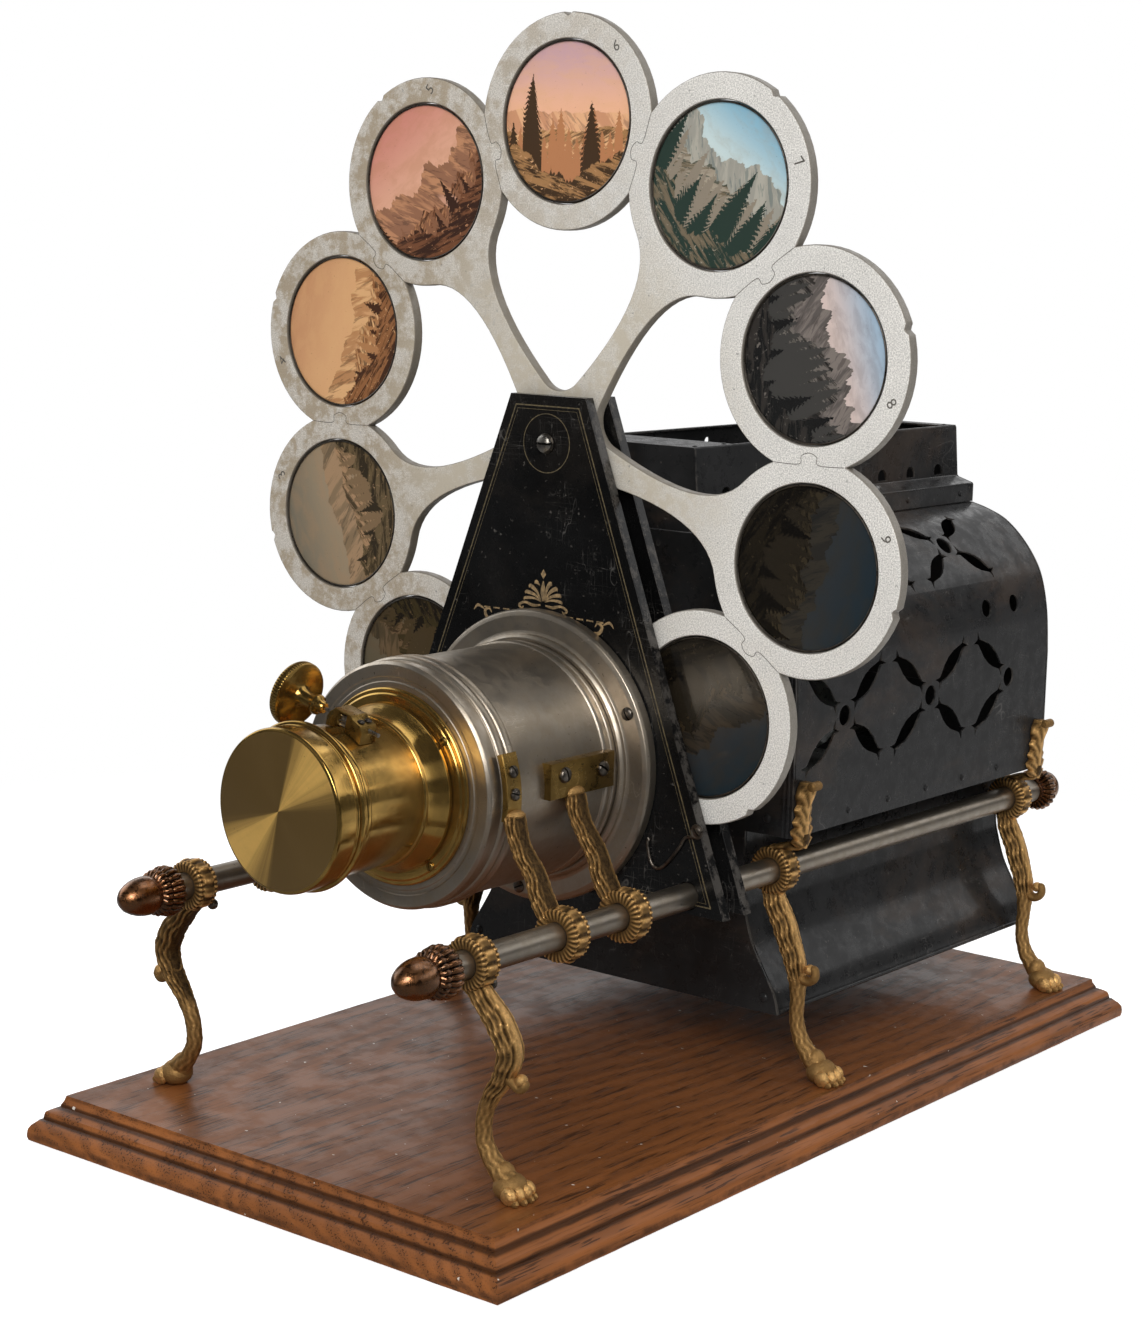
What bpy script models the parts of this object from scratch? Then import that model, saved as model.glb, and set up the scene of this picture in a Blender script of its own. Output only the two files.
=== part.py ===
"""A magic lantern with a revolving slide wheel.

A moulded oak board carries six cast legs and two guide rods. A nickel lens drum with a brass
focusing lens hangs between the rods in front, two upright shields hold the pivot of a wheel of
ten round slides, and a perforated lamp house with an oil lamp stands behind them.
Metres, +Z up, the lens looks along -Y, and the origin is the middle of the board's underside.
"""

import math

import bmesh
import bpy
from mathutils import Vector

# Fits
GAP = 0.0003
OVERRUN = 0.004
MERGE = 0.00001
FULL_TURN = 2 * math.pi

# Facets
BIG_STEPS = 22
LENS_STEPS = 11
RING_STEPS = 12
SMALL_STEPS = 12
HOLE_STEPS = 6

# Board
BOARD_LENGTH = 0.535
BOARD_WIDTH = 0.2856
BOARD_THICKNESS = 0.0215
BOARD_MOULDING = 0.013
MOULDING_SHARES = (
    (0.89, 0.0), (1.0, 0.14), (0.96, 0.29), (0.76, 0.45), (0.57, 0.52),
    (0.52, 0.66), (0.15, 0.77), (0.05, 0.88), (0.0, 1.0),
)

# Guide rods and their finials
ROD_RADIUS = 0.0062
ROD_SPACING = 0.1778
ROD_HEIGHT = 0.1005
ROD_FRONT_REACHES = {"left": 0.0105, "right": 0.0135}
ROD_REAR_REACH = 0.0227
FINIAL_RADIUS = 0.0118
FRONT_FINIAL_LENGTH = 0.0340
REAR_FINIAL_LENGTH = 0.0228
FRONT_FINIAL_SHARES = (
    (0.64, 0.0), (0.64, 0.11), (0.96, 0.15), (1.0, 0.26), (0.77, 0.33),
    (0.77, 0.56), (0.64, 0.78), (0.38, 0.94), (0.0, 1.0),
)
REAR_FINIAL_SHARES = (
    (0.64, 0.0), (0.64, 0.14), (1.0, 0.20), (1.0, 0.38), (0.66, 0.44),
    (0.70, 0.66), (0.50, 0.88), (0.0, 1.0),
)

# Cast legs: shares are of the leg's reach, of the rod's height and of the leg's radius
LEG_RADIUS = 0.0050
LEG_RING_RADIUS = 0.0119
LEG_RING_WIDTH = 0.0110
FRONT_LEG_REACH = 0.0195
REAR_LEG_REACH = 0.0310
PAW_RADIUS = 0.0080
FRONT_LEG_SETBACKS = {"left": 0.0540, "right": 0.0440}
MIDDLE_LEG_STATION = -0.0007
REAR_LEG_SETBACK = 0.0417
FRONT_LEG_LEAN = 0.0070
MIDDLE_LEG_LEAN = 0.0035
REAR_LEG_LEAN = -0.0080
PAW_HEIGHT_SHARE = 0.88
FRONT_LEG_SHARES = (
    (0.0, 0.085, 0.85), (0.20, 0.15, 0.95), (0.72, 0.235, 1.0), (0.97, 0.34, 1.0),
    (0.80, 0.46, 0.88), (0.37, 0.59, 0.70), (0.20, 0.70, 0.66), (0.28, 0.80, 0.72),
    (0.56, 0.87, 0.90), (0.82, 0.90, 1.10),
)
REAR_LEG_SHARES = (
    (-0.03, 0.085, 0.85), (-0.02, 0.15, 0.95), (0.17, 0.255, 1.0), (0.37, 0.41, 0.90),
    (0.45, 0.56, 0.72), (0.445, 0.72, 0.66), (0.58, 0.845, 0.78), (0.81, 0.90, 1.0),
)
KNEE_RADIUS = 0.0033
KNEE_OUT = 0.0200
KNEE_DROP = 0.0490
HOOK_RADIUS = 0.0025
HOOK_SHARES = ((0.38, 0.44), (0.50, 0.495), (0.66, 0.505), (0.76, 0.465))
LEAF_HEIGHT = 0.0320
LEAF_WIDTH = 0.0160
LEAF_THICKNESS = 0.0045
LEAF_DROP = 0.0050
LEAF_STEM_RADIUS = 0.0024
LEAF_SHARES = (
    (0.15, 0.0), (0.44, 0.12), (0.50, 0.28), (0.30, 0.52), (0.27, 0.66), (0.32, 0.82), (0.12, 1.0),
)

# Slide wheel
SLIDE_COUNT = 10
SPOKE_COUNT = 5
WHEEL_STATION = -0.0610
WHEEL_THICKNESS = 0.0060
OPENING_RADIUS = 0.0376
PETAL_BAND = 0.0121
PETAL_JOIN = 0.003965
NOTCH_DEPTH = 0.0016
NOTCH_HALF_WIDTH = 0.0022
OPENING_STEPS = 18
HUB_STEPS = 12
HUB_HOLLOW_DISTANCE = 0.0243
HUB_HOLLOW_RADIUS = 0.0138
SPOKE_BLEND_DEGREES = 26.0
SPOKE_BLEND_STEPS = 5
RIM_FAN_SHARES = (1.0, 0.67, 0.33)
SLIDE_THICKNESS = 0.0028
SLIDE_RECESS = 0.0016
PIVOT_RADIUS = 0.0040
BUSH_RADIUS = 0.0075
PIVOT_HEAD_RADIUS = 0.0090
PIVOT_HEAD_HEIGHT = 0.0026
PIVOT_FACE_SHARE = 0.8
PIVOT_SLOT_WIDTH = 0.0016
PIVOT_SLOT_DEPTH = 0.0012
OPTICAL_RISE = 0.0537

# Shields
SHIELD_SHEET = 0.0012
SHIELD_RIM_DEPTH = 0.0048
SHIELD_RIM_WALL = 0.0012
FRONT_RIM_CLEARANCE = 0.0026
REAR_SHIELD_CLEARANCE = 0.0020
SHIELD_TOP_WIDTH = 0.0446
SHIELD_FOOT_WIDTH = 0.2190
SHIELD_TOP_RISE = 0.0223
SHIELD_FOOT_DROP = 0.0085
LIGHT_HOLE_RADIUS = 0.0455

# Detent spring
SPRING_WIRE_RADIUS = 0.0008
SPRING_EYE_RADIUS = 0.0036
SPRING_OUT = 0.0942
SPRING_RISE = 0.0250
SPRING_HOLE_RADIUS = 0.0025
SPRING_HOLE_DEGREES = -24.0

# Lens drum
DRUM_RADIUS = 0.0555
DRUM_LENGTH = 0.1025
DRUM_WALL = 0.0015
DRUM_LIP_PROUD = 0.0007
DRUM_LIP_WIDTH = 0.0060
DRUM_BEAD_PROUD = 0.0020
DRUM_BEAD_WIDTH = 0.0058
DRUM_BEAD_SETBACK = 0.0087
DRUM_FLANGE_WIDTH = 0.0145
DRUM_FLANGE_THICKNESS = 0.0114
DRUM_FLANGE_EDGE = 0.0015

# Focusing lens
LENS_FLANGE_RADIUS = 0.0448
LENS_FLANGE_THICKNESS = 0.0030
JACKET_RADIUS = 0.0335
JACKET_WALL = 0.0013
JACKET_LENGTH = 0.0690
JACKET_FRONT_REACH = 0.0536
JACKET_FOOT_RADIUS = 0.0385
JACKET_FOOT_LENGTH = 0.0135
JACKET_FOOT_SHARES = ((0.96, 0.0), (1.0, 0.24), (0.97, 0.50), (0.91, 0.76), (0.88, 0.92))
DRAW_WALL = 0.0013
DRAW_LENGTH = 0.0910
CELL_STANDOFF = 0.0020
CELL_LENGTH = 0.0150
CELL_WALL = 0.0025
CELL_BEAD_RADIUS = 0.0375
CELL_BEAD_WIDTH = 0.0045
CELL_LIP = 0.0030
CELL_LIP_THICKNESS = 0.0012
FRONT_LENS_THICKNESS = 0.0032
FRONT_LENS_RIM = 0.0014
REAR_LENS_THICKNESS = 0.0040
REAR_LENS_SETBACK = 0.0060
CAP_WALL = 0.0011
CAP_FRONT_SPACE = 0.0013

# Focusing rack and pinion, leaned over to the left of the tube's top
PINION_LEAN_DEGREES = 13.7
PINION_SETBACK = 0.0145
PINION_TEETH = 10
PINION_PITCH_RADIUS = 0.0034
PINION_TIP_RADIUS = 0.0039
PINION_ROOT_RADIUS = 0.0027
PINION_WIDTH = 0.0046
PINION_AXLE_RADIUS = 0.0010
RACK_WIDTH = 0.0048
RACK_BASE = 0.0009
RACK_TOOTH = 0.0012
RACK_LENGTH = 0.0380
RACK_TOOTH_SHARES = ((-0.22, 0.0), (-0.08, 1.0), (0.08, 1.0), (0.22, 0.0))
PINION_TOOTH_SHARES = ((-0.24, 0.0), (-0.08, 1.0), (0.08, 1.0), (0.24, 0.0))
SLOT_SIDE_CLEARANCE = 0.0008
SADDLE_LEFT = 0.0085
SADDLE_RIGHT = 0.0125
SADDLE_WIDTH = 0.0100
SADDLE_HEIGHT = 0.0086
AXLE_END = 0.0180
KNOB_REACH = 0.0350
KNOB_RADIUS = 0.0149
KNOB_LENGTH = 0.0205
KNOB_STEPS = 14
KNOB_SHARES = (
    (0.0, 0.0), (0.93, 0.02), (1.0, 0.06), (1.0, 0.20), (0.88, 0.25), (0.60, 0.27),
    (0.40, 0.40), (0.26, 0.70), (0.31, 0.80), (0.26, 0.95), (0.10, 1.0), (0.0, 1.0),
)

# Drum arms
ARM_RADIUS = 0.0044
ARM_RING_RADIUS = 0.0124
ARM_RING_WIDTH = 0.0110
FRONT_ARM_STATION = -0.1636
REAR_ARM_STATION = -0.1191
STRAP_THICKNESS = 0.0028
STRAP_WIDTH = 0.0100
STRAP_LOW_DEGREES = -8.0
STRAP_HIGH_DEGREES = 21.0
STRAP_STEPS = 5
BLOCK_LENGTH = 0.0460
BLOCK_HEIGHT = 0.0165
BLOCK_THICKNESS = 0.0046
BLOCK_RISE = 0.0046
BLOCK_OFFSET = 0.0051
ARM_SHARES = ((0.22, 0.14), (0.42, 0.32), (0.56, 0.52), (0.84, 0.76), (1.0, 1.07))

# Lamp house
HOUSE_FRONT = -0.0080
HOUSE_REAR_REACH = 0.0105
HOUSE_SHEET = 0.0012
HOUSE_PLATE = 0.0015
HOUSE_HALF_WIDTH = 0.1020
HOUSE_FLOOR_RISE = 0.0180
HOUSE_HEIGHT = 0.1400
HOUSE_SHARES = (
    (1.0, 0.0), (1.0, 0.45), (0.985, 0.60), (0.95, 0.72), (0.90, 0.80), (0.815, 0.88),
    (0.71, 0.945), (0.60, 0.98), (0.50, 1.0),
)
FLOOR_HOLE_LENGTH = 0.1460
FLOOR_HOLE_WIDTH = 0.1100
LAMP_STATION = 0.0950
SKIRT_NECK = 0.0755
SKIRT_FOOT = 0.0978
SKIRT_DROP = 0.0740
SKIRT_SHARES = (
    (0.0, 0.0), (0.0, 0.42), (0.10, 0.58), (0.28, 0.74), (0.54, 0.88), (0.88, 1.05), (1.0, 1.18),
)
LATTICE_PITCH_SHARE = 0.3299
LATTICE_ROWS = 3
LATTICE_FIRST_SHARE = 0.1724
LATTICE_RISE = 0.0540
LATTICE_HOLE_RADIUS = 0.0052
SLOT_LENGTH_SHARE = 0.4534
SLOT_WIDTH = 0.0100
SLOT_START = 0.0085
SLOT_DEGREES = 35.0
SPINDLE_SHARES = ((0.0, 0.16), (0.50, 0.50), (1.0, 0.16))
SHOULDER_RISE = 0.1250
SHOULDER_STATION_SHARES = (0.3457, 0.6755)
PAIR_STATION_SHARES = (0.7432, 0.8620)
PAIR_RISE = 0.0924

# Chimney box
COWL_HEIGHT = 0.0408
COWL_HALF_WIDTH = 0.0512
COWL_NECK_HALF_WIDTH = 0.0410
COWL_TOP_HALF_WIDTH = 0.0388
COWL_LEDGE = 0.0100
COWL_LEDGE_RISE = 0.0030
COWL_FRONT_PLATE = 0.0360
COWL_REAR_FLANGE = 0.0080
COWL_SIDE_LIP = 0.0014
COWL_VENTS = 8
COWL_VENT_PITCH_SHARE = 0.1178
COWL_FIRST_VENT_SHARE = 0.0968
COWL_VENT_RADIUS = 0.0052

# Condenser
CONDENSER_RADIUS = 0.0470
CONDENSER_WALL = 0.0015
CONDENSER_FLANGE = 0.0520
CONDENSER_INSIDE_REACH = 0.0200
CONDENSER_LENS_THICKNESS = 0.0120
CONDENSER_LENS_RIM = 0.0025
CONDENSER_LENS_SPACE = 0.0020

# Oil lamp
TANK_FLANGE = 0.0080
TANK_DEPTH = 0.0560
TANK_TOP = 0.0015
BURNER_RADIUS = 0.0235
BURNER_HEIGHT = 0.0240
BURNER_WAIST_SHARE = 0.80
BURNER_SHARES = (
    (1.0, 0.0), (1.0, 0.16), (BURNER_WAIST_SHARE, 0.26), (BURNER_WAIST_SHARE, 0.55), (1.05, 0.62),
    (1.05, 0.86), (0.97, 0.86), (0.97, 0.72), (0.62, 0.72), (0.34, 1.0), (0.0, 1.0),
)
GLASS_SEAT_SHARE = 0.72
GLASS_FOOT_RADIUS = 0.0205
GLASS_WALL = 0.0014
GLASS_HEIGHT = 0.1480
GLASS_SHARES = ((1.0, 0.0), (1.0, 0.05), (1.36, 0.16), (1.28, 0.26), (0.92, 0.40), (0.84, 0.60), (0.84, 1.0))
REFLECTOR_RADIUS = 0.0300
REFLECTOR_DEPTH = 0.0090
REFLECTOR_WALL = 0.0012
REFLECTOR_SETBACK = 0.0500
REFLECTOR_SHARES = ((0.0, 1.0), (0.5, 0.80), (0.85, 0.32), (1.0, 0.0))
REFLECTOR_STEM_SHARE = 0.32
REFLECTOR_STEM_TOP_SHARE = 0.82
REFLECTOR_STEM_RADIUS = 0.0022
REFLECTOR_FOOT_RADIUS = 0.0080
REFLECTOR_FOOT_HEIGHT = 0.0020
REFLECTOR_STEPS = 16
REFLECTOR_NOTCH = 0.0010
WICK_RADIUS = 0.0020
WICK_OFFSET = 0.0120
WICK_RISE = 0.0105
WICK_KNOB_RADIUS = 0.0090
WICK_KNOB_LENGTH = 0.0080

# Rear door
DOOR_HALF_WIDTH = 0.0650
DOOR_LOW = 0.0380
DOOR_HIGH = 0.1240
DOOR_LAP = 0.0060
HINGE_RADIUS = 0.0030
HINGE_OFFSET = 0.0125
HINGE_KNUCKLE = 0.0240
LATCH_RADIUS = 0.0070
LATCH_LENGTH = 0.0120
LATCH_SHARES = ((0.45, 0.0), (0.40, 0.35), (0.95, 0.55), (1.0, 0.75), (0.70, 0.95), (0.0, 1.0))

# Places worked out from the sizes above
BOARD_TOP = BOARD_THICKNESS
FRONT_LEG_STATIONS = {side: setback - BOARD_LENGTH / 2 for side, setback in FRONT_LEG_SETBACKS.items()}
REAR_LEG_STATION = BOARD_LENGTH / 2 - REAR_LEG_SETBACK
ROD_FRONTS = {side: FRONT_LEG_STATIONS[side] - reach for side, reach in ROD_FRONT_REACHES.items()}
ROD_REAR = REAR_LEG_STATION + ROD_REAR_REACH
HOUSE_REAR = REAR_LEG_STATION + HOUSE_REAR_REACH
PETAL_RADIUS = OPENING_RADIUS + PETAL_BAND
WHEEL_PITCH_RADIUS = (PETAL_RADIUS - PETAL_JOIN) / math.sin(math.pi / SLIDE_COUNT)
DRUM_LIP_RADIUS = DRUM_RADIUS + DRUM_LIP_PROUD
DRUM_BEAD_RADIUS = DRUM_RADIUS + DRUM_BEAD_PROUD
DRUM_FLANGE_RADIUS = DRUM_RADIUS + DRUM_FLANGE_WIDTH
ROD_X = ROD_SPACING / 2
ROD_Z = BOARD_TOP + ROD_HEIGHT
AXIS_Z = ROD_Z + OPTICAL_RISE
HUB_Z = AXIS_Z + WHEEL_PITCH_RADIUS
WHEEL_FRONT = WHEEL_STATION - WHEEL_THICKNESS / 2
WHEEL_REAR = WHEEL_STATION + WHEEL_THICKNESS / 2
FRONT_SHIELD_REAR = WHEEL_FRONT - FRONT_RIM_CLEARANCE
FRONT_SHIELD_INNER = FRONT_SHIELD_REAR - SHIELD_RIM_DEPTH
FRONT_SHIELD_FACE = FRONT_SHIELD_INNER - SHIELD_SHEET
REAR_SHIELD_FACE = WHEEL_REAR + REAR_SHIELD_CLEARANCE
REAR_SHIELD_INNER = REAR_SHIELD_FACE + SHIELD_SHEET
REAR_SHIELD_REAR = REAR_SHIELD_INNER + SHIELD_RIM_DEPTH
DRUM_BACK = FRONT_SHIELD_FACE - GAP
DRUM_FRONT = DRUM_BACK - DRUM_LENGTH
LENS_FLANGE_BACK = DRUM_FRONT - GAP
LENS_FLANGE_FRONT = LENS_FLANGE_BACK - LENS_FLANGE_THICKNESS
JACKET_FRONT = DRUM_FRONT - JACKET_FRONT_REACH
JACKET_BACK = JACKET_FRONT + JACKET_LENGTH
DRAW_RADIUS = JACKET_RADIUS - JACKET_WALL - GAP
CELL_BACK = JACKET_FRONT - CELL_STANDOFF
CELL_FRONT = CELL_BACK - CELL_LENGTH
CELL_BORE = DRAW_RADIUS + GAP
CELL_RADIUS = CELL_BORE + CELL_WALL
FRONT_LENS_FRONT = CELL_FRONT + CELL_LIP_THICKNESS + GAP
DRAW_FRONT = FRONT_LENS_FRONT + FRONT_LENS_THICKNESS + GAP
DRAW_BACK = DRAW_FRONT + DRAW_LENGTH
CAP_BACK = CELL_BACK - CELL_BEAD_WIDTH - GAP
CAP_BORE = CELL_RADIUS + GAP
CAP_RADIUS = CAP_BORE + CAP_WALL
CAP_FRONT = CELL_FRONT - CAP_FRONT_SPACE - CAP_WALL
PINION_STATION = JACKET_FRONT + PINION_SETBACK
RACK_LOW = DRAW_RADIUS + GAP
RACK_ROOT = RACK_LOW + RACK_BASE
PINION_CENTRE = RACK_ROOT + (RACK_TOOTH + GAP) / 2 + PINION_PITCH_RADIUS
RACK_FRONT = CELL_BACK + GAP
RACK_REAR = RACK_FRONT + RACK_LENGTH
HOUSE_FLOOR = ROD_Z + HOUSE_FLOOR_RISE
HOUSE_ROOF = HOUSE_FLOOR + HOUSE_HEIGHT
BODY_FRONT = HOUSE_FRONT + HOUSE_PLATE + GAP
BODY_REAR = HOUSE_REAR - HOUSE_PLATE - GAP
BODY_LENGTH = BODY_REAR - BODY_FRONT
LATTICE_PITCH = BODY_LENGTH * LATTICE_PITCH_SHARE
SLOT_LENGTH = LATTICE_PITCH * SLOT_LENGTH_SHARE
COWL_FOOT = HOUSE_ROOF + GAP
COWL_TOP = COWL_FOOT + COWL_HEIGHT
TANK_FLANGE_LOW = HOUSE_FLOOR + HOUSE_SHEET + GAP
TANK_FLANGE_TOP = TANK_FLANGE_LOW + TANK_TOP
BURNER_FOOT = TANK_FLANGE_TOP + GAP
CONDENSER_FRONT = REAR_SHIELD_INNER + GAP
DOOR_FACE = HOUSE_REAR + GAP
SIDES = (("left", -1), ("right", 1))

# Finishes: colour, roughness and metallic value
FINISHES = {
    "oak": ((0.25, 0.11, 0.05), 0.45, 0.0),
    "nickel": ((0.42, 0.40, 0.37), 0.38, 1.0),
    "copper": ((0.32, 0.16, 0.09), 0.35, 1.0),
    "gilt": ((0.50, 0.34, 0.13), 0.42, 1.0),
    "brass": ((0.72, 0.52, 0.20), 0.28, 1.0),
    "aluminium": ((0.78, 0.77, 0.73), 0.48, 0.85),
    "japan": ((0.012, 0.012, 0.014), 0.22, 0.0),
    "iron": ((0.045, 0.045, 0.048), 0.50, 0.3),
    "steel": ((0.35, 0.33, 0.31), 0.35, 1.0),
    "tin": ((0.50, 0.50, 0.48), 0.40, 1.0),
    "glass": ((0.90, 0.93, 0.92), 0.05, 0.0),
    "picture": ((0.55, 0.38, 0.30), 0.25, 0.0),
}


def clear_objects():
    """Remove whatever is in the file, so that only the lantern is left."""
    for thing in list(bpy.data.objects):
        bpy.data.objects.remove(thing, do_unlink=True)


def new_collection(name):
    """Make a collection and link it to the scene."""
    group = bpy.data.collections.new(name)
    bpy.context.scene.collection.children.link(group)
    return group


clear_objects()
LANTERN = new_collection("magic_lantern")
CUTTERS = new_collection("cutters")


def material(finish):
    """Give the material of a finish, made the first time it is asked for."""
    if finish in bpy.data.materials:
        return bpy.data.materials[finish]
    colour, roughness, metallic = FINISHES[finish]
    made = bpy.data.materials.new(finish)
    made.use_nodes = True
    shader = made.node_tree.nodes["Principled BSDF"]
    shader.inputs["Base Color"].default_value = (*colour, 1)
    shader.inputs["Roughness"].default_value = roughness
    shader.inputs["Metallic"].default_value = metallic
    return made


def place(name, data, finish, centre=(0, 0, 0), rotation=(0, 0, 0)):
    """Put mesh or curve data in the lantern's collection as a named object."""
    thing = bpy.data.objects.new(name, data)
    thing.location = centre
    thing.rotation_euler = rotation
    LANTERN.objects.link(thing)
    data.materials.append(material(finish))
    return thing


def as_mesh(thing):
    """Turn an object into one with a plain welded mesh of its evaluated shape."""
    bpy.context.view_layer.update()
    evaluated = thing.evaluated_get(bpy.context.evaluated_depsgraph_get())
    mesh = bpy.data.meshes.new_from_object(evaluated)
    shape = bmesh.new()
    shape.from_mesh(mesh)
    bmesh.ops.remove_doubles(shape, verts=shape.verts, dist=MERGE)
    bmesh.ops.recalc_face_normals(shape, faces=shape.faces)
    shape.to_mesh(mesh)
    shape.free()
    solid = bpy.data.objects.new(thing.name, mesh)
    solid.matrix_world = thing.matrix_world
    LANTERN.objects.link(solid)
    name = thing.name
    bpy.data.objects.remove(thing, do_unlink=True)
    solid.name = name
    return solid


def apply_tool(target, tool, operation):
    """Cut or join an object with another, which stays as a hidden guide."""
    change = target.modifiers.new(operation.title(), "BOOLEAN")
    change.operation = operation
    change.solver = "EXACT"
    change.object = tool
    tool.hide_render = True
    tool.display_type = "WIRE"
    LANTERN.objects.unlink(tool)
    CUTTERS.objects.link(tool)


def cut(target, *tools):
    """Cut each tool out of the target."""
    for tool in tools:
        apply_tool(target, tool, "DIFFERENCE")
    return target


def join(target, *tools):
    """Join each tool to the target."""
    for tool in tools:
        apply_tool(target, tool, "UNION")
    return target


def outer_side_down(profile):
    """Order a (radius, station) profile so that its outer side runs from high to low stations."""
    turned_area = 0
    for (r_a, z_a), (r_b, z_b) in zip(profile, profile[1:] + profile[:1]):
        turned_area += r_a * z_b - r_b * z_a
    return profile if turned_area < 0 else profile[::-1]


def turned(name, profile, finish, steps=BIG_STEPS, centre=(0, 0, 0), axis="Y", closed=True):
    """Turn a profile of (radius, station) points about an axis through the centre."""
    rotations = {"X": (0, math.pi / 2, 0), "Y": (-math.pi / 2, 0, 0), "Z": (0, 0, 0)}
    mesh = bpy.data.meshes.new(name)
    shape = bmesh.new()
    points = [shape.verts.new((radius, 0, station)) for radius, station in outer_side_down(list(profile))]
    for first, second in zip(points, points[1:]):
        shape.edges.new((first, second))
    if closed:
        shape.edges.new((points[-1], points[0]))
    shape.to_mesh(mesh)
    shape.free()
    thing = place(name, mesh, finish, centre, rotations[axis])
    screw = thing.modifiers.new("Turn", "SCREW")
    screw.steps = steps
    screw.render_steps = steps
    screw.use_merge_vertices = True
    screw.merge_threshold = MERGE
    screw.use_smooth_shade = True
    return thing


def tube_profile(outer, inner, low, high):
    """Give the profile of a plain tube."""
    return [(outer, high), (outer, low), (inner, low), (inner, high)]


def disc_profile(radius, low, high):
    """Give the profile of a plain disc or rod."""
    return [(0, high), (radius, high), (radius, low), (0, low)]


def rod_along(name, radius, low, high, finish, centre=(0, 0, 0), axis="Y", steps=SMALL_STEPS):
    """Make a plain round bar between two stations of an axis."""
    return turned(name, disc_profile(radius, low, high), finish, steps, centre, axis, closed=False)


def circle(x, z, radius, steps):
    """Give the points of a circle in a drawing plane."""
    return [
        (x + radius * math.cos(FULL_TURN * i / steps), z + radius * math.sin(FULL_TURN * i / steps))
        for i in range(steps)
    ]


def arc(x, z, radius, start, end, steps):
    """Give the points of an arc between two angles in degrees, both ends included."""
    angles = [math.radians(start + (end - start) * i / steps) for i in range(steps + 1)]
    return [(x + radius * math.cos(a), z + radius * math.sin(a)) for a in angles]


def extruded(name, outlines, low, high, finish, plane="XZ"):
    """Extrude closed outlines, holes included, between two stations square to their plane."""
    rotations = {"XZ": (math.pi / 2, 0, 0), "YZ": (math.pi / 2, 0, math.pi / 2), "XY": (0, 0, 0)}
    normals = {"XZ": Vector((0, 1, 0)), "YZ": Vector((1, 0, 0)), "XY": Vector((0, 0, 1))}
    drawing = bpy.data.curves.new(name, "CURVE")
    drawing.dimensions = "2D"
    drawing.fill_mode = "BOTH"
    drawing.extrude = (high - low) / 2
    for outline in outlines:
        spline = drawing.splines.new("POLY")
        spline.points.add(len(outline) - 1)
        for point, (across, up) in zip(spline.points, outline):
            point.co = (across, up, 0, 1)
        spline.use_cyclic_u = True
    centre = normals[plane] * ((low + high) / 2)
    return as_mesh(place(name, drawing, finish, centre, rotations[plane]))


def smooth_path(points, spans):
    """Pass a smooth curve through points of any dimension, with some spans between each two."""
    path = []
    last = len(points) - 1
    for i in range(last):
        before, here = Vector(points[max(i - 1, 0)]), Vector(points[i])
        there, after = Vector(points[i + 1]), Vector(points[min(i + 2, last)])
        for j in range(spans):
            t = j / spans
            lean_in, lean_out = (there - before) / 2, (after - here) / 2
            path.append(
                here * (2 * t**3 - 3 * t**2 + 1) + lean_in * (t**3 - 2 * t**2 + t)
                + there * (3 * t**2 - 2 * t**3) + lean_out * (t**3 - t**2)
            )
    path.append(Vector(points[last]))
    return path


def tube_along(name, points, radii, finish, resolution=1):
    """Sweep a round section with a radius at each point along a path."""
    path = bpy.data.curves.new(name, "CURVE")
    path.dimensions = "3D"
    path.bevel_depth = max(radii)
    path.bevel_resolution = resolution
    path.use_fill_caps = True
    spline = path.splines.new("POLY")
    spline.points.add(len(points) - 1)
    for point, place_at, radius in zip(spline.points, points, radii):
        point.co = (*place_at, 1)
        point.radius = radius / path.bevel_depth
    return as_mesh(place(name, path, finish))


def ball(name, radii, centre, finish, segments=8, rings=6):
    """Make an ellipsoid."""
    mesh = bpy.data.meshes.new(name)
    shape = bmesh.new()
    bmesh.ops.create_uvsphere(shape, u_segments=segments, v_segments=rings, radius=1)
    bmesh.ops.scale(shape, vec=radii, verts=shape.verts)
    shape.to_mesh(mesh)
    shape.free()
    return place(name, mesh, finish, centre)


def block(name, low, high, finish):
    """Make a rectangular block between two corners."""
    mesh = bpy.data.meshes.new(name)
    shape = bmesh.new()
    bmesh.ops.create_cube(shape, size=1)
    low, high = Vector(low), Vector(high)
    bmesh.ops.scale(shape, vec=high - low, verts=shape.verts)
    shape.to_mesh(mesh)
    shape.free()
    return place(name, mesh, finish, (low + high) / 2)


def loft(name, rings, finish, cap_low=True, cap_high=True):
    """Skin a stack of rings that have the same number of points."""
    mesh = bpy.data.meshes.new(name)
    shape = bmesh.new()
    rows = [[shape.verts.new(point) for point in ring] for ring in rings]
    for lower, upper in zip(rows, rows[1:]):
        for i in range(len(lower)):
            j = (i + 1) % len(lower)
            shape.faces.new((lower[i], lower[j], upper[j], upper[i]))
    if cap_low:
        shape.faces.new(rows[0][::-1])
    if cap_high:
        shape.faces.new(rows[-1])
    shape.to_mesh(mesh)
    shape.free()
    return place(name, mesh, finish)


def rectangle(half_x, y_low, y_high, z):
    """Give the corners of a level rectangle, counter-clockwise from above."""
    return [(-half_x, y_low, z), (half_x, y_low, z), (half_x, y_high, z), (-half_x, y_high, z)]


def shell(thing, wall):
    """Thicken an open surface inwards."""
    skin = thing.modifiers.new("Wall", "SOLIDIFY")
    skin.thickness = wall
    skin.offset = -1
    skin.use_even_offset = True
    return thing


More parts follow.
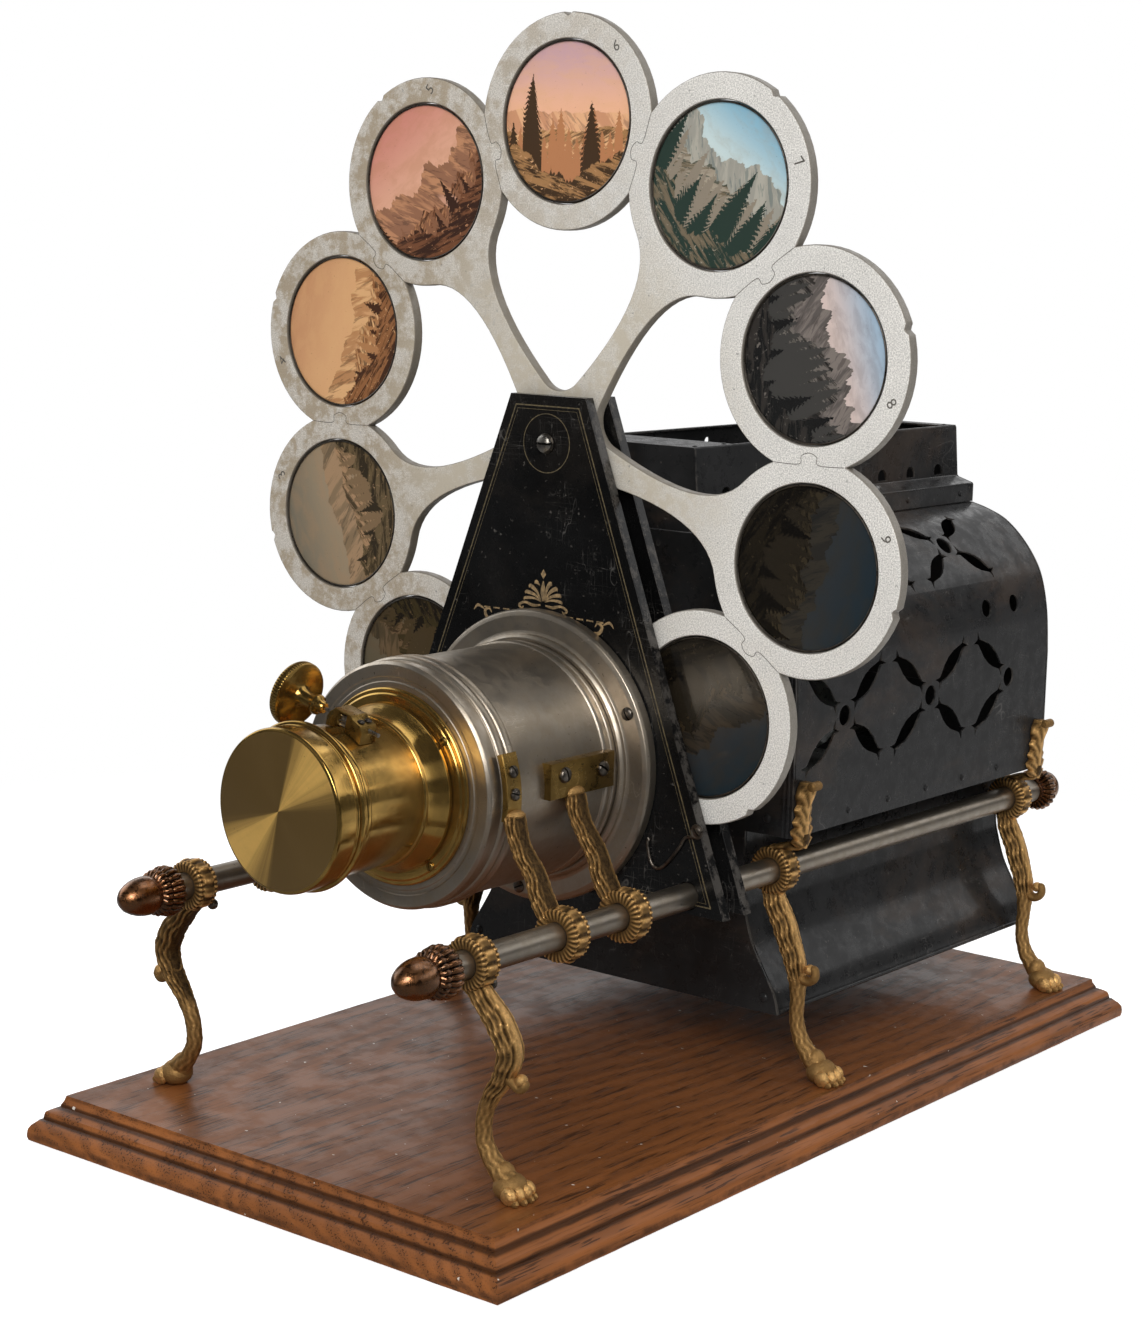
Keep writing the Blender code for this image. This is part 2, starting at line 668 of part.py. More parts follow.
def build_board():
    """The moulded oak board: a loft of rectangles up its stepped edge."""
    top_half_x = BOARD_WIDTH / 2 - BOARD_MOULDING
    top_half_y = BOARD_LENGTH / 2 - BOARD_MOULDING
    rings = []
    for out_share, height_share in MOULDING_SHARES:
        out = BOARD_MOULDING * out_share
        rings.append(rectangle(top_half_x + out, -top_half_y - out, top_half_y + out,
                               BOARD_THICKNESS * height_share))
    loft("base_board", rings, "oak")


def build_rods():
    """Two guide rods, with an acorn in front of each and a button finial behind it."""
    for side, sign in SIDES:
        centre = (sign * ROD_X, 0, ROD_Z)
        rod_front = ROD_FRONTS[side]
        acorn_back = rod_front - GAP
        rod_along(f"guide_rod_{side}", ROD_RADIUS, rod_front, ROD_REAR, "nickel", centre)
        front = [(FINIAL_RADIUS * r, acorn_back - FRONT_FINIAL_LENGTH * s) for r, s in FRONT_FINIAL_SHARES]
        turned(f"front_finial_{side}", [(0, acorn_back)] + front, "copper", SMALL_STEPS, centre, closed=False)
        rear = [(FINIAL_RADIUS * r, ROD_REAR + GAP + REAR_FINIAL_LENGTH * s) for r, s in REAR_FINIAL_SHARES]
        turned(f"rear_finial_{side}", [(0, ROD_REAR + GAP)] + rear, "copper", SMALL_STEPS, centre, closed=False)


def rod_ring(name, radius, width, centre):
    """A rounded cast ring that a guide rod passes through."""
    bore = ROD_RADIUS + GAP
    crown = radius - (radius - bore) / 3
    half = width / 2
    profile = [
        (bore, half), (crown, half), (radius, half / 3), (radius, -half / 3), (crown, -half), (bore, -half),
    ]
    return turned(name, profile, "gilt", RING_STEPS, centre)


def rod_bore(centre, width):
    """The cutter that clears a cast ring for its rod."""
    return rod_along("rod_bore", ROD_RADIUS + GAP, -width, width, "gilt", centre, steps=RING_STEPS)


def wall_leaf(side, sign, station):
    """The acanthus leaf that clasps the lamp house wall, and the stem that carries it."""
    wall = HOUSE_HALF_WIDTH + GAP
    foot = HOUSE_FLOOR - LEAF_DROP
    half = [(LEAF_WIDTH * w, foot + LEAF_HEIGHT * h) for w, h in LEAF_SHARES]
    outline = [(station + w, z) for w, z in half] + [(station - w, z) for w, z in half[::-1]]
    inner, outer = sign * wall, sign * (wall + LEAF_THICKNESS)
    leaf = extruded(f"leaf_{side}", [outline], min(inner, outer), max(inner, outer), "gilt", "YZ")
    ring_top = ROD_Z + LEG_RING_RADIUS - LEAF_STEM_RADIUS
    leaf_mid = sign * (wall + LEAF_THICKNESS / 2)
    stem_points = [
        (sign * ROD_X, station, ring_top),
        (sign * (ROD_X + (wall - ROD_X) / 2), station, foot),
        (leaf_mid, station, foot + LEAF_STEM_RADIUS),
    ]
    stem = tube_along(f"stem_{side}", stem_points, [LEAF_STEM_RADIUS] * 3, "gilt", 0)
    return leaf, stem


def build_leg(name, side, sign, station, lean, reach, shares, hooked):
    """One cast leg: its rod ring, a leaning S-shaped shank, a knee knob or hook, and a paw."""
    centre = (sign * ROD_X, station, ROD_Z)
    leg = rod_ring(f"{name}_leg_{side}", LEG_RING_RADIUS, LEG_RING_WIDTH, centre)

    def at(out, drop):
        return (sign * (ROD_X + out), station + lean * drop / ROD_HEIGHT, ROD_Z - drop)

    bones = [(reach * out, ROD_HEIGHT * drop, LEG_RADIUS * thick) for out, drop, thick in shares]
    path = [at(out, drop) for out, drop, _ in bones]
    shank = tube_along("shank", path, [thick for _, _, thick in bones], "gilt")
    paw_drop = ROD_HEIGHT - PAW_RADIUS * PAW_HEIGHT_SHARE
    paw = ball("paw", (PAW_RADIUS, PAW_RADIUS, PAW_RADIUS), at(reach, paw_drop), "gilt", 7, 4)
    tools = [shank, paw]
    if hooked:
        hook_path = [at(reach * out, ROD_HEIGHT * drop) for out, drop in HOOK_SHARES]
        thins = [HOOK_RADIUS * (1 - i / (2 * len(hook_path))) for i in range(len(hook_path))]
        tools.append(tube_along("hook", hook_path, thins, "gilt", 0))
        tools.extend(wall_leaf(side, sign, station))
    else:
        tools.append(ball("knee", (KNEE_RADIUS,) * 3, at(KNEE_OUT, KNEE_DROP), "gilt", 6, 4))
        tools.append(tube_along("knee_stem", [at(KNEE_OUT * 3 / 5, KNEE_DROP), at(KNEE_OUT, KNEE_DROP)],
                                [KNEE_RADIUS / 2] * 2, "gilt", 0))
    join(leg, *tools)
    x, y, z = at(reach, ROD_HEIGHT)
    sole = block("sole", (x - reach, y - reach, z - PAW_RADIUS), (x + reach, y + reach, z + GAP), "gilt")
    cut(leg, rod_bore(centre, LEG_RING_WIDTH), sole)


def build_legs():
    """Three pairs of legs along the board."""
    for side, sign in SIDES:
        build_leg("front", side, sign, FRONT_LEG_STATIONS[side], FRONT_LEG_LEAN, FRONT_LEG_REACH,
                  FRONT_LEG_SHARES, False)
        build_leg("middle", side, sign, MIDDLE_LEG_STATION, MIDDLE_LEG_LEAN, REAR_LEG_REACH,
                  REAR_LEG_SHARES, True)
        build_leg("rear", side, sign, REAR_LEG_STATION, REAR_LEG_LEAN, REAR_LEG_REACH, REAR_LEG_SHARES, True)


def petal_place(index):
    """The centre of a slide in the wheel's plane, counted clockwise from the lowest, on the axis."""
    angle = -math.pi / 2 - FULL_TURN * index / SLIDE_COUNT
    return WHEEL_PITCH_RADIUS * math.cos(angle), HUB_Z + WHEEL_PITCH_RADIUS * math.sin(angle)


def rim_outline():
    """The scalloped rim: an arc round each slide, with the notch that the detent spring finds."""
    step = FULL_TURN / SLIDE_COUNT
    half_chord = WHEEL_PITCH_RADIUS * math.sin(step / 2)
    rise = math.sqrt(PETAL_RADIUS**2 - half_chord**2)
    cusp_radius = WHEEL_PITCH_RADIUS * math.cos(step / 2) + rise
    cusp_angle = math.atan2(cusp_radius * math.sin(step / 2),
                            cusp_radius * math.cos(step / 2) - WHEEL_PITCH_RADIUS)
    notch = NOTCH_HALF_WIDTH / PETAL_RADIUS
    fan = [cusp_angle * share for share in RIM_FAN_SHARES]
    local = [(a, PETAL_RADIUS) for a in fan] + [(notch, PETAL_RADIUS), (0, PETAL_RADIUS - NOTCH_DEPTH)]
    local += [(-a, r) for a, r in local[-2::-1]][:-1]
    outline = []
    for index in range(SLIDE_COUNT):
        outward = -math.pi / 2 - FULL_TURN * index / SLIDE_COUNT
        x, z = petal_place(index)
        for angle, radius in local:
            outline.append((x + radius * math.cos(outward + angle), z + radius * math.sin(outward + angle)))
    return outline


def spoke_gap():
    """One opening between two spokes, drawn upwards from the hub and symmetric about its middle."""
    step = FULL_TURN / SLIDE_COUNT
    side_x = WHEEL_PITCH_RADIUS * math.sin(step)
    side_z = WHEEL_PITCH_RADIUS * math.cos(step)
    half_chord = WHEEL_PITCH_RADIUS * math.sin(step / 2)
    rise = math.sqrt(PETAL_RADIUS**2 - half_chord**2)
    cusp_radius = WHEEL_PITCH_RADIUS * math.cos(step / 2) - rise
    cusp = (cusp_radius * math.sin(step / 2), cusp_radius * math.cos(step / 2))
    hollow_z = HUB_HOLLOW_DISTANCE + HUB_HOLLOW_RADIUS
    half = arc(0, hollow_z, HUB_HOLLOW_RADIUS, -90, -45, 3)
    join_angle = math.radians(180 + SPOKE_BLEND_DEGREES)
    start = Vector(half[-1])
    start_lean = Vector((math.sqrt(0.5), math.sqrt(0.5)))
    end = Vector((side_x + PETAL_RADIUS * math.cos(join_angle), side_z + PETAL_RADIUS * math.sin(join_angle)))
    end_lean = Vector((-math.sin(join_angle), math.cos(join_angle)))
    across = start_lean.x * end_lean.y - start_lean.y * end_lean.x
    apart = end - start
    corner = start + start_lean * ((apart.x * end_lean.y - apart.y * end_lean.x) / across)
    for i in range(1, SPOKE_BLEND_STEPS):
        t = i / SPOKE_BLEND_STEPS
        half.append(tuple(start * (1 - t) ** 2 + corner * 2 * t * (1 - t) + end * t**2))
    cusp_angle = math.atan2(cusp[1] - side_z, cusp[0] - side_x) % FULL_TURN
    half += arc(side_x, side_z, PETAL_RADIUS, math.degrees(join_angle), math.degrees(cusp_angle), 2)
    middle_angle = math.degrees(math.atan2(cusp[1] - WHEEL_PITCH_RADIUS, cusp[0]))
    half += arc(0, WHEEL_PITCH_RADIUS, PETAL_RADIUS, middle_angle, -90, 3)[1:]
    return half + [(-x, z) for x, z in half[-2:0:-1]]


def turn_about_hub(points, angle):
    """Turn points drawn up from the hub to their place in the wheel."""
    c, s = math.cos(angle), math.sin(angle)
    return [(x * c - z * s, HUB_Z + x * s + z * c) for x, z in points]


def build_wheel():
    """The cast wheel with its ten openings, five spokes and hub bore, and a slide in each opening."""
    outlines = [rim_outline()]
    gap = spoke_gap()
    for index in range(SPOKE_COUNT):
        outlines.append(turn_about_hub(gap, FULL_TURN * index / SPOKE_COUNT))
    for index in range(SLIDE_COUNT):
        outlines.append(circle(*petal_place(index), OPENING_RADIUS, OPENING_STEPS))
    outlines.append(circle(0, HUB_Z, BUSH_RADIUS + GAP, HUB_STEPS))
    extruded("slide_wheel", outlines, WHEEL_FRONT, WHEEL_REAR, "aluminium")
    face = WHEEL_FRONT + SLIDE_RECESS
    for index in range(SLIDE_COUNT):
        disc = circle(*petal_place(index), OPENING_RADIUS - GAP, OPENING_STEPS)
        extruded(f"slide_{index + 1}", [disc], face, face + SLIDE_THICKNESS, "picture")


def build_pivot():
    """The bush that the wheel turns on, and the slotted screw through both shields."""
    bush = tube_profile(BUSH_RADIUS, PIVOT_RADIUS + GAP, FRONT_SHIELD_INNER + GAP, REAR_SHIELD_FACE - GAP)
    turned("wheel_bush", bush, "brass", HUB_STEPS, (0, 0, HUB_Z))
    head_back = FRONT_SHIELD_FACE - GAP
    head_front = head_back - PIVOT_HEAD_HEIGHT
    nut_front = REAR_SHIELD_INNER + GAP
    nut_back = nut_front + PIVOT_HEAD_HEIGHT
    profile = [
        (0, head_front), (PIVOT_HEAD_RADIUS * PIVOT_FACE_SHARE, head_front),
        (PIVOT_HEAD_RADIUS, head_front + PIVOT_SLOT_DEPTH),
        (PIVOT_HEAD_RADIUS, head_back), (PIVOT_RADIUS, head_back), (PIVOT_RADIUS, nut_front),
        (BUSH_RADIUS, nut_front), (BUSH_RADIUS, nut_back), (0, nut_back),
    ]
    screw = turned("wheel_pivot", profile, "steel", HUB_STEPS, (0, 0, HUB_Z), closed=False)
    slot = block("pivot_slot",
                 (-PIVOT_HEAD_RADIUS - OVERRUN, head_front - OVERRUN, HUB_Z - PIVOT_SLOT_WIDTH / 2),
                 (PIVOT_HEAD_RADIUS + OVERRUN, head_front + PIVOT_SLOT_DEPTH, HUB_Z + PIVOT_SLOT_WIDTH / 2), "steel")
    cut(screw, slot)


def shield_outline(inset=0, foot_overrun=0):
    """The tall trapezium of a shield, narrowed by an inset on its sides and top."""
    top, foot = HUB_Z + SHIELD_TOP_RISE, ROD_Z - SHIELD_FOOT_DROP
    slope = (SHIELD_FOOT_WIDTH - SHIELD_TOP_WIDTH) / 2 / (top - foot)
    side_inset = inset * math.sqrt(1 + slope**2)
    top_half = SHIELD_TOP_WIDTH / 2 - side_inset + slope * inset
    foot_half = SHIELD_FOOT_WIDTH / 2 - side_inset + slope * foot_overrun
    return [(-foot_half, foot - foot_overrun), (foot_half, foot - foot_overrun),
            (top_half, top - inset), (-top_half, top - inset)]


def build_shield(name, face, inner, rim):
    """One japanned shield: a sheet with folded rims, holes for light and pivot, and feet on the rods."""
    outlines = [shield_outline(), circle(0, HUB_Z, PIVOT_RADIUS + GAP, HUB_STEPS)]
    outlines.append(circle(0, AXIS_Z, LIGHT_HOLE_RADIUS, BIG_STEPS))
    for _, sign in SIDES:
        outlines.append(circle(sign * ROD_X, ROD_Z, ROD_RADIUS + GAP, SMALL_STEPS))
    plate = extruded(name, outlines, min(face, rim), max(face, rim), "japan")
    far = rim + (rim - inner)
    hollow = extruded(f"{name}_hollow", [shield_outline(SHIELD_RIM_WALL, OVERRUN)],
                      min(inner, far), max(inner, far), "japan")
    return cut(plate, hollow)


def build_shields():
    """The front and rear shields, folded towards and away from the wheel."""
    front = build_shield("front_shield", FRONT_SHIELD_FACE, FRONT_SHIELD_INNER, FRONT_SHIELD_REAR)
    x, _, z = spring_tip()
    hole = rod_along("spring_hole", SPRING_HOLE_RADIUS, -OVERRUN, OVERRUN, "japan",
                     (x, FRONT_SHIELD_FACE, z), steps=HOLE_STEPS)
    cut(front, hole)
    build_shield("rear_shield", REAR_SHIELD_FACE, REAR_SHIELD_INNER, REAR_SHIELD_REAR)


def spring_tip():
    """Where the detent wire passes through the front shield, just outside the drum's flange."""
    reach = DRUM_FLANGE_RADIUS + SPRING_HOLE_RADIUS + GAP
    angle = math.radians(SPRING_HOLE_DEGREES)
    return reach * math.cos(angle), FRONT_SHIELD_FACE, AXIS_Z + reach * math.sin(angle)


def build_spring():
    """The bent wire that drops into the wheel's notches, with the eyelet that holds it."""
    lift = FRONT_SHIELD_FACE - GAP - SPRING_WIRE_RADIUS
    eye_z = ROD_Z + SPRING_RISE
    tip_x, _, tip_z = spring_tip()
    inside = WHEEL_FRONT - GAP - SPRING_WIRE_RADIUS
    loop = SPRING_EYE_RADIUS
    outside = [
        (SPRING_OUT, lift, eye_z),
        (SPRING_OUT - loop * 3, lift, eye_z - loop / 2),
        (SPRING_OUT - loop * 5, lift, eye_z - loop * 3),
        (tip_x + loop / 2, lift, eye_z - loop * 4),
        (tip_x, lift, tip_z - loop),
        (tip_x, lift, tip_z),
    ]
    path = smooth_path(outside, 2)
    path += [Vector((tip_x, inside, tip_z)), Vector((tip_x, inside, tip_z + loop * 3))]
    wire = tube_along("detent_spring", path, [SPRING_WIRE_RADIUS] * len(path), "steel", 0)
    eye = rod_along("spring_eye", SPRING_EYE_RADIUS, lift - SPRING_WIRE_RADIUS * 2, FRONT_SHIELD_FACE - GAP,
                    "steel", (SPRING_OUT, 0, eye_z), steps=RING_STEPS)
    join(wire, eye)


def bead(start, radius, width):
    """The profile points of a half-round bead on the drum, running backwards."""
    foot = DRUM_RADIUS
    return [(foot, start), (radius, start + width / 4), (radius, start + width * 3 / 4), (foot, start + width)]


def build_drum():
    """The nickel lens drum: a turned can with a rolled lip and two beads, and its cast flange."""
    centre = (0, 0, AXIS_Z)
    bore = JACKET_RADIUS + GAP
    lip_edge = DRUM_FRONT + DRUM_LIP_WIDTH / 4
    first = DRUM_FRONT + DRUM_BEAD_SETBACK
    profile = [(bore, DRUM_FRONT), (DRUM_RADIUS - DRUM_WALL, DRUM_FRONT), (DRUM_LIP_RADIUS, lip_edge),
               (DRUM_LIP_RADIUS, DRUM_FRONT + DRUM_LIP_WIDTH)]
    profile += bead(first, DRUM_BEAD_RADIUS, DRUM_BEAD_WIDTH)
    profile += bead(first + DRUM_BEAD_WIDTH, DRUM_BEAD_RADIUS, DRUM_BEAD_WIDTH)[1:]
    profile += [
        (DRUM_RADIUS, DRUM_BACK), (DRUM_RADIUS - DRUM_WALL, DRUM_BACK),
        (DRUM_RADIUS - DRUM_WALL, DRUM_FRONT + DRUM_WALL), (bore, DRUM_FRONT + DRUM_WALL),
    ]
    turned("lens_drum", profile, "nickel", centre=centre)
    front = DRUM_BACK - DRUM_FLANGE_THICKNESS
    flange = [
        (DRUM_RADIUS + GAP, front), (DRUM_FLANGE_RADIUS - DRUM_FLANGE_EDGE, front),
        (DRUM_FLANGE_RADIUS, front + DRUM_FLANGE_EDGE), (DRUM_FLANGE_RADIUS, DRUM_BACK),
        (DRUM_RADIUS + GAP, DRUM_BACK),
    ]
    turned("drum_flange", flange, "nickel", centre=centre)


def build_lens():
    """The brass lens: flange, jacket with its foot moulding, draw tube, cell, glasses and cap."""
    centre = (0, 0, AXIS_Z)
    bore = JACKET_RADIUS + GAP
    edge = LENS_FLANGE_THICKNESS / 3
    flange = [
        (bore, LENS_FLANGE_FRONT), (LENS_FLANGE_RADIUS - edge, LENS_FLANGE_FRONT),
        (LENS_FLANGE_RADIUS, LENS_FLANGE_FRONT + edge), (LENS_FLANGE_RADIUS, LENS_FLANGE_BACK),
        (bore, LENS_FLANGE_BACK),
    ]
    turned("lens_flange", flange, "brass", centre=centre)

    inner = JACKET_RADIUS - JACKET_WALL
    foot_back = LENS_FLANGE_FRONT - GAP
    foot = [(JACKET_FOOT_RADIUS * r, foot_back - JACKET_FOOT_LENGTH * s) for r, s in JACKET_FOOT_SHARES]
    jacket = [(inner, JACKET_BACK), (JACKET_RADIUS, JACKET_BACK), (JACKET_RADIUS, foot_back)] + foot
    jacket += [(JACKET_RADIUS, foot_back - JACKET_FOOT_LENGTH)]
    jacket += [(JACKET_RADIUS, JACKET_FRONT), (inner, JACKET_FRONT)]
    tube = turned("jacket_tube", jacket, "brass", centre=centre)
    cut(tube, rack_slot())

    turned("draw_tube", tube_profile(DRAW_RADIUS, DRAW_RADIUS - DRAW_WALL, DRAW_FRONT, DRAW_BACK), "brass",
           centre=centre)
    lip = CELL_BORE - CELL_LIP
    cell = [
        (lip, CELL_FRONT), (CELL_RADIUS, CELL_FRONT), (CELL_RADIUS, CELL_BACK - CELL_BEAD_WIDTH),
        (CELL_BEAD_RADIUS, CELL_BACK - CELL_BEAD_WIDTH), (CELL_BEAD_RADIUS, CELL_BACK), (CELL_BORE, CELL_BACK),
        (CELL_BORE, CELL_FRONT + CELL_LIP_THICKNESS), (lip, CELL_FRONT + CELL_LIP_THICKNESS),
    ]
    turned("lens_cell", cell, "brass", centre=centre)
    cap = [
        (0, CAP_FRONT), (CAP_RADIUS - CAP_WALL / 2, CAP_FRONT), (CAP_RADIUS, CAP_FRONT + CAP_WALL / 2),
        (CAP_RADIUS, CAP_BACK), (CAP_BORE, CAP_BACK), (CAP_BORE, CAP_FRONT + CAP_WALL), (0, CAP_FRONT + CAP_WALL),
    ]
    turned("lens_cap", cap, "brass", centre=centre, closed=False)


def glass_profile(radius, front, thickness, rim, swell):
    """A lens with one flat and one bulged face; swell is 1 for a bulge in front and -1 behind."""
    flat = front + thickness if swell > 0 else front
    edge = flat - swell * rim
    crown = flat - swell * thickness
    shoulder = edge - swell * (thickness - rim) * 3 / 4
    return [(0, crown), (radius / 2, shoulder), (radius, edge), (radius, flat), (0, flat)]


def build_glasses():
    """The front and rear glasses of the lens and the pair in the condenser."""
    centre = (0, 0, AXIS_Z)
    front = glass_profile(DRAW_RADIUS, FRONT_LENS_FRONT, FRONT_LENS_THICKNESS, FRONT_LENS_RIM, -1)
    turned("front_lens", front, "glass", LENS_STEPS, centre, closed=False)
    radius = DRAW_RADIUS - DRAW_WALL - GAP
    back = DRAW_BACK - REAR_LENS_SETBACK
    rear = glass_profile(radius, back, REAR_LENS_THICKNESS, FRONT_LENS_RIM, 1)
    turned("rear_lens", rear, "glass", LENS_STEPS, centre, closed=False)
    radius = CONDENSER_RADIUS - CONDENSER_WALL - GAP
    start = HOUSE_FRONT - CONDENSER_LENS_THICKNESS - CONDENSER_LENS_SPACE
    first = glass_profile(radius, start, CONDENSER_LENS_THICKNESS, CONDENSER_LENS_RIM, -1)
    turned("condenser_lens_front", first, "glass", LENS_STEPS, centre, closed=False)
    start += CONDENSER_LENS_THICKNESS + CONDENSER_LENS_SPACE
    second = glass_profile(radius, start, CONDENSER_LENS_THICKNESS, CONDENSER_LENS_RIM, 1)
    turned("condenser_lens_rear", second, "glass", LENS_STEPS, centre, closed=False)


def focus_frame():
    """The empty on the optical axis that leans the rack and pinion over."""
    frame = bpy.data.objects.new("focus_frame", None)
    frame.location = (0, 0, AXIS_Z)
    frame.rotation_euler = (0, math.radians(PINION_LEAN_DEGREES), 0)
    LANTERN.objects.link(frame)
    return frame


def rack_slot():
    """The cutter for the slot that lets the rack slide under the pinion."""
    half = RACK_WIDTH / 2 + SLOT_SIDE_CLEARANCE
    top = PINION_CENTRE
    slot = block("rack_slot", (-half, JACKET_FRONT - OVERRUN, DRAW_RADIUS - JACKET_WALL),
                 (half, RACK_REAR + CELL_STANDOFF, top), "brass")
    slot.parent = FOCUS_FRAME
    return slot


def rack_outline():
    """The rack's side: a flat base with a row of teeth, drawn along Y."""
    pitch = FULL_TURN * PINION_PITCH_RADIUS / PINION_TEETH
    ahead = math.floor((PINION_STATION - RACK_FRONT) / pitch - 0.5)
    behind = math.floor((RACK_REAR - PINION_STATION) / pitch - 0.5)
    outline = [(RACK_FRONT, RACK_LOW), (RACK_FRONT, RACK_ROOT)]
    for index in range(-ahead, behind + 1):
        middle = PINION_STATION + pitch * index
        outline += [(middle + pitch * w, RACK_ROOT + RACK_TOOTH * h) for w, h in RACK_TOOTH_SHARES]
    outline += [(RACK_REAR, RACK_ROOT), (RACK_REAR, RACK_LOW)]
    return outline


def pinion_outline():
    """The pinion's outline about its axle, with a gap between teeth facing the rack's tooth."""
    outline = []
    for index in range(PINION_TEETH):
        middle = -math.pi / 2 + FULL_TURN * (index + 0.5) / PINION_TEETH
        for across, up in PINION_TOOTH_SHARES:
            radius = PINION_ROOT_RADIUS + (PINION_TIP_RADIUS - PINION_ROOT_RADIUS) * up
            angle = middle + FULL_TURN * across / PINION_TEETH
            outline.append((PINION_STATION + radius * math.cos(angle), PINION_CENTRE + radius * math.sin(angle)))
    return outline


def build_focus():
    """The rack on the draw tube, the pinion on its axle, the brass knob and the saddle."""
    rack = extruded("focus_rack", [rack_outline()], -RACK_WIDTH / 2, RACK_WIDTH / 2, "brass", "YZ")
    rack.parent = FOCUS_FRAME
    pinion = extruded("focus_pinion", [pinion_outline()], -PINION_WIDTH / 2, PINION_WIDTH / 2, "steel", "YZ")
    pinion.parent = FOCUS_FRAME
    axle_centre = (0, PINION_STATION, PINION_CENTRE)
    knob_inner = -KNOB_REACH + KNOB_LENGTH
    axle = rod_along("pinion_axle", PINION_AXLE_RADIUS, knob_inner + GAP, AXLE_END, "steel", axle_centre, "X",
                     HOLE_STEPS)
    axle.parent = FOCUS_FRAME
    join(pinion, axle)
    profile = [(KNOB_RADIUS * r, -KNOB_REACH + KNOB_LENGTH * s) for r, s in KNOB_SHARES]
    knob = turned("focus_knob", profile, "brass", KNOB_STEPS, axle_centre, "X", closed=False)
    knob.parent = FOCUS_FRAME
    half = SADDLE_WIDTH / 2
    saddle = block("pinion_saddle", (-SADDLE_LEFT, PINION_STATION - half, 0),
                   (SADDLE_RIGHT, PINION_STATION + half, JACKET_RADIUS + SADDLE_HEIGHT), "brass")
    saddle.parent = FOCUS_FRAME
    seat = rod_along("saddle_seat", JACKET_RADIUS + GAP, -half * 2, half * 2, "brass",
                     (0, PINION_STATION, 0), steps=BIG_STEPS)
    seat.parent = FOCUS_FRAME
    well_half = PINION_TIP_RADIUS + GAP
    well = block("saddle_well", (-PINION_WIDTH / 2 - GAP, PINION_STATION - well_half, JACKET_RADIUS / 2),
                 (PINION_WIDTH / 2 + GAP, PINION_STATION + well_half, PINION_CENTRE + well_half), "brass")
    well.parent = FOCUS_FRAME
    way_half = RACK_WIDTH / 2 + SLOT_SIDE_CLEARANCE
    way = block("rack_way", (-way_half, PINION_STATION - SADDLE_WIDTH, JACKET_RADIUS / 2),
                (way_half, PINION_STATION + SADDLE_WIDTH, RACK_ROOT + RACK_TOOTH + GAP), "brass")
    way.parent = FOCUS_FRAME
    hole = rod_along("axle_hole", PINION_AXLE_RADIUS + GAP, -SADDLE_LEFT * 2, SADDLE_RIGHT * 2, "brass",
                     axle_centre, "X", HOLE_STEPS)
    hole.parent = FOCUS_FRAME
    cut(saddle, seat, way, well, hole)


def arm_path(sign, station, top_x, top_z):
    """The bent route of a drum arm from its rod ring up to its seat on the drum."""
    drop = top_z - ROD_Z
    reach = ROD_X - top_x
    points = [(sign * (ROD_X - reach * out), station, ROD_Z + drop * up) for out, up in ARM_SHARES]
    return smooth_path(points, 2)


def build_arms():
    """Cast arms from the rods: the front pair end in straps, the rear pair in screwed blocks."""
    for side, sign in SIDES:
        seat = DRUM_BEAD_RADIUS + GAP
        low = arc(0, AXIS_Z, seat, STRAP_LOW_DEGREES, STRAP_HIGH_DEGREES, STRAP_STEPS)
        high = arc(0, AXIS_Z, seat + STRAP_THICKNESS, STRAP_HIGH_DEGREES, STRAP_LOW_DEGREES, STRAP_STEPS)
        outline = [(sign * x, z) for x, z in low + high]
        half = STRAP_WIDTH / 2
        strap = extruded("strap", [outline], FRONT_ARM_STATION - half, FRONT_ARM_STATION + half, "gilt")
        add_arm("front", side, sign, FRONT_ARM_STATION, seat, low[0][1], strap)

        seat = DRUM_RADIUS + GAP
        middle = AXIS_Z + BLOCK_RISE
        start = REAR_ARM_STATION + BLOCK_OFFSET - BLOCK_LENGTH / 2
        near, far = sign * seat / 2, sign * (seat + BLOCK_THICKNESS)
        bar = block("arm_block", (min(near, far), start, middle - BLOCK_HEIGHT / 2),
                    (max(near, far), start + BLOCK_LENGTH, middle + BLOCK_HEIGHT / 2), "gilt")
        add_arm("rear", side, sign, REAR_ARM_STATION, seat, middle - BLOCK_HEIGHT / 2, bar)


def add_arm(name, side, sign, station, seat, top_z, head):
    """One drum arm: the rod ring, the bent arm and the head that seats on the drum."""
    centre = (sign * ROD_X, station, ROD_Z)
    arm = rod_ring(f"{name}_drum_arm_{side}", ARM_RING_RADIUS, ARM_RING_WIDTH, centre)
    path = arm_path(sign, station, seat + ARM_RADIUS / 2, top_z)
    limb = tube_along("limb", path, [ARM_RADIUS] * len(path), "gilt", 1)
    join(arm, limb, head)
    seat_cut = rod_along("drum_seat", seat, -BLOCK_LENGTH, BLOCK_LENGTH, "gilt", (0, station, AXIS_Z),
                         steps=BIG_STEPS)
    cut(arm, rod_bore(centre, ARM_RING_WIDTH), seat_cut)


def house_outline():
    """The lamp house in section: floor, upright walls and round shoulders up to the flat roof."""
    right = [(HOUSE_HALF_WIDTH * x, HOUSE_FLOOR + HOUSE_HEIGHT * z) for x, z in HOUSE_SHARES]
    return right + [(-x, z) for x, z in right[::-1]]


def skirt_side(inset=0):
    """The flared side of the skirt, from its neck under the floor to its foot."""
    top = HOUSE_FLOOR - GAP
    spread = SKIRT_FOOT - SKIRT_NECK
    return [(SKIRT_NECK + spread * out - inset, top - SKIRT_DROP * drop) for out, drop in SKIRT_SHARES]


def spindle(y, z, degrees):
    """A spindle slot that starts a little way out from a lattice hole."""
    c, s = math.cos(math.radians(degrees)), math.sin(math.radians(degrees))
    upper = [(SLOT_START + SLOT_LENGTH * along, SLOT_WIDTH * half) for along, half in SPINDLE_SHARES]
    points = upper + [(along, -half) for along, half in upper[::-1]]
    return [(y + along * c - across * s, z + along * s + across * c) for along, across in points]


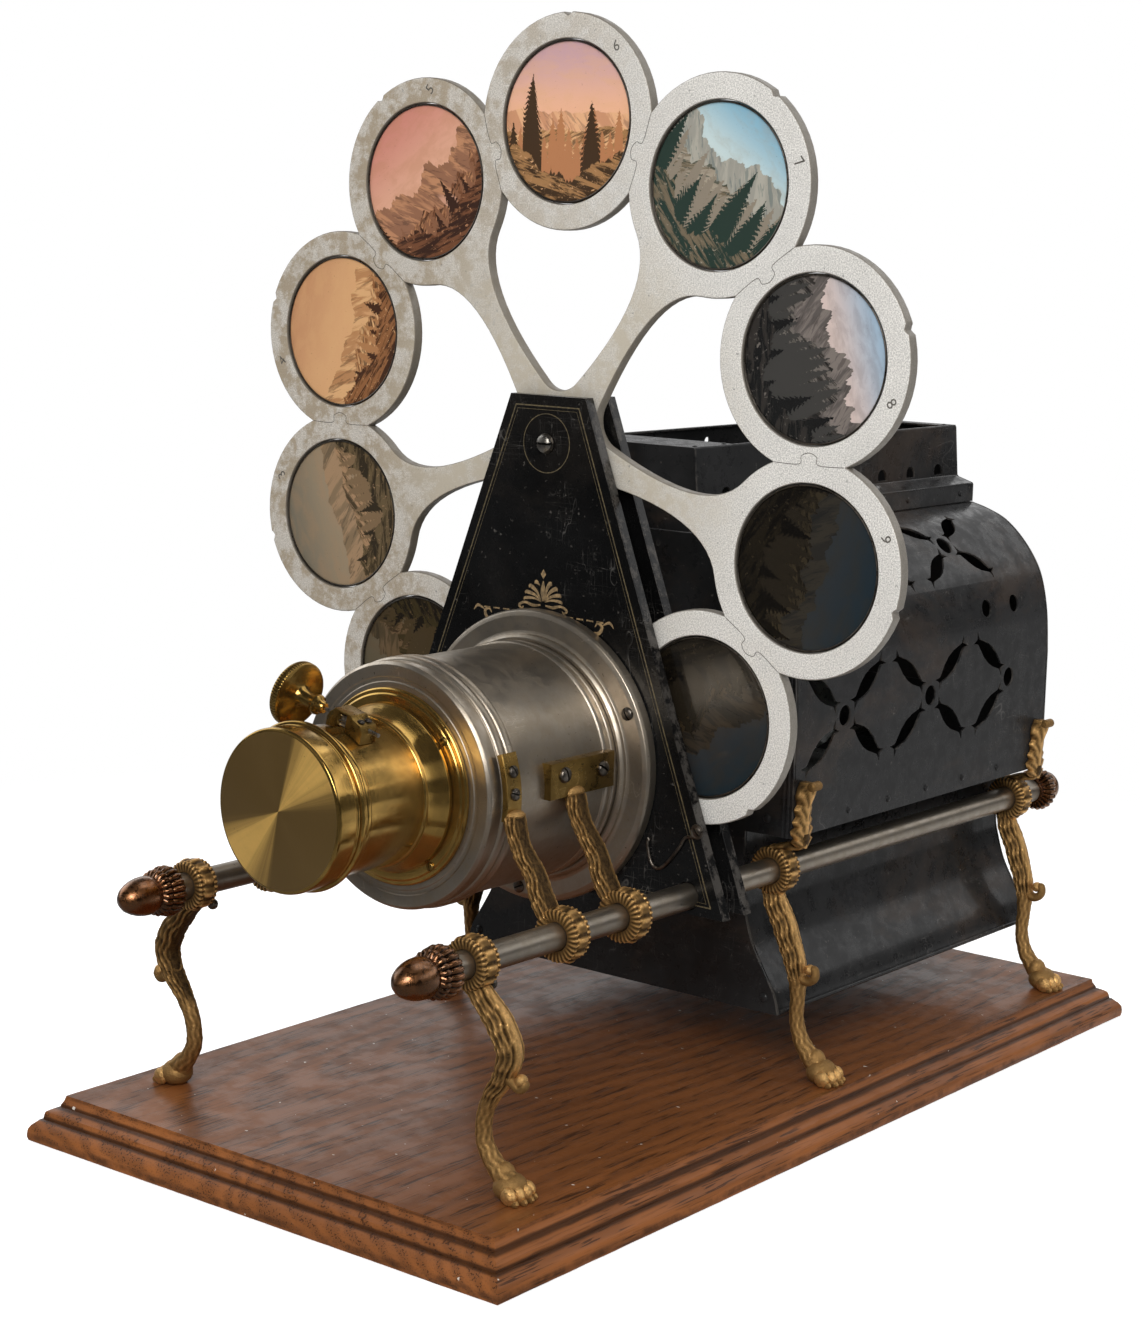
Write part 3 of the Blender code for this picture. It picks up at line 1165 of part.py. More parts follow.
def lattice_outlines():
    """The pierced lattice of one wall: round holes with slots along the diagonals."""
    outlines = []
    z = HOUSE_FLOOR + LATTICE_RISE
    for index in range(LATTICE_ROWS):
        y = BODY_FRONT + BODY_LENGTH * LATTICE_FIRST_SHARE + LATTICE_PITCH * index
        outlines.append(circle(y, z, LATTICE_HOLE_RADIUS, HOLE_STEPS))
        for degrees in (SLOT_DEGREES, 180 - SLOT_DEGREES, 180 + SLOT_DEGREES, -SLOT_DEGREES):
            reach_y = y + (SLOT_START + SLOT_LENGTH) * math.cos(math.radians(degrees))
            if BODY_FRONT + SLOT_WIDTH / 2 < reach_y < BODY_REAR - SLOT_WIDTH / 2:
                outlines.append(spindle(y, z, degrees))
    for rise, shares in ((PAIR_RISE, PAIR_STATION_SHARES), (SHOULDER_RISE, SHOULDER_STATION_SHARES)):
        for share in shares:
            y = BODY_FRONT + BODY_LENGTH * share
            outlines.append(circle(y, HOUSE_FLOOR + rise, LATTICE_HOLE_RADIUS, HOLE_STEPS))
    return outlines


def tank_way(name):
    """The cutter that lets the oil tank down through the floor and the skirt's top."""
    half_x, half_y = FLOOR_HOLE_WIDTH / 2, FLOOR_HOLE_LENGTH / 2
    return block(name, (-half_x, LAMP_STATION - half_y, HOUSE_FLOOR - OVERRUN),
                 (half_x, LAMP_STATION + half_y, HOUSE_FLOOR + OVERRUN), "iron")


def condenser_way(name):
    """The cutter that lets the condenser's cell pass through the sheet round it."""
    back = HOUSE_FRONT + CONDENSER_INSIDE_REACH + OVERRUN
    return rod_along(name, CONDENSER_RADIUS + GAP, HOUSE_FRONT - OVERRUN, back, "iron", (0, 0, AXIS_Z),
                     steps=BIG_STEPS)


def build_house():
    """The pierced sheet body of the lamp house, its front and rear plates and its skirt."""
    outline = house_outline()
    rings = [[(x, y, z) for x, z in outline] for y in (BODY_REAR, BODY_FRONT)]
    body = shell(loft("lamp_house_body", rings, "iron", cap_low=False, cap_high=False), HOUSE_SHEET)
    pierce = extruded("lattice", lattice_outlines(), -HOUSE_HALF_WIDTH * 2, HOUSE_HALF_WIDTH * 2, "iron", "YZ")
    neck = COWL_TOP_HALF_WIDTH - OVERRUN
    roof_hole = block("roof_hole", (-neck, BODY_FRONT + COWL_FRONT_PLATE / 2, HOUSE_ROOF - OVERRUN),
                      (neck, BODY_REAR - COWL_REAR_FLANGE * 2, HOUSE_ROOF + OVERRUN), "iron")
    cut(body, pierce, tank_way("body_tank_way"), roof_hole, condenser_way("body_condenser_way"))

    plate_edge = outline[: len(outline) // 2]
    side = skirt_side()[::-1] + plate_edge
    full = side + [(-x, z) for x, z in side[::-1]]
    condenser = circle(0, AXIS_Z, CONDENSER_RADIUS + GAP, BIG_STEPS)
    extruded("lamp_house_front", [full, condenser], HOUSE_FRONT, HOUSE_FRONT + HOUSE_PLATE, "iron")
    low, high = HOUSE_FLOOR + DOOR_LOW, HOUSE_FLOOR + DOOR_HIGH
    doorway = [(-DOOR_HALF_WIDTH, low), (DOOR_HALF_WIDTH, low), (DOOR_HALF_WIDTH, high), (-DOOR_HALF_WIDTH, high)]
    wick_hole = circle(WICK_OFFSET, BURNER_FOOT + WICK_RISE, WICK_RADIUS + GAP, RING_STEPS)
    rear = extruded("lamp_house_rear", [full, doorway, wick_hole], HOUSE_REAR - HOUSE_PLATE, HOUSE_REAR, "iron")
    join(rear, *fixed_knuckles())

    rings = [rectangle(x, BODY_FRONT, BODY_REAR, z) for x, z in skirt_side()[::-1]]
    skirt = shell(loft("lamp_house_skirt", rings, "iron", cap_low=False), HOUSE_SHEET)
    cut(skirt, tank_way("skirt_tank_way"), condenser_way("skirt_condenser_way"))


def build_cowl():
    """The chimney box on the roof: a stepped foot, straight walls, and a part-open top."""
    sections = (
        (COWL_HALF_WIDTH, 0), (COWL_HALF_WIDTH, COWL_LEDGE),
        (COWL_NECK_HALF_WIDTH, COWL_LEDGE + COWL_LEDGE_RISE), (COWL_TOP_HALF_WIDTH, COWL_HEIGHT),
    )
    rings = [rectangle(half, HOUSE_FRONT, HOUSE_REAR, COWL_FOOT + rise) for half, rise in sections]
    cowl = shell(loft("chimney_box", rings, "iron", cap_low=False), HOUSE_SHEET)
    half = COWL_TOP_HALF_WIDTH - HOUSE_SHEET - COWL_SIDE_LIP
    opening = block("cowl_opening", (-half, HOUSE_FRONT + COWL_FRONT_PLATE, COWL_TOP - OVERRUN),
                    (half, HOUSE_REAR - COWL_REAR_FLANGE, COWL_TOP + OVERRUN), "iron")
    vents = []
    floor = COWL_FOOT + COWL_LEDGE + COWL_LEDGE_RISE + HOUSE_SHEET
    for index in range(COWL_VENTS):
        y = BODY_FRONT + BODY_LENGTH * (COWL_FIRST_VENT_SHARE + COWL_VENT_PITCH_SHARE * index)
        vents.append(arc(y, floor, COWL_VENT_RADIUS, 0, 180, 3))
    pierce = extruded("cowl_vents", vents, -COWL_HALF_WIDTH * 2, COWL_HALF_WIDTH * 2, "iron", "YZ")
    cut(cowl, opening, pierce)


def build_condenser():
    """The condenser's brass cell, from the rear shield into the lamp house."""
    inner = CONDENSER_RADIUS - CONDENSER_WALL
    back = HOUSE_FRONT + CONDENSER_INSIDE_REACH
    profile = [
        (inner, CONDENSER_FRONT), (CONDENSER_FLANGE, CONDENSER_FRONT),
        (CONDENSER_FLANGE, CONDENSER_FRONT + CONDENSER_WALL), (CONDENSER_RADIUS, CONDENSER_FRONT + CONDENSER_WALL),
        (CONDENSER_RADIUS, back), (inner, back),
    ]
    turned("condenser_cell", profile, "brass", centre=(0, 0, AXIS_Z))


def build_lamp():
    """The oil lamp: a tank hung in the floor, a burner, a glass chimney, a reflector and a wick winder."""
    half_x = FLOOR_HOLE_WIDTH / 2 - GAP
    half_y = FLOOR_HOLE_LENGTH / 2 - GAP
    low, high = LAMP_STATION - half_y, LAMP_STATION + half_y
    rings = [
        rectangle(half_x, low, high, HOUSE_FLOOR - TANK_DEPTH),
        rectangle(half_x, low, high, TANK_FLANGE_LOW),
        rectangle(half_x + TANK_FLANGE, low - TANK_FLANGE, high + TANK_FLANGE, TANK_FLANGE_LOW),
        rectangle(half_x + TANK_FLANGE, low - TANK_FLANGE, high + TANK_FLANGE, TANK_FLANGE_TOP),
    ]
    loft("oil_tank", rings, "tin")

    centre = (0, LAMP_STATION, 0)
    profile = [(BURNER_RADIUS * r, BURNER_FOOT + BURNER_HEIGHT * h) for r, h in BURNER_SHARES]
    turned("burner", [(0, BURNER_FOOT)] + profile, "brass", RING_STEPS, centre, "Z", closed=False)
    glass_foot = BURNER_FOOT + BURNER_HEIGHT * GLASS_SEAT_SHARE + GAP
    outer = [(GLASS_FOOT_RADIUS * r, glass_foot + GLASS_HEIGHT * h) for r, h in GLASS_SHARES]
    inner = [(radius - GLASS_WALL, z) for radius, z in outer[::-1]]
    turned("lamp_chimney", outer + inner, "glass", RING_STEPS, centre, "Z")

    rim_y = LAMP_STATION + REFLECTOR_SETBACK
    face = [(REFLECTOR_RADIUS * r, rim_y + REFLECTOR_DEPTH * d) for r, d in REFLECTOR_SHARES]
    back = [(radius, y + REFLECTOR_WALL) for radius, y in face[::-1]]
    dish = turned("reflector", face + back, "tin", REFLECTOR_STEPS, (0, 0, AXIS_Z), closed=False)
    stem_y = rim_y + REFLECTOR_DEPTH * REFLECTOR_STEM_SHARE
    stem_top = AXIS_Z - REFLECTOR_RADIUS * REFLECTOR_STEM_TOP_SHARE
    stem = rod_along("reflector_stem", REFLECTOR_STEM_RADIUS, BURNER_FOOT, stem_top, "tin", (0, stem_y, 0), "Z",
                     HOLE_STEPS)
    foot = rod_along("reflector_foot", REFLECTOR_FOOT_RADIUS, BURNER_FOOT, BURNER_FOOT + REFLECTOR_FOOT_HEIGHT,
                     "tin", (0, stem_y, 0), "Z", RING_STEPS)
    join(dish, stem, foot)
    wick_centre = (WICK_OFFSET, 0, BURNER_FOOT + WICK_RISE)
    notch = rod_along("wick_notch", WICK_RADIUS + REFLECTOR_NOTCH, LAMP_STATION, HOUSE_REAR, "tin", wick_centre,
                      steps=HOLE_STEPS)
    cut(dish, notch)

    waist = BURNER_RADIUS * BURNER_WAIST_SHARE
    start = LAMP_STATION + math.sqrt(waist**2 - (WICK_OFFSET - WICK_RADIUS) ** 2) + GAP
    knob_low = HOUSE_REAR + GAP
    knob_high = knob_low + WICK_KNOB_LENGTH
    profile = [
        (0, start), (WICK_RADIUS, start), (WICK_RADIUS, knob_low), (WICK_KNOB_RADIUS / 2, knob_low),
        (WICK_KNOB_RADIUS / 2, knob_low + WICK_KNOB_LENGTH / 4), (WICK_KNOB_RADIUS, knob_low + WICK_KNOB_LENGTH / 3),
        (WICK_KNOB_RADIUS, knob_high), (0, knob_high),
    ]
    turned("wick_winder", profile, "brass", RING_STEPS, wick_centre, closed=False)


def hinge_centre():
    """The place of the rear door's hinge line."""
    return -DOOR_HALF_WIDTH - HINGE_OFFSET, DOOR_FACE + HINGE_RADIUS


def fixed_knuckles():
    """The two hinge knuckles on the rear plate, with the small ears that carry them."""
    x, y = hinge_centre()
    middle = HOUSE_FLOOR + (DOOR_LOW + DOOR_HIGH) / 2
    parts = []
    for sign in (-1, 1):
        near = middle + sign * (HINGE_KNUCKLE / 2 + GAP)
        far = near + sign * HINGE_KNUCKLE
        low, high = min(near, far), max(near, far)
        parts.append(rod_along("knuckle", HINGE_RADIUS, low, high, "iron", (x, y, 0), "Z", HOLE_STEPS))
        parts.append(block("knuckle_ear", (x - HINGE_RADIUS, HOUSE_REAR - HOUSE_PLATE / 2, low), (x, y, high), "iron"))
    return parts


def build_door():
    """The rear door, with its own hinge knuckle and a turned pull."""
    x, y = hinge_centre()
    low, high = HOUSE_FLOOR + DOOR_LOW - DOOR_LAP, HOUSE_FLOOR + DOOR_HIGH + DOOR_LAP
    middle = (low + high) / 2
    door = block("lamp_door", (-DOOR_HALF_WIDTH - DOOR_LAP, DOOR_FACE, low),
                 (DOOR_HALF_WIDTH + DOOR_LAP, DOOR_FACE + HOUSE_PLATE, high), "iron")
    knuckle = rod_along("door_knuckle", HINGE_RADIUS, middle - HINGE_KNUCKLE / 2, middle + HINGE_KNUCKLE / 2,
                        "iron", (x, y, 0), "Z", HOLE_STEPS)
    ear = block("door_ear", (x, DOOR_FACE, middle - HINGE_KNUCKLE / 2),
                (-DOOR_HALF_WIDTH, DOOR_FACE + HOUSE_PLATE, middle + HINGE_KNUCKLE / 2), "iron")
    start = DOOR_FACE + HOUSE_PLATE / 2
    profile = [(LATCH_RADIUS * r, start + LATCH_LENGTH * s) for r, s in LATCH_SHARES]
    pull = turned("door_pull", [(0, start)] + profile, "brass", RING_STEPS,
                  (DOOR_HALF_WIDTH - LATCH_RADIUS, 0, middle), closed=False)
    join(door, ear, knuckle, pull)


FOCUS_FRAME = focus_frame()


def main():
    """Build the whole lantern."""
    build_board()
    build_rods()
    build_legs()
    build_wheel()
    build_pivot()
    build_shields()
    build_spring()
    build_drum()
    build_lens()
    build_glasses()
    build_focus()
    build_arms()
    build_condenser()
    build_house()
    build_cowl()
    build_lamp()
    build_door()
    bpy.context.view_layer.update()


main()
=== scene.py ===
"""The looks of the magic lantern: its wood, castings, turned metal, sheet iron, glass and pictures.

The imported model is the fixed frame. Each operator makes one piece, or one group of like pieces,
and the stage. Metres, +Z up, the lens looks along -Y.
"""

import math

import bmesh
import bpy
import numpy as np
from mathutils import Matrix, Vector


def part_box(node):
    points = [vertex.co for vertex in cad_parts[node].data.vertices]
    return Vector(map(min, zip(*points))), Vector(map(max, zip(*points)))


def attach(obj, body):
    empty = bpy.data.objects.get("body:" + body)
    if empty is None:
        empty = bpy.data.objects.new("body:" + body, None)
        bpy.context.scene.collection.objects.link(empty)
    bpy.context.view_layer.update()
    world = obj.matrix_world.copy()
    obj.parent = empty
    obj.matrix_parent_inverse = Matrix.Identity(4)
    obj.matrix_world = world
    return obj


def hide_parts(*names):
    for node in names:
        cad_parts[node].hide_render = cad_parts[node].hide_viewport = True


bl_info = {
    "name": "Magic Lantern",
    "version": (1, 0, 0),
    "blender": (4, 5, 0),
    "location": "View3D > Sidebar > Lantern",
    "description": "Makes the finished pieces of a table magic lantern around its packed model",
    "category": "Object",
}

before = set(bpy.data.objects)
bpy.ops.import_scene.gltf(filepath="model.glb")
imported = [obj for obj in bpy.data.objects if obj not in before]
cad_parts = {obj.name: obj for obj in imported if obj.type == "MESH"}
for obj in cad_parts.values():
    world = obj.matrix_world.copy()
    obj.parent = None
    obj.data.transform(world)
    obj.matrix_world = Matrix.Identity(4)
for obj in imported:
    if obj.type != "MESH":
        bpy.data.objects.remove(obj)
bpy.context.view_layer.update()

TURN = 2 * math.pi
WELD = 0.000002
SIDES = (("left", -1), ("right", 1))
SLIDE_COUNT = 10

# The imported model's fits and sheets, and how thin paint and engraving lie on a face
GAP = 0.0003
SHEET = 0.0012
PLATE = 0.0015
PRINT_EDGE = 0.00001
PRINT_LIFT = 0.00004
PRINT_DEPTH = 0.0002


def middle(node):
    """The middle of a node's box."""
    low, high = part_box(node)
    return (low + high) / 2


def lowest(node):
    """The lowest corner of a node's box."""
    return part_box(node)[0]


def highest(node):
    """The highest corner of a node's box."""
    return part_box(node)[1]


# Places taken from the frame
BOARD_HIGH = highest("base_board")
BOARD_TOP = BOARD_HIGH.z
ROD_X = middle("guide_rod_right").x
ROD_Z = middle("guide_rod_right").z
ROD_RADIUS = (highest("guide_rod_right").z - lowest("guide_rod_right").z) / 2
AXIS = middle("lens_drum")
AXIS_Z = AXIS.z
HUB = middle("wheel_bush")
HUB_Z = HUB.z
WHEEL_FRONT = lowest("slide_wheel").y
WHEEL_BACK = highest("slide_wheel").y
SHIELD_FACE = lowest("front_shield").y
DRUM_FRONT = lowest("lens_drum").y
DRUM_BACK = highest("lens_drum").y
HOUSE_BACK = highest("lamp_house_body").y
HOUSE_FLOOR = lowest("lamp_house_body").z
HOUSE_WIDTH = highest("lamp_house_body").x
COWL_LOW, COWL_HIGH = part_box("chimney_box")
DOOR_LOW, DOOR_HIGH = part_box("lamp_door")


class LanternSizes(bpy.types.PropertyGroup):
    """The sizes of the finer work that a user would change."""

    sheet_edge: bpy.props.FloatProperty(
        name="Sheet edge", description="Rounding of the edges of sheet iron",
        default=0.0003, min=0.0001, max=0.0005, subtype="DISTANCE", unit="LENGTH")
    cast_edge: bpy.props.FloatProperty(
        name="Cast edge", description="Rounding of the cast wheel's edges",
        default=0.0008, min=0.0002, max=0.0015, subtype="DISTANCE", unit="LENGTH")
    carving_depth: bpy.props.FloatProperty(
        name="Carving depth", description="Depth of the leafwork on the legs and arms",
        default=0.0010, min=0.0, max=0.0020, subtype="DISTANCE", unit="LENGTH")
    milling_count: bpy.props.IntProperty(
        name="Milling", description="Ridges round the milled edge of the focusing knob", default=64, min=24,
        max=120)
    flute_count: bpy.props.IntProperty(
        name="Flutes", description="Flutes round the collar of each finial", default=22, min=12, max=40)


class LanternColours(bpy.types.PropertyGroup):
    """The colours that a user would change."""

    oak: bpy.props.FloatVectorProperty(
        name="Oak", description="Varnished oak of the board", subtype="COLOR", size=3, min=0, max=1,
        default=(0.182, 0.063, 0.018))
    nickel: bpy.props.FloatVectorProperty(
        name="Nickel", description="Old nickel plate of the drum and rods", subtype="COLOR", size=3, min=0,
        max=1,
        default=(0.285, 0.250, 0.208))
    brass: bpy.props.FloatVectorProperty(
        name="Brass", description="Lacquered brass of the lens", subtype="COLOR", size=3, min=0, max=1,
        default=(0.640, 0.395, 0.110))
    gilt: bpy.props.FloatVectorProperty(
        name="Gilt", description="Antique gilt of the castings", subtype="COLOR", size=3, min=0, max=1,
        default=(0.600, 0.345, 0.120))
    copper: bpy.props.FloatVectorProperty(
        name="Copper", description="Brown copper of the acorns", subtype="COLOR", size=3, min=0, max=1,
        default=(0.230, 0.115, 0.056))
    aluminium: bpy.props.FloatVectorProperty(
        name="Aluminium", description="Cast aluminium of the wheel", subtype="COLOR", size=3, min=0, max=1,
        default=(0.880, 0.858, 0.815))
    iron: bpy.props.FloatVectorProperty(
        name="Sheet iron", description="Worn black japan of the lamp house", subtype="COLOR", size=3, min=0,
        max=1,
        default=(0.016, 0.016, 0.0165))


# Shaders: small helpers that wire nodes


def node(tree, kind, inputs=None, **settings):
    """Add a node, set its options and its unlinked inputs."""
    made = tree.nodes.new(kind)
    for key, value in settings.items():
        setattr(made, key, value)
    for key, value in (inputs or {}).items():
        feed(tree, made.inputs[key], value)
    return made


def feed(tree, socket, value):
    """Link a socket to an input, or set the input's own value."""
    if isinstance(value, bpy.types.NodeSocket):
        tree.links.new(value, socket)
    elif isinstance(value, (tuple, list)) and len(value) == 3 and socket.type == "RGBA":
        socket.default_value = (*value, 1)
    else:
        socket.default_value = value


def maths(tree, operation, a, b=0.5):
    """One step of arithmetic on values or sockets."""
    made = node(tree, "ShaderNodeMath", operation=operation)
    feed(tree, made.inputs[0], a)
    feed(tree, made.inputs[1], b)
    return made.outputs[0]


def plus(tree, a, b):
    """Two values added."""
    return maths(tree, "ADD", a, b)


def minus(tree, a, b):
    """The second value taken from the first."""
    return maths(tree, "SUBTRACT", a, b)


def times(tree, a, b):
    """Two values multiplied."""
    return maths(tree, "MULTIPLY", a, b)


def stretch(tree, value, low, high, to_low=0.0, to_high=1.0):
    """Map a value smoothly from one range to another and hold it there."""
    made = node(tree, "ShaderNodeMapRange", interpolation_type="SMOOTHSTEP")
    for key, item in (("Value", value), ("From Min", low), ("From Max", high), ("To Min", to_low),
                      ("To Max", to_high)):
        feed(tree, made.inputs[key], item)
    return made.outputs["Result"]


def spread(tree, mask, low, high):
    """Values between two bounds, as a mask goes from 0 to 1."""
    return stretch(tree, mask, 0.0, 1.0, low, high)


def blend(tree, factor, a, b):
    """Mix two colours."""
    made = node(tree, "ShaderNodeMix", data_type="RGBA", clamp_factor=True)
    feed(tree, made.inputs[0], factor)
    feed(tree, made.inputs[6], a)
    feed(tree, made.inputs[7], b)
    return made.outputs[2]


def layer(tree, under, mask, strength, tint):
    """Lay a tint over a colour, through a mask at a strength."""
    return blend(tree, times(tree, mask, strength), under, tint)


def scaled(tree, vector, factors, shift=(0, 0, 0)):
    """Scale and shift a coordinate."""
    made = node(tree, "ShaderNodeMapping", inputs={"Scale": factors, "Location": shift})
    feed(tree, made.inputs["Vector"], vector)
    return made.outputs[0]


def noise(tree, vector, scale, detail=4.0, roughness=0.55, distortion=0.0):
    """A cloud of noise from 0 to 1."""
    made = node(tree, "ShaderNodeTexNoise", inputs={"Scale": scale, "Detail": detail, "Roughness": roughness,
                                                    "Distortion": distortion})
    feed(tree, made.inputs["Vector"], vector)
    return made.outputs["Fac"]


def parts_of(tree, vector):
    """Split a vector into its three values."""
    made = node(tree, "ShaderNodeSeparateXYZ")
    feed(tree, made.inputs[0], vector)
    return made.outputs


def vector_of(tree, x, y, z):
    """Join three values into a vector."""
    made = node(tree, "ShaderNodeCombineXYZ")
    for socket, value in zip(made.inputs, (x, y, z)):
        feed(tree, socket, value)
    return made.outputs[0]


def new_group(name, inputs, outputs):
    """Start a shader group and give its tree, its inner inputs and its inner outputs."""
    tree = bpy.data.node_groups.new(name, "ShaderNodeTree")
    kinds = {"value": "NodeSocketFloat", "colour": "NodeSocketColor", "vector": "NodeSocketVector"}
    for label, kind, default in inputs:
        socket = tree.interface.new_socket(label, in_out="INPUT", socket_type=kinds[kind])
        if default is not None:
            socket.default_value = default
    for label, kind in outputs:
        tree.interface.new_socket(label, in_out="OUTPUT", socket_type=kinds[kind])
    enter = tree.nodes.new("NodeGroupInput")
    leave = tree.nodes.new("NodeGroupOutput")
    return tree, enter.outputs, leave.inputs


def use_group(tree, name, **values):
    """Place a shader group with its own values; words in input names are joined by underscores."""
    made = tree.nodes.new("ShaderNodeGroup")
    made.node_tree = bpy.data.node_groups[name]
    for key, value in values.items():
        feed(tree, made.inputs[key.replace("_", " ")], value)
    return made.outputs


def patina_group():
    """Stains and specks at three scales, as masks."""
    tree, given, out = new_group("Patina", [("Vector", "vector", None), ("Scale", "value", 20.0),
                                            ("Seed", "value", 0.0)], [("Broad", "value"), ("Fine", "value"),
                                                                      ("Specks", "value")])
    place = node(tree, "ShaderNodeVectorMath", operation="ADD")
    feed(tree, place.inputs[0], given["Vector"])
    feed(tree, place.inputs[1], vector_of(tree, given["Seed"], given["Seed"], given["Seed"]))
    spot = place.outputs[0]
    broad = noise(tree, spot, given["Scale"], 5.0, 0.6, 0.4)
    fine = noise(tree, spot, times(tree, given["Scale"], 9.0), 5.0, 0.7)
    specks = noise(tree, spot, times(tree, given["Scale"], 34.0), 3.0, 0.6)
    feed(tree, out["Broad"], stretch(tree, broad, 0.36, 0.64))
    feed(tree, out["Fine"], stretch(tree, fine, 0.36, 0.64))
    feed(tree, out["Specks"], stretch(tree, specks, 0.66, 0.76))


def scratches_group():
    """Fine scratches in two crossing directions, as a mask."""
    tree, given, out = new_group("Scratches", [("Vector", "vector", None), ("Scale", "value", 30.0)],
                                 [("Mask", "value")])
    masks = []
    for factors, shift in (((1.0, 0.9, 14.0), 1.7), ((11.0, 1.0, 1.4), 4.1), ((2.0, 17.0, 1.0), 8.3)):
        warped = scaled(tree, given["Vector"], factors, (shift, shift, shift))
        lines = noise(tree, warped, given["Scale"], 2.0, 0.5, 0.3)
        masks.append(stretch(tree, maths(tree, "ABSOLUTE", minus(tree, lines, 0.5)), 0.0, 0.006, 1.0, 0.0))
    first = maths(tree, "MAXIMUM", masks[0], masks[1])
    both = maths(tree, "MAXIMUM", first, masks[2])
    gate = stretch(tree, noise(tree, given["Vector"], times(tree, given["Scale"], 1.3), 3.0), 0.52, 0.66)
    feed(tree, out["Mask"], times(tree, both, gate))


def turning_group():
    """Lathe lines: rings round an axis along Y through a point, and a painted bow-tie of glints and dark
    wedges round that axis.
    """
    tree, given, out = new_group("Turning lines", [("Vector", "vector", None), ("Height", "value", 0.0),
                                                   ("Scale", "value", 900.0)], [("Lines", "value"),
                                                                                ("Sweep", "value")])
    x, y, z = parts_of(tree, given["Vector"])
    up = minus(tree, z, given["Height"])
    radius = maths(tree, "SQRT", plus(tree, times(tree, x, x), times(tree, up, up)))
    along = vector_of(tree, plus(tree, radius, y), times(tree, radius, 0.3), 0.0)
    feed(tree, out["Lines"], noise(tree, along, given["Scale"], 3.0, 0.7))
    # A painted reflection: bright wedges on one diagonal of the turn, with dark wedges between them.
    turn = maths(tree, "ARCTAN2", up, x)
    ring = vector_of(tree, maths(tree, "COSINE", turn), maths(tree, "SINE", turn), times(tree, y, 3.0))
    bow = maths(tree, "SINE", times(tree, turn, 2.0))
    uneven = times(tree, minus(tree, noise(tree, ring, 3.2, 5.0, 0.65), 0.5), 1.3)
    feed(tree, out["Sweep"], minus(tree, 0.5, times(tree, plus(tree, bow, uneven), 0.5)))


def oak_group():
    """Flat-sawn oak: arched growth rings, and rows of short dark pores along the board."""
    tree, given, out = new_group("Oak grain", [("Vector", "vector", None)], [("Figure", "value"),
                                                                             ("Pores", "value"),
                                                                             ("Bands", "value")])
    vector = given["Vector"]
    x, y, z = parts_of(tree, vector)
    across = plus(tree, plus(tree, x, 0.035), times(tree, z, 0.8))
    along = times(tree, minus(tree, y, 0.04), 0.17)
    squares = plus(tree, times(tree, across, across), times(tree, along, along))
    arch = maths(tree, "SQRT", plus(tree, squares, 0.0001))
    wander = noise(tree, scaled(tree, vector, (10.0, 3.2, 10.0)), 1.0, 4.0, 0.55)
    ring = plus(tree, times(tree, arch, 84.0), times(tree, wander, 7.0))
    wave = maths(tree, "SINE", times(tree, ring, TURN))
    feed(tree, out["Bands"], stretch(tree, wave, -0.9, 0.9))
    pores = noise(tree, scaled(tree, vector, (1050.0, 52.0, 1050.0)), 1.0, 1.0, 0.5)
    open_rows = stretch(tree, wave, 0.9, -0.6, 0.25, 1.0)
    feed(tree, out["Pores"], times(tree, stretch(tree, pores, 0.56, 0.63), open_rows))
    feed(tree, out["Figure"], stretch(tree, noise(tree, scaled(tree, vector, (16.0, 2.4, 16.0)), 1.0, 5.0),
                                      0.35, 0.65))


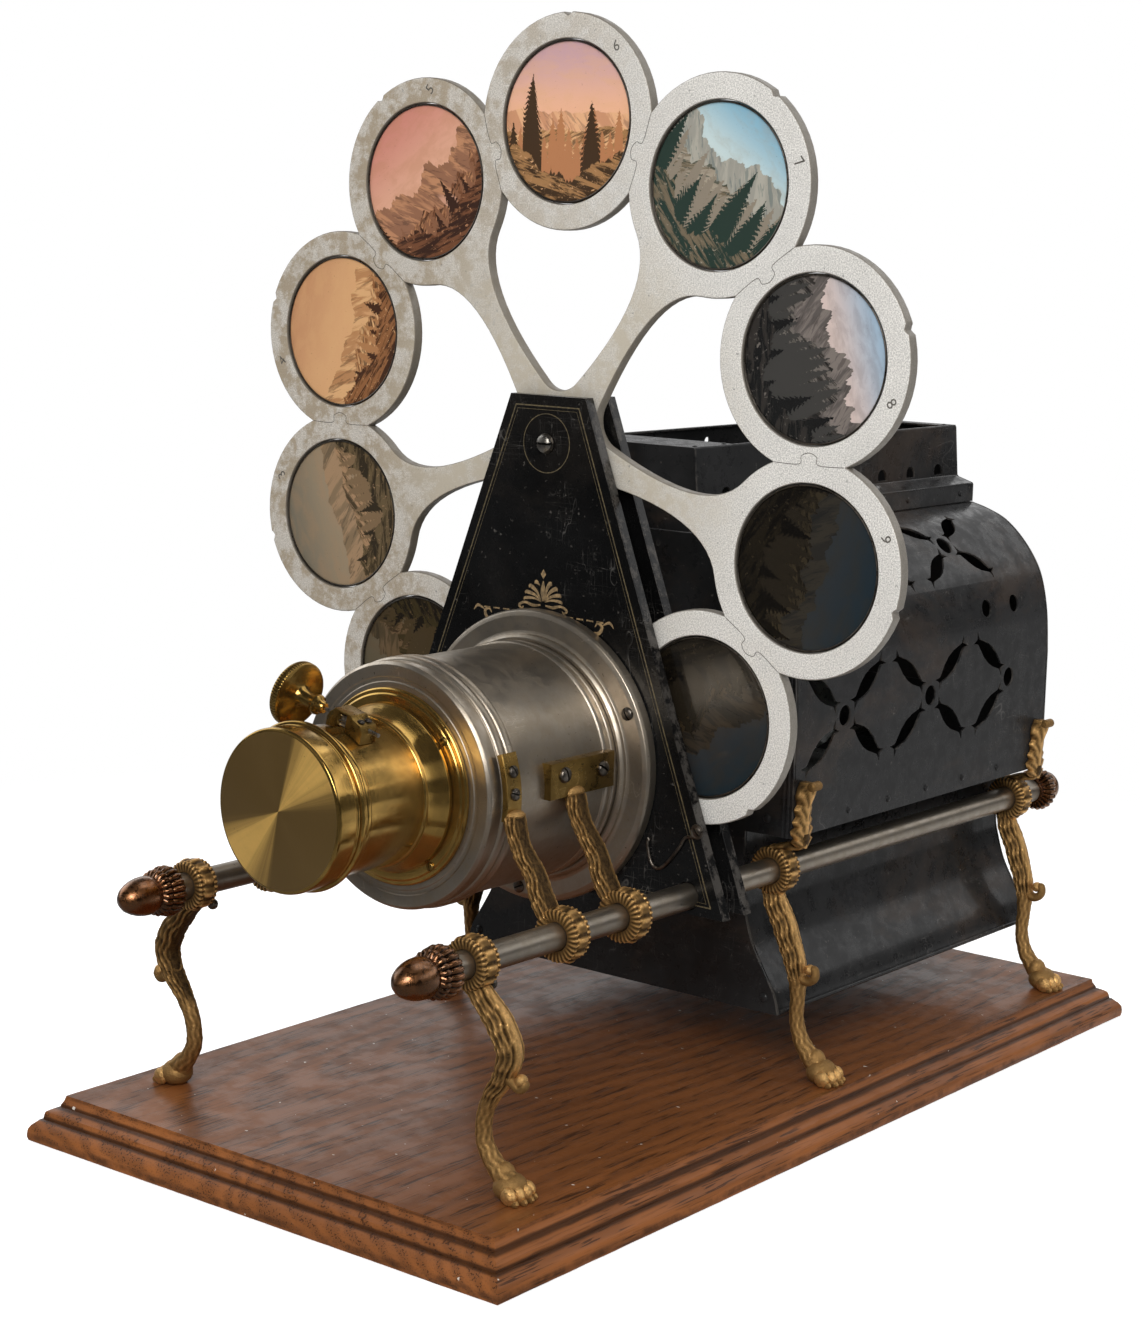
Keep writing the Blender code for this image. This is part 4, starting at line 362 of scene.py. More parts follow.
def landscape_group():
    """A round painted landscape: sky, far hills, a middle ground, a near bank and trees."""
    colours = ("Sky Low", "Sky High", "Far", "Middle", "Near", "Light")
    inputs = [("Vector", "vector", None), ("Seed", "value", 0.0), ("Horizon", "value", 0.1),
              ("Peaks", "value", 0.35), ("Trees", "value", 0.5), ("Haze", "value", 0.3)]
    inputs += [(name, "colour", (0.5, 0.5, 0.5, 1)) for name in colours]
    tree, given, out = new_group("Landscape", inputs, [("Color", "colour"), ("Height", "value")])
    x, y, _ = parts_of(tree, given["Vector"])
    seed = given["Seed"]

    def ridge(scale, detail, offset):
        line = vector_of(tree, x, plus(tree, seed, offset), 0.0)
        return minus(tree, noise(tree, line, scale, detail, 0.6), 0.5)

    def area(scale, detail, offset, distortion=0.0, squash=1.0):
        spot = vector_of(tree, x, times(tree, y, squash), plus(tree, seed, offset))
        return noise(tree, spot, scale, detail, 0.62, distortion)

    def strokes(scale, turn, offset, low=0.44, high=0.56):
        """Engraved strokes along a slope."""
        c, s = math.cos(turn), math.sin(turn)
        across = plus(tree, times(tree, x, c), times(tree, y, s))
        along = minus(tree, times(tree, y, c * 0.16), times(tree, x, s * 0.16))
        spot = vector_of(tree, across, along, plus(tree, seed, offset))
        return stretch(tree, noise(tree, spot, scale, 4.0, 0.65, 0.5), low, high)

    def firs(period, tallest, ground, offset):
        """A row of fir trees of uneven height on a line of ground."""
        step = plus(tree, maths(tree, "DIVIDE", x, period), plus(tree, seed, offset))
        cell = maths(tree, "FLOOR", step)
        chance = node(tree, "ShaderNodeTexWhiteNoise", inputs={"W": cell},
                      noise_dimensions="1D").outputs["Value"]
        aside = maths(tree, "ABSOLUTE", minus(tree, minus(tree, step, cell), 0.5))
        height = times(tree, times(tree, given["Trees"], tallest), chance)
        rise = minus(tree, y, ground)
        boughs = maths(tree, "FRACT", times(tree, rise, 15.0))
        width = times(tree, minus(tree, height, rise), minus(tree, 0.34, times(tree, boughs, 0.17)))
        ragged = times(tree, minus(tree, area(26.0, 4.0, offset), 0.5), 0.06)
        inside = minus(tree, plus(tree, width, ragged), times(tree, aside, period))
        return stretch(tree, inside, 0.0, 0.010)

    clouds = stretch(tree, area(2.6, 5.0, 3.1, 0.4, 2.2), 0.40, 0.66)
    sky = blend(tree, stretch(tree, y, given["Horizon"], 1.0), given["Sky Low"], given["Sky High"])
    sky = layer(tree, sky, clouds, 0.30, given["Light"])

    far_line = plus(tree, given["Horizon"], times(tree, ridge(1.7, 5.0, 11.0), given["Peaks"]))
    far_line = plus(tree, far_line, times(tree, given["Peaks"], 0.10))
    far = blend(tree, strokes(7.0, 0.55, 21.0), given["Far"], given["Light"])
    far = layer(tree, far, strokes(15.0, 0.75, 25.0, 0.54, 0.60), 0.6, given["Near"])
    far = blend(tree, given["Haze"], far, given["Sky Low"])
    picture = blend(tree, stretch(tree, minus(tree, far_line, y), 0.0, 0.012), sky, far)

    mid_line = plus(tree, minus(tree, given["Horizon"], 0.20), times(tree, ridge(1.3, 5.0, 31.0),
                                                                     times(tree, given["Peaks"], 1.3)))
    mid = blend(tree, strokes(8.0, -0.95, 41.0), given["Middle"], given["Light"])
    mid = layer(tree, mid, strokes(18.0, -1.15, 47.0, 0.52, 0.58), 0.75, given["Near"])
    picture = blend(tree, stretch(tree, minus(tree, mid_line, y), 0.0, 0.012), picture, mid)

    river_x = plus(tree, x, times(tree, ridge(1.9, 2.0, 51.0), 1.6))
    river_x = plus(tree, river_x, times(tree, y, 0.7))
    river = stretch(tree, maths(tree, "ABSOLUTE", river_x), 0.05, 0.08, 1.0, 0.0)
    below = stretch(tree, y, -0.36, -0.22, 1.0, 0.0)
    picture = layer(tree, picture, times(tree, river, below), 0.7, given["Sky Low"])

    ground = minus(tree, mid_line, 0.06)
    picture = blend(tree, firs(0.13, 0.42, ground, 4.0), picture, given["Far"])
    bank_line = plus(tree, times(tree, maths(tree, "ABSOLUTE", x), 0.42),
                     minus(tree, times(tree, ridge(2.4, 6.0, 61.0), 0.9), 0.70))
    growth = area(20.0, 6.0, 71.0, 0.8)
    near = blend(tree, strokes(14.0, 1.3, 71.0), given["Near"], given["Middle"])
    near = blend(tree, stretch(tree, growth, 0.60, 0.68), near, given["Light"])
    picture = blend(tree, firs(0.31, 1.30, minus(tree, bank_line, 0.03), 9.0), picture, given["Near"])
    picture = blend(tree, stretch(tree, minus(tree, bank_line, y), 0.0, 0.02), picture, near)
    feed(tree, out["Color"], picture)
    feed(tree, out["Height"], growth)


GROUPS = {
    "Patina": patina_group, "Scratches": scratches_group, "Turning lines": turning_group,
    "Oak grain": oak_group, "Landscape": landscape_group,
}


def new_finish(name, roughness=0.5, metallic=0.0, **own):
    """Start a material; a constant of the shader stays on the shader's own socket."""
    made = bpy.data.materials.new(name)
    made.use_nodes = True
    tree = made.node_tree
    shader = tree.nodes["Principled BSDF"]
    shader.inputs["Roughness"].default_value = roughness
    shader.inputs["Metallic"].default_value = metallic
    for key, value in own.items():
        shader.inputs[key.replace("_", " ")].default_value = value
    spot = node(tree, "ShaderNodeTexCoord").outputs["Object"]
    return made, tree, shader.inputs, spot


def relief_of(tree):
    """The relief that the mesh code stored: above 0 on edges and ridges, below 0 in hollows."""
    return node(tree, "ShaderNodeAttribute", attribute_name="relief").outputs["Fac"]


def raise_bump(tree, inputs, height, strength, distance):
    """Feed a height into the shader's normal."""
    bump = node(tree, "ShaderNodeBump", inputs={"Strength": strength, "Distance": distance,
                                                "Height": height})
    feed(tree, inputs["Normal"], bump.outputs[0])


def colours():
    """The user's colours."""
    return bpy.context.scene.lantern_colours


def sizes():
    """The user's sizes."""
    return bpy.context.scene.lantern_sizes


def shade(colour, factor):
    """A colour made darker or lighter by a factor."""
    return tuple(min(1.0, channel * factor) for channel in colour)


def oak_finish(name, dark, turned_grain):
    """Varnished oak; the moulding's ends show their grain the other way."""
    made, tree, inputs, spot = new_finish(name, 0.38, 0.0, Coat_Weight=0.05, Coat_Roughness=0.16,
                                          Specular_IOR_Level=0.22)
    base = colours().oak
    grain = use_group(tree, "Oak grain", Vector=scaled(tree, spot, turned_grain))
    stains = use_group(tree, "Patina", Vector=spot, Scale=7.0, Seed=2.0)
    colour = blend(tree, grain["Bands"], shade(base, 0.88 * dark), (base[0] * 1.28 * dark, base[1] * 1.26
                                                                    * dark, base[2] * 1.15 * dark))
    colour = layer(tree, colour, grain["Figure"], 0.50, shade(base, 0.66 * dark))
    colour = layer(tree, colour, stains["Broad"], 0.15, shade(base, 0.55 * dark))
    colour = layer(tree, colour, grain["Pores"], 0.78, shade(base, 0.16))
    hollow = stretch(tree, relief_of(tree), -0.15, -1.0)
    colour = layer(tree, colour, hollow, 0.8, shade(base, 0.14))
    worn = times(tree, stretch(tree, relief_of(tree), 0.25, 1.0), stains["Fine"])
    colour = layer(tree, colour, worn, 0.7, shade(base, 0.22))
    dust = stretch(tree, noise(tree, spot, 260.0, 2.0, 0.5), 0.755, 0.775)
    colour = blend(tree, dust, colour, (0.55, 0.50, 0.44))
    feed(tree, inputs["Base Color"], colour)
    feed(tree, inputs["Roughness"], spread(tree, stains["Fine"], 0.34, 0.46))
    height = minus(tree, 1.0, grain["Pores"])
    raise_bump(tree, inputs, height, 0.30, 0.0003)
    return made


def nickel_finish(name, tone):
    """Old nickel plate with brown stains and fine scratches."""
    made, tree, inputs, spot = new_finish(name, 0.36, 0.95)
    base = shade(colours().nickel, tone)
    stains = use_group(tree, "Patina", Vector=spot, Scale=16.0, Seed=5.0)
    lines = use_group(tree, "Turning lines", Vector=spot, Height=AXIS_Z, Scale=1400.0)
    marks = use_group(tree, "Scratches", Vector=spot, Scale=38.0)
    colour = blend(tree, stains["Broad"], shade(base, 0.82), shade(base, 1.10))
    colour = layer(tree, colour, stains["Fine"], 0.25, (base[0] * 0.75, base[1] * 0.64, base[2] * 0.45))
    colour = layer(tree, colour, stains["Specks"], 0.8, shade(base, 0.20))
    colour = layer(tree, colour, marks["Mask"], 0.5, shade(base, 1.9))
    hollow = stretch(tree, relief_of(tree), -0.1, -1.0)
    colour = layer(tree, colour, hollow, 0.85, shade(base, 0.15))
    feed(tree, inputs["Base Color"], colour)
    feed(tree, inputs["Roughness"], spread(tree, stains["Fine"], 0.33, 0.41))
    raise_bump(tree, inputs, lines["Lines"], 0.10, 0.0002)
    return made


def brass_finish(name, tone, roughness, spun):
    """Lacquered brass with lathe lines; the spun kind stretches its glints round the cap and has a bow-tie
    of glints and dark wedges painted into its colour.
    """
    own = {"Anisotropic": 0.75} if spun else {}
    made, tree, inputs, spot = new_finish(name, roughness, 0.55 if spun else 0.94, **own)
    base = shade(colours().brass, tone)
    stains = use_group(tree, "Patina", Vector=spot, Scale=24.0, Seed=9.0)
    lines = use_group(tree, "Turning lines", Vector=spot, Height=AXIS_Z, Scale=2600.0)
    colour = blend(tree, stains["Broad"], shade(base, 0.85 if spun else 0.58), shade(base, 1.10))
    colour = layer(tree, colour, stains["Specks"], 0.7, shade(base, 0.18))
    colour = layer(tree, colour, lines["Lines"], 0.30, shade(base, 0.62))
    if spun:
        # Painted reflection: dark wedges round the cap, leaving a bow-tie of painted glints.
        painted_bow_tie_mask = stretch(tree, lines["Sweep"], 0.0, 0.36)
        colour = blend(tree, painted_bow_tie_mask, colour, (base[0] * 0.17, base[1] * 0.17, base[2] * 0.20))
        tangent = node(tree, "ShaderNodeTangent", direction_type="RADIAL", axis="Y")
        feed(tree, inputs["Tangent"], tangent.outputs[0])
    hollow = stretch(tree, relief_of(tree), -0.1, -1.0)
    colour = layer(tree, colour, hollow, 0.85, shade(base, 0.10))
    feed(tree, inputs["Base Color"], colour)
    uneven = 0.08 if spun else 0.30
    feed(tree, inputs["Roughness"], spread(tree, stains["Fine"], roughness * (1 - uneven), roughness
                                           * (1 + uneven)))
    raise_bump(tree, inputs, lines["Lines"], 0.14, 0.0002)
    return made


def gilt_finish():
    """Antique gilt casting: bright ridges, partly rubbed gilt and partly painted highlight, brown hollows
    and a sandy skin.
    """
    made, tree, inputs, spot = new_finish("antique_gilt", 0.40, 0.85)
    base = colours().gilt
    stains = use_group(tree, "Patina", Vector=spot, Scale=60.0, Seed=13.0)
    relief = relief_of(tree)
    # Ridges painted brighter: rubbed gilt, with painted highlight on the raised carving.
    ridges = stretch(tree, relief, -0.1, 0.9)
    colour = blend(tree, ridges, shade(base, 0.50), (base[0] * 1.60, base[1] * 1.66, base[2] * 1.80))
    hollow = stretch(tree, relief, 0.08, -0.60)
    colour = layer(tree, colour, hollow, 0.92, (0.030, 0.017, 0.008))
    colour = layer(tree, colour, stains["Fine"], 0.40, shade(base, 0.42))
    colour = layer(tree, colour, stains["Specks"], 0.5, (0.05, 0.03, 0.015))
    feed(tree, inputs["Base Color"], colour)
    feed(tree, inputs["Roughness"], spread(tree, ridges, 0.58, 0.34))
    skin = plus(tree, stains["Fine"], times(tree, stains["Specks"], 0.6))
    raise_bump(tree, inputs, skin, 0.45, 0.0004)
    return made


def copper_finish():
    """Brown copper with a glossy dome and black hollows between its flutes."""
    made, tree, inputs, spot = new_finish("brown_copper", 0.24, 1.0, Coat_Weight=0.4, Coat_Roughness=0.12)
    base = colours().copper
    stains = use_group(tree, "Patina", Vector=spot, Scale=50.0, Seed=17.0)
    colour = blend(tree, stains["Broad"], shade(base, 0.70), (base[0] * 1.35, base[1] * 1.15,
                                                              base[2] * 0.95))
    colour = layer(tree, colour, stains["Specks"], 0.5, shade(base, 0.25))
    relief = relief_of(tree)
    colour = layer(tree, colour, stretch(tree, relief, 0.0, -0.9), 0.93, (0.012, 0.008, 0.006))
    colour = layer(tree, colour, stretch(tree, relief, 0.3, 1.0), 0.4, (0.30, 0.22, 0.14))
    feed(tree, inputs["Base Color"], colour)
    feed(tree, inputs["Roughness"], spread(tree, stains["Fine"], 0.20, 0.38))
    raise_bump(tree, inputs, stains["Fine"], 0.12, 0.0003)
    return made


def aluminium_finish():
    """Cast aluminium with a fine speckle, darker and yellower towards the left of the wheel."""
    made, tree, inputs, spot = new_finish("cast_aluminium", 0.42, 0.25)
    base = colours().aluminium
    stains = use_group(tree, "Patina", Vector=spot, Scale=13.0, Seed=21.0)
    grit = noise(tree, spot, 1500.0, 2.0, 0.6)
    marks = use_group(tree, "Scratches", Vector=spot, Scale=44.0)
    colour = blend(tree, stretch(tree, grit, 0.36, 0.66), shade(base, 0.62), shade(base, 1.08))
    colour = layer(tree, colour, stains["Broad"], 0.22, shade(base, 0.72))
    x, _, z = parts_of(tree, spot)
    left = stretch(tree, plus(tree, times(tree, x, -1.0), times(tree, z, 0.15)), -0.03, 0.17)
    darker_yellower_left = times(tree, left, spread(tree, stains["Fine"], 0.35, 0.85))
    colour = blend(tree, darker_yellower_left, colour, (base[0] * 0.38, base[1] * 0.30, base[2] * 0.20))
    up = minus(tree, z, HUB_Z)
    from_hub = maths(tree, "SQRT", plus(tree, times(tree, x, x), times(tree, up, up)))
    dull = times(tree, stretch(tree, from_hub, 0.125, 0.060), spread(tree, stains["Fine"], 0.45, 0.9))
    colour = blend(tree, dull, colour, (base[0] * 0.62, base[1] * 0.57, base[2] * 0.48))
    colour = layer(tree, colour, stains["Specks"], 0.75, shade(base, 0.22))
    colour = layer(tree, colour, marks["Mask"], 0.45, shade(base, 0.35))
    # Painted shade with some grime: the side walls and rounded edges are made much darker.
    edge = stretch(tree, relief_of(tree), 0.3, 1.0)
    colour = layer(tree, colour, edge, 0.85, (base[0] * 0.15, base[1] * 0.13, base[2] * 0.105))
    feed(tree, inputs["Base Color"], colour)
    feed(tree, inputs["Roughness"], spread(tree, stains["Fine"], 0.40, 0.56))
    raise_bump(tree, inputs, grit, 0.14, 0.0002)
    return made


def black_finish(name, tone, roughness, rust, brown):
    """Black japan on iron: gloss, worn edges, scratches, and rust where it is thin."""
    made, tree, inputs, spot = new_finish(name, roughness, 0.0, Coat_Weight=0.2, Coat_Roughness=0.12,
                                          Specular_IOR_Level=0.15)
    base = shade(colours().iron, tone)
    stains = use_group(tree, "Patina", Vector=spot, Scale=12.0, Seed=25.0)
    marks = use_group(tree, "Scratches", Vector=spot, Scale=26.0)
    colour = blend(tree, stains["Broad"], shade(base, 0.70), shade(base, 1.55))
    bare = stretch(tree, noise(tree, scaled(tree, spot, (1.0, 0.8, 1.7)), 9.0, 8.0, 0.72, 0.5), 0.50, 0.66)
    colour = layer(tree, colour, bare, rust, brown)
    colour = layer(tree, colour, marks["Mask"], 0.35, (0.16, 0.15, 0.14))
    edge = times(tree, stretch(tree, relief_of(tree), 0.35, 1.0), stretch(tree, stains["Fine"], 0.2, 0.9))
    colour = layer(tree, colour, edge, 0.30, (0.14, 0.125, 0.11))
    colour = layer(tree, colour, stains["Specks"], 0.30, (0.22, 0.20, 0.18))
    feed(tree, inputs["Base Color"], colour)
    feed(tree, inputs["Roughness"], spread(tree, stains["Fine"], roughness * 0.75, roughness * 1.45))
    coat = spread(tree, stains["Broad"], 0.25, 0.08)
    feed(tree, inputs["Coat Weight"], coat)
    raise_bump(tree, inputs, stains["Fine"], 0.10, 0.0005)
    return made


def plain_metal_finish(name, colour, roughness, seed):
    """A plain metal with stains: screws, tin, wire."""
    made, tree, inputs, spot = new_finish(name, roughness, 1.0)
    stains = use_group(tree, "Patina", Vector=spot, Scale=45.0, Seed=seed)
    tone = blend(tree, stains["Broad"], shade(colour, 0.65), shade(colour, 1.2))
    tone = layer(tree, tone, stains["Specks"], 0.6, shade(colour, 0.2))
    tone = layer(tree, tone, stretch(tree, relief_of(tree), -0.1, -1.0), 0.9, shade(colour, 0.06))
    feed(tree, inputs["Base Color"], tone)
    feed(tree, inputs["Roughness"], spread(tree, stains["Fine"], roughness * 0.8, roughness * 1.4))
    raise_bump(tree, inputs, stains["Fine"], 0.15, 0.0002)
    return made


def paint_finish(name, colour, roughness, wear):
    """A thin painted or scratched line, worn through in places."""
    made, tree, inputs, spot = new_finish(name, roughness, 0.0)
    stains = use_group(tree, "Patina", Vector=spot, Scale=70.0, Seed=31.0)
    tone = blend(tree, times(tree, stains["Fine"], wear), colour, shade(colours().iron, 0.8))
    feed(tree, inputs["Base Color"], tone)
    return made


def clear_glass_finish(name, tint, roughness):
    """Clear glass with a plain transmission and a faint smear in its gloss."""
    made, tree, inputs, spot = new_finish(name, roughness, 0.0, Transmission_Weight=1.0, IOR=1.5)
    stains = use_group(tree, "Patina", Vector=spot, Scale=20.0, Seed=37.0)
    feed(tree, inputs["Base Color"], blend(tree, times(tree, stains["Broad"], 0.12), tint,
                                           shade(tint, 0.86)))
    feed(tree, inputs["Roughness"], spread(tree, stains["Fine"], roughness, roughness * 2.5))
    return made


# The ten pictures: seed, horizon, peaks, trees, haze, then sky low, sky high, far, middle, near and light
PICTURES = (
    (1.3, 0.10, 0.6, 0.5, 0.2, (0.10, 0.09, 0.07), (0.06, 0.05, 0.04), (0.05, 0.05, 0.04),
     (0.04, 0.04, 0.03),
     (0.01, 0.01, 0.01), (0.16, 0.14, 0.10)),
    (2.9, 0.20, 0.9, 0.4, 0.2, (0.115, 0.090, 0.055), (0.075, 0.070, 0.045), (0.060, 0.040, 0.018),
     (0.042, 0.030, 0.012), (0.014, 0.010, 0.006), (0.130, 0.080, 0.040)),
    (4.1, 0.05, 0.5, 0.35, 0.25, (0.30, 0.23, 0.15), (0.17, 0.15, 0.11), (0.20, 0.13, 0.07),
     (0.13, 0.09, 0.045),
     (0.035, 0.026, 0.015), (0.36, 0.22, 0.12)),
    (5.7, -0.10, 0.8, 0.35, 0.2, (0.66, 0.37, 0.18), (0.52, 0.26, 0.13), (0.40, 0.19, 0.08),
     (0.27, 0.115, 0.045),
     (0.060, 0.026, 0.014), (0.68, 0.40, 0.19)),
    (6.4, -0.02, 1.3, 0.50, 0.1, (0.70, 0.38, 0.26), (0.60, 0.24, 0.19), (0.24, 0.11, 0.06),
     (0.17, 0.070, 0.035),
     (0.045, 0.022, 0.015), (0.46, 0.22, 0.11)),
    (7.9, 0.10, 0.4, 0.85, 0.35, (0.82, 0.45, 0.29), (0.54, 0.34, 0.38), (0.46, 0.20, 0.09),
     (0.36, 0.19, 0.08),
     (0.060, 0.034, 0.018), (0.74, 0.42, 0.21)),
    (9.2, 0.25, 1.1, 0.80, 0.2, (0.55, 0.66, 0.66), (0.22, 0.43, 0.56), (0.26, 0.22, 0.17),
     (0.17, 0.135, 0.09),
     (0.026, 0.045, 0.036), (0.36, 0.31, 0.24)),
    (10.6, 0.28, 1.6, 0.45, 0.1, (0.62, 0.50, 0.46), (0.32, 0.44, 0.56), (0.050, 0.048, 0.045),
     (0.034, 0.030, 0.027), (0.012, 0.012, 0.012), (0.150, 0.132, 0.118)),
    (11.8, 0.15, 0.9, 0.5, 0.3, (0.026, 0.030, 0.033), (0.014, 0.024, 0.032), (0.018, 0.014, 0.009),
     (0.013, 0.010, 0.006), (0.005, 0.004, 0.003), (0.034, 0.026, 0.015)),
    (12.5, 0.20, 1.1, 0.5, 0.2, (0.030, 0.032, 0.034), (0.012, 0.022, 0.029), (0.018, 0.014, 0.009),
     (0.013, 0.010, 0.006), (0.005, 0.004, 0.003), (0.040, 0.028, 0.016)),
)


PICTURE_TONE = 0.87


def picture_finish(index):
    """One painted slide under its cover glass."""
    seed, horizon, peaks, trees, haze, *tints = PICTURES[index]
    tints = [shade(tint, PICTURE_TONE) for tint in tints]
    made, tree, inputs, spot = new_finish(f"picture_{index + 1}", 0.18, 0.0, Coat_Weight=0.3,
                                          Coat_Roughness=0.03, Specular_IOR_Level=0.25)
    place = node(tree, "ShaderNodeUVMap", uv_map="picture").outputs[0]
    names = ("Sky_Low", "Sky_High", "Far", "Middle", "Near", "Light")
    painted = use_group(tree, "Landscape", Vector=place, Seed=seed * 7.0, Horizon=horizon, Peaks=peaks,
                        Trees=trees, Haze=haze, **dict(zip(names, tints)))
    stains = use_group(tree, "Patina", Vector=spot, Scale=30.0, Seed=seed)
    colour = blend(tree, times(tree, stains["Specks"], 0.35), painted["Color"], shade(tints[4], 0.7))
    feed(tree, inputs["Base Color"], colour)
    feed(tree, inputs["Roughness"], spread(tree, stains["Broad"], 0.12, 0.26))
    return made


BROWN_RUST = (0.050, 0.034, 0.024)
FINISHES = {
    "oak_face": lambda: oak_finish("oak_face", 1.0, (1.0, 1.0, 1.0)),
    # The moulding's oak is 1.2 times lighter than the face's: painted light on the board's edges.
    "oak_edge": lambda: oak_finish("oak_edge", 1.20, (1.0, 1.0, 1.6)),
    "old_nickel": lambda: nickel_finish("old_nickel", 1.65),
    "dull_nickel": lambda: nickel_finish("dull_nickel", 1.05),
    "lacquered_brass": lambda: brass_finish("lacquered_brass", 0.92, 0.14, False),
    # The cap face is a lighter brass that carries the painted glints and dark wedges.
    "spun_brass_painted_glints": lambda: brass_finish("spun_brass_painted_glints", 1.20, 0.30, True),
    "old_brass": lambda: brass_finish("old_brass", 0.46, 0.36, False),
    "antique_gilt": gilt_finish,
    "brown_copper": copper_finish,
    "cast_aluminium": aluminium_finish,
    "gloss_japan": lambda: black_finish("gloss_japan", 0.25, 0.20, 0.25, (0.02, 0.016, 0.013)),
    "sheet_iron": lambda: black_finish("sheet_iron", 0.85, 0.34, 0.50, BROWN_RUST),
    "house_inside": lambda: black_finish("house_inside", 0.6, 0.60, 0.60, (0.03, 0.02, 0.014)),
    "dark_steel": lambda: plain_metal_finish("dark_steel", (0.16, 0.14, 0.12), 0.34, 41.0),
    "bright_steel": lambda: plain_metal_finish("bright_steel", (0.33, 0.31, 0.28), 0.32, 43.0),
    "tinplate": lambda: plain_metal_finish("tinplate", (0.42, 0.42, 0.40), 0.34, 47.0),
    "gold_line": lambda: paint_finish("gold_line", (0.130, 0.100, 0.050), 0.35, 0.6),
    "gold_stencil": lambda: paint_finish("gold_stencil", (0.30, 0.20, 0.095), 0.40, 0.60),
    "engraved": lambda: paint_finish("engraved", (0.10, 0.09, 0.075), 0.6, 0.3),
    "lens_glass": lambda: clear_glass_finish("lens_glass", (0.94, 0.97, 0.96), 0.01),
    "lamp_glass": lambda: clear_glass_finish("lamp_glass", (0.90, 0.94, 0.92), 0.03),
}
FINISHES.update({f"picture_{i + 1}": (lambda index=i: picture_finish(index)) for i in range(SLIDE_COUNT)})


def finish(name):
    """Give a material by name, made with its groups the first time it is asked for."""
    if name in bpy.data.materials:
        return bpy.data.materials[name]
    for group, build in GROUPS.items():
        if group not in bpy.data.node_groups:
            build()
    return FINISHES[name]()


# Shapes: meshes gathered point by point, with a relief value for the finishes

AXES = {
    "X": ((0, 1, 0), (0, 0, 1), (1, 0, 0)),
    "Y": ((1, 0, 0), (0, 0, 1), (0, 1, 0)),
    "Z": ((1, 0, 0), (0, 1, 0), (0, 0, 1)),
}


class Shape:
    """The points and faces of one piece."""

    def __init__(self):
        self.points = []
        self.relief = []
        self.faces = []
        self.finishes = []

    def add(self, points, faces, finish=0, relief=None):
        """Add points and the faces between them."""
        start = len(self.points)
        self.points.extend(tuple(map(float, point)) for point in points)
        self.relief.extend([0.0] * len(points) if relief is None else map(float, relief))
        self.faces.extend(tuple(start + i for i in face) for face in faces)
        self.finishes.extend([finish] * len(faces))

    def skin(self, rows, around=True, ends=True, loop=False, finish=0, relief=None):
        """Skin rows of points; each row may close on itself, and the rows may close into a loop."""
        rows = np.asarray(rows, float)
        count, across = rows.shape[:2]
        faces = []
        for i in range(count if loop else count - 1):
            low, high = i * across, (i + 1) % count * across
            for j in range(across if around else across - 1):
                k = (j + 1) % across
                faces.append((low + j, low + k, high + k, high + j))
        if ends and around and not loop:
            faces.append(tuple(range(across))[::-1])
            faces.append(tuple(range((count - 1) * across, count * across)))
        flat = None if relief is None else np.asarray(relief, float).reshape(-1)
        self.add(rows.reshape(-1, 3), faces, finish, flat)

    def plate(self, outlines, low, high, plane="XZ", edge=None, finish=0):
        """Add a plate cut to outlines between two stations square to its plane."""
        points, faces, relief = flat_plate(outlines, high - low, sizes().sheet_edge if edge is None
                                           else edge)
        mid = (low + high) / 2
        across, up, out = points.T
        place = {"XZ": (across, mid + out, up), "YZ": (mid + out, across, up), "XY": (across, up, mid + out)}
        self.add(np.array(place[plane]).T, faces, finish, relief)

    def mirrored(self):
        """The same shape on the other side of the lantern."""
        other = Shape()
        other.points = [(-x, y, z) for x, y, z in self.points]
        other.relief, other.faces, other.finishes = self.relief, self.faces, self.finishes
        return other


EVEN_FINISHES = {"sheet_iron", "gloss_japan", "cast_aluminium"}


def even_shading(thing):
    """Let the broad faces set the normals, so that flat sheets shade flat up to their rounded edges."""
    weighted = thing.modifiers.new("weighted_normals", "WEIGHTED_NORMAL")
    weighted.keep_sharp = True
    weighted.weight = 100
    bpy.context.view_layer.update()
    thing.data = bpy.data.meshes.new_from_object(thing.evaluated_get(bpy.context.evaluated_depsgraph_get()))
    thing.modifiers.remove(weighted)


def make(name, shape, finishes, body="stand", replaces=(), sharp=38):
    """Turn a shape into a finished piece that rides on a body."""
    mesh = bpy.data.meshes.new(name)
    mesh.from_pydata(shape.points, [], shape.faces)
    mesh.attributes.new("relief", "FLOAT", "POINT").data.foreach_set("value", shape.relief)
    for label in finishes:
        mesh.materials.append(finish(label))
    mesh.polygons.foreach_set("material_index", shape.finishes)
    work = bmesh.new()
    work.from_mesh(mesh)
    bmesh.ops.remove_doubles(work, verts=work.verts, dist=WELD)
    bmesh.ops.dissolve_degenerate(work, edges=work.edges, dist=WELD)
    bmesh.ops.recalc_face_normals(work, faces=work.faces)
    work.to_mesh(mesh)
    work.free()
    mesh.shade_smooth()
    mesh.set_sharp_from_angle(angle=math.radians(sharp))
    thing = bpy.data.objects.new(name, mesh)
    bpy.context.scene.collection.objects.link(thing)
    if EVEN_FINISHES.intersection(finishes):
        even_shading(thing)
    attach(thing, body)
    if replaces:
        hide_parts(*replaces)
    return thing


def dress(label, *nodes):
    """Give a finish to CAD nodes that stay in view."""
    for name in nodes:
        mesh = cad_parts[name].data
        mesh.materials.clear()
        mesh.materials.append(finish(label))


def filled(drawing):
    """The points and faces of a curve or text, which is then taken away."""
    thing = bpy.data.objects.new("outline", drawing)
    bpy.context.scene.collection.objects.link(thing)
    bpy.context.view_layer.update()
    mesh = bpy.data.meshes.new_from_object(thing.evaluated_get(bpy.context.evaluated_depsgraph_get()))
    points = np.array([v.co[:] for v in mesh.vertices])
    faces = [tuple(face.vertices) for face in mesh.polygons]
    bpy.data.objects.remove(thing, do_unlink=True)
    bpy.data.curves.remove(drawing)
    bpy.data.meshes.remove(mesh)
    return points, faces


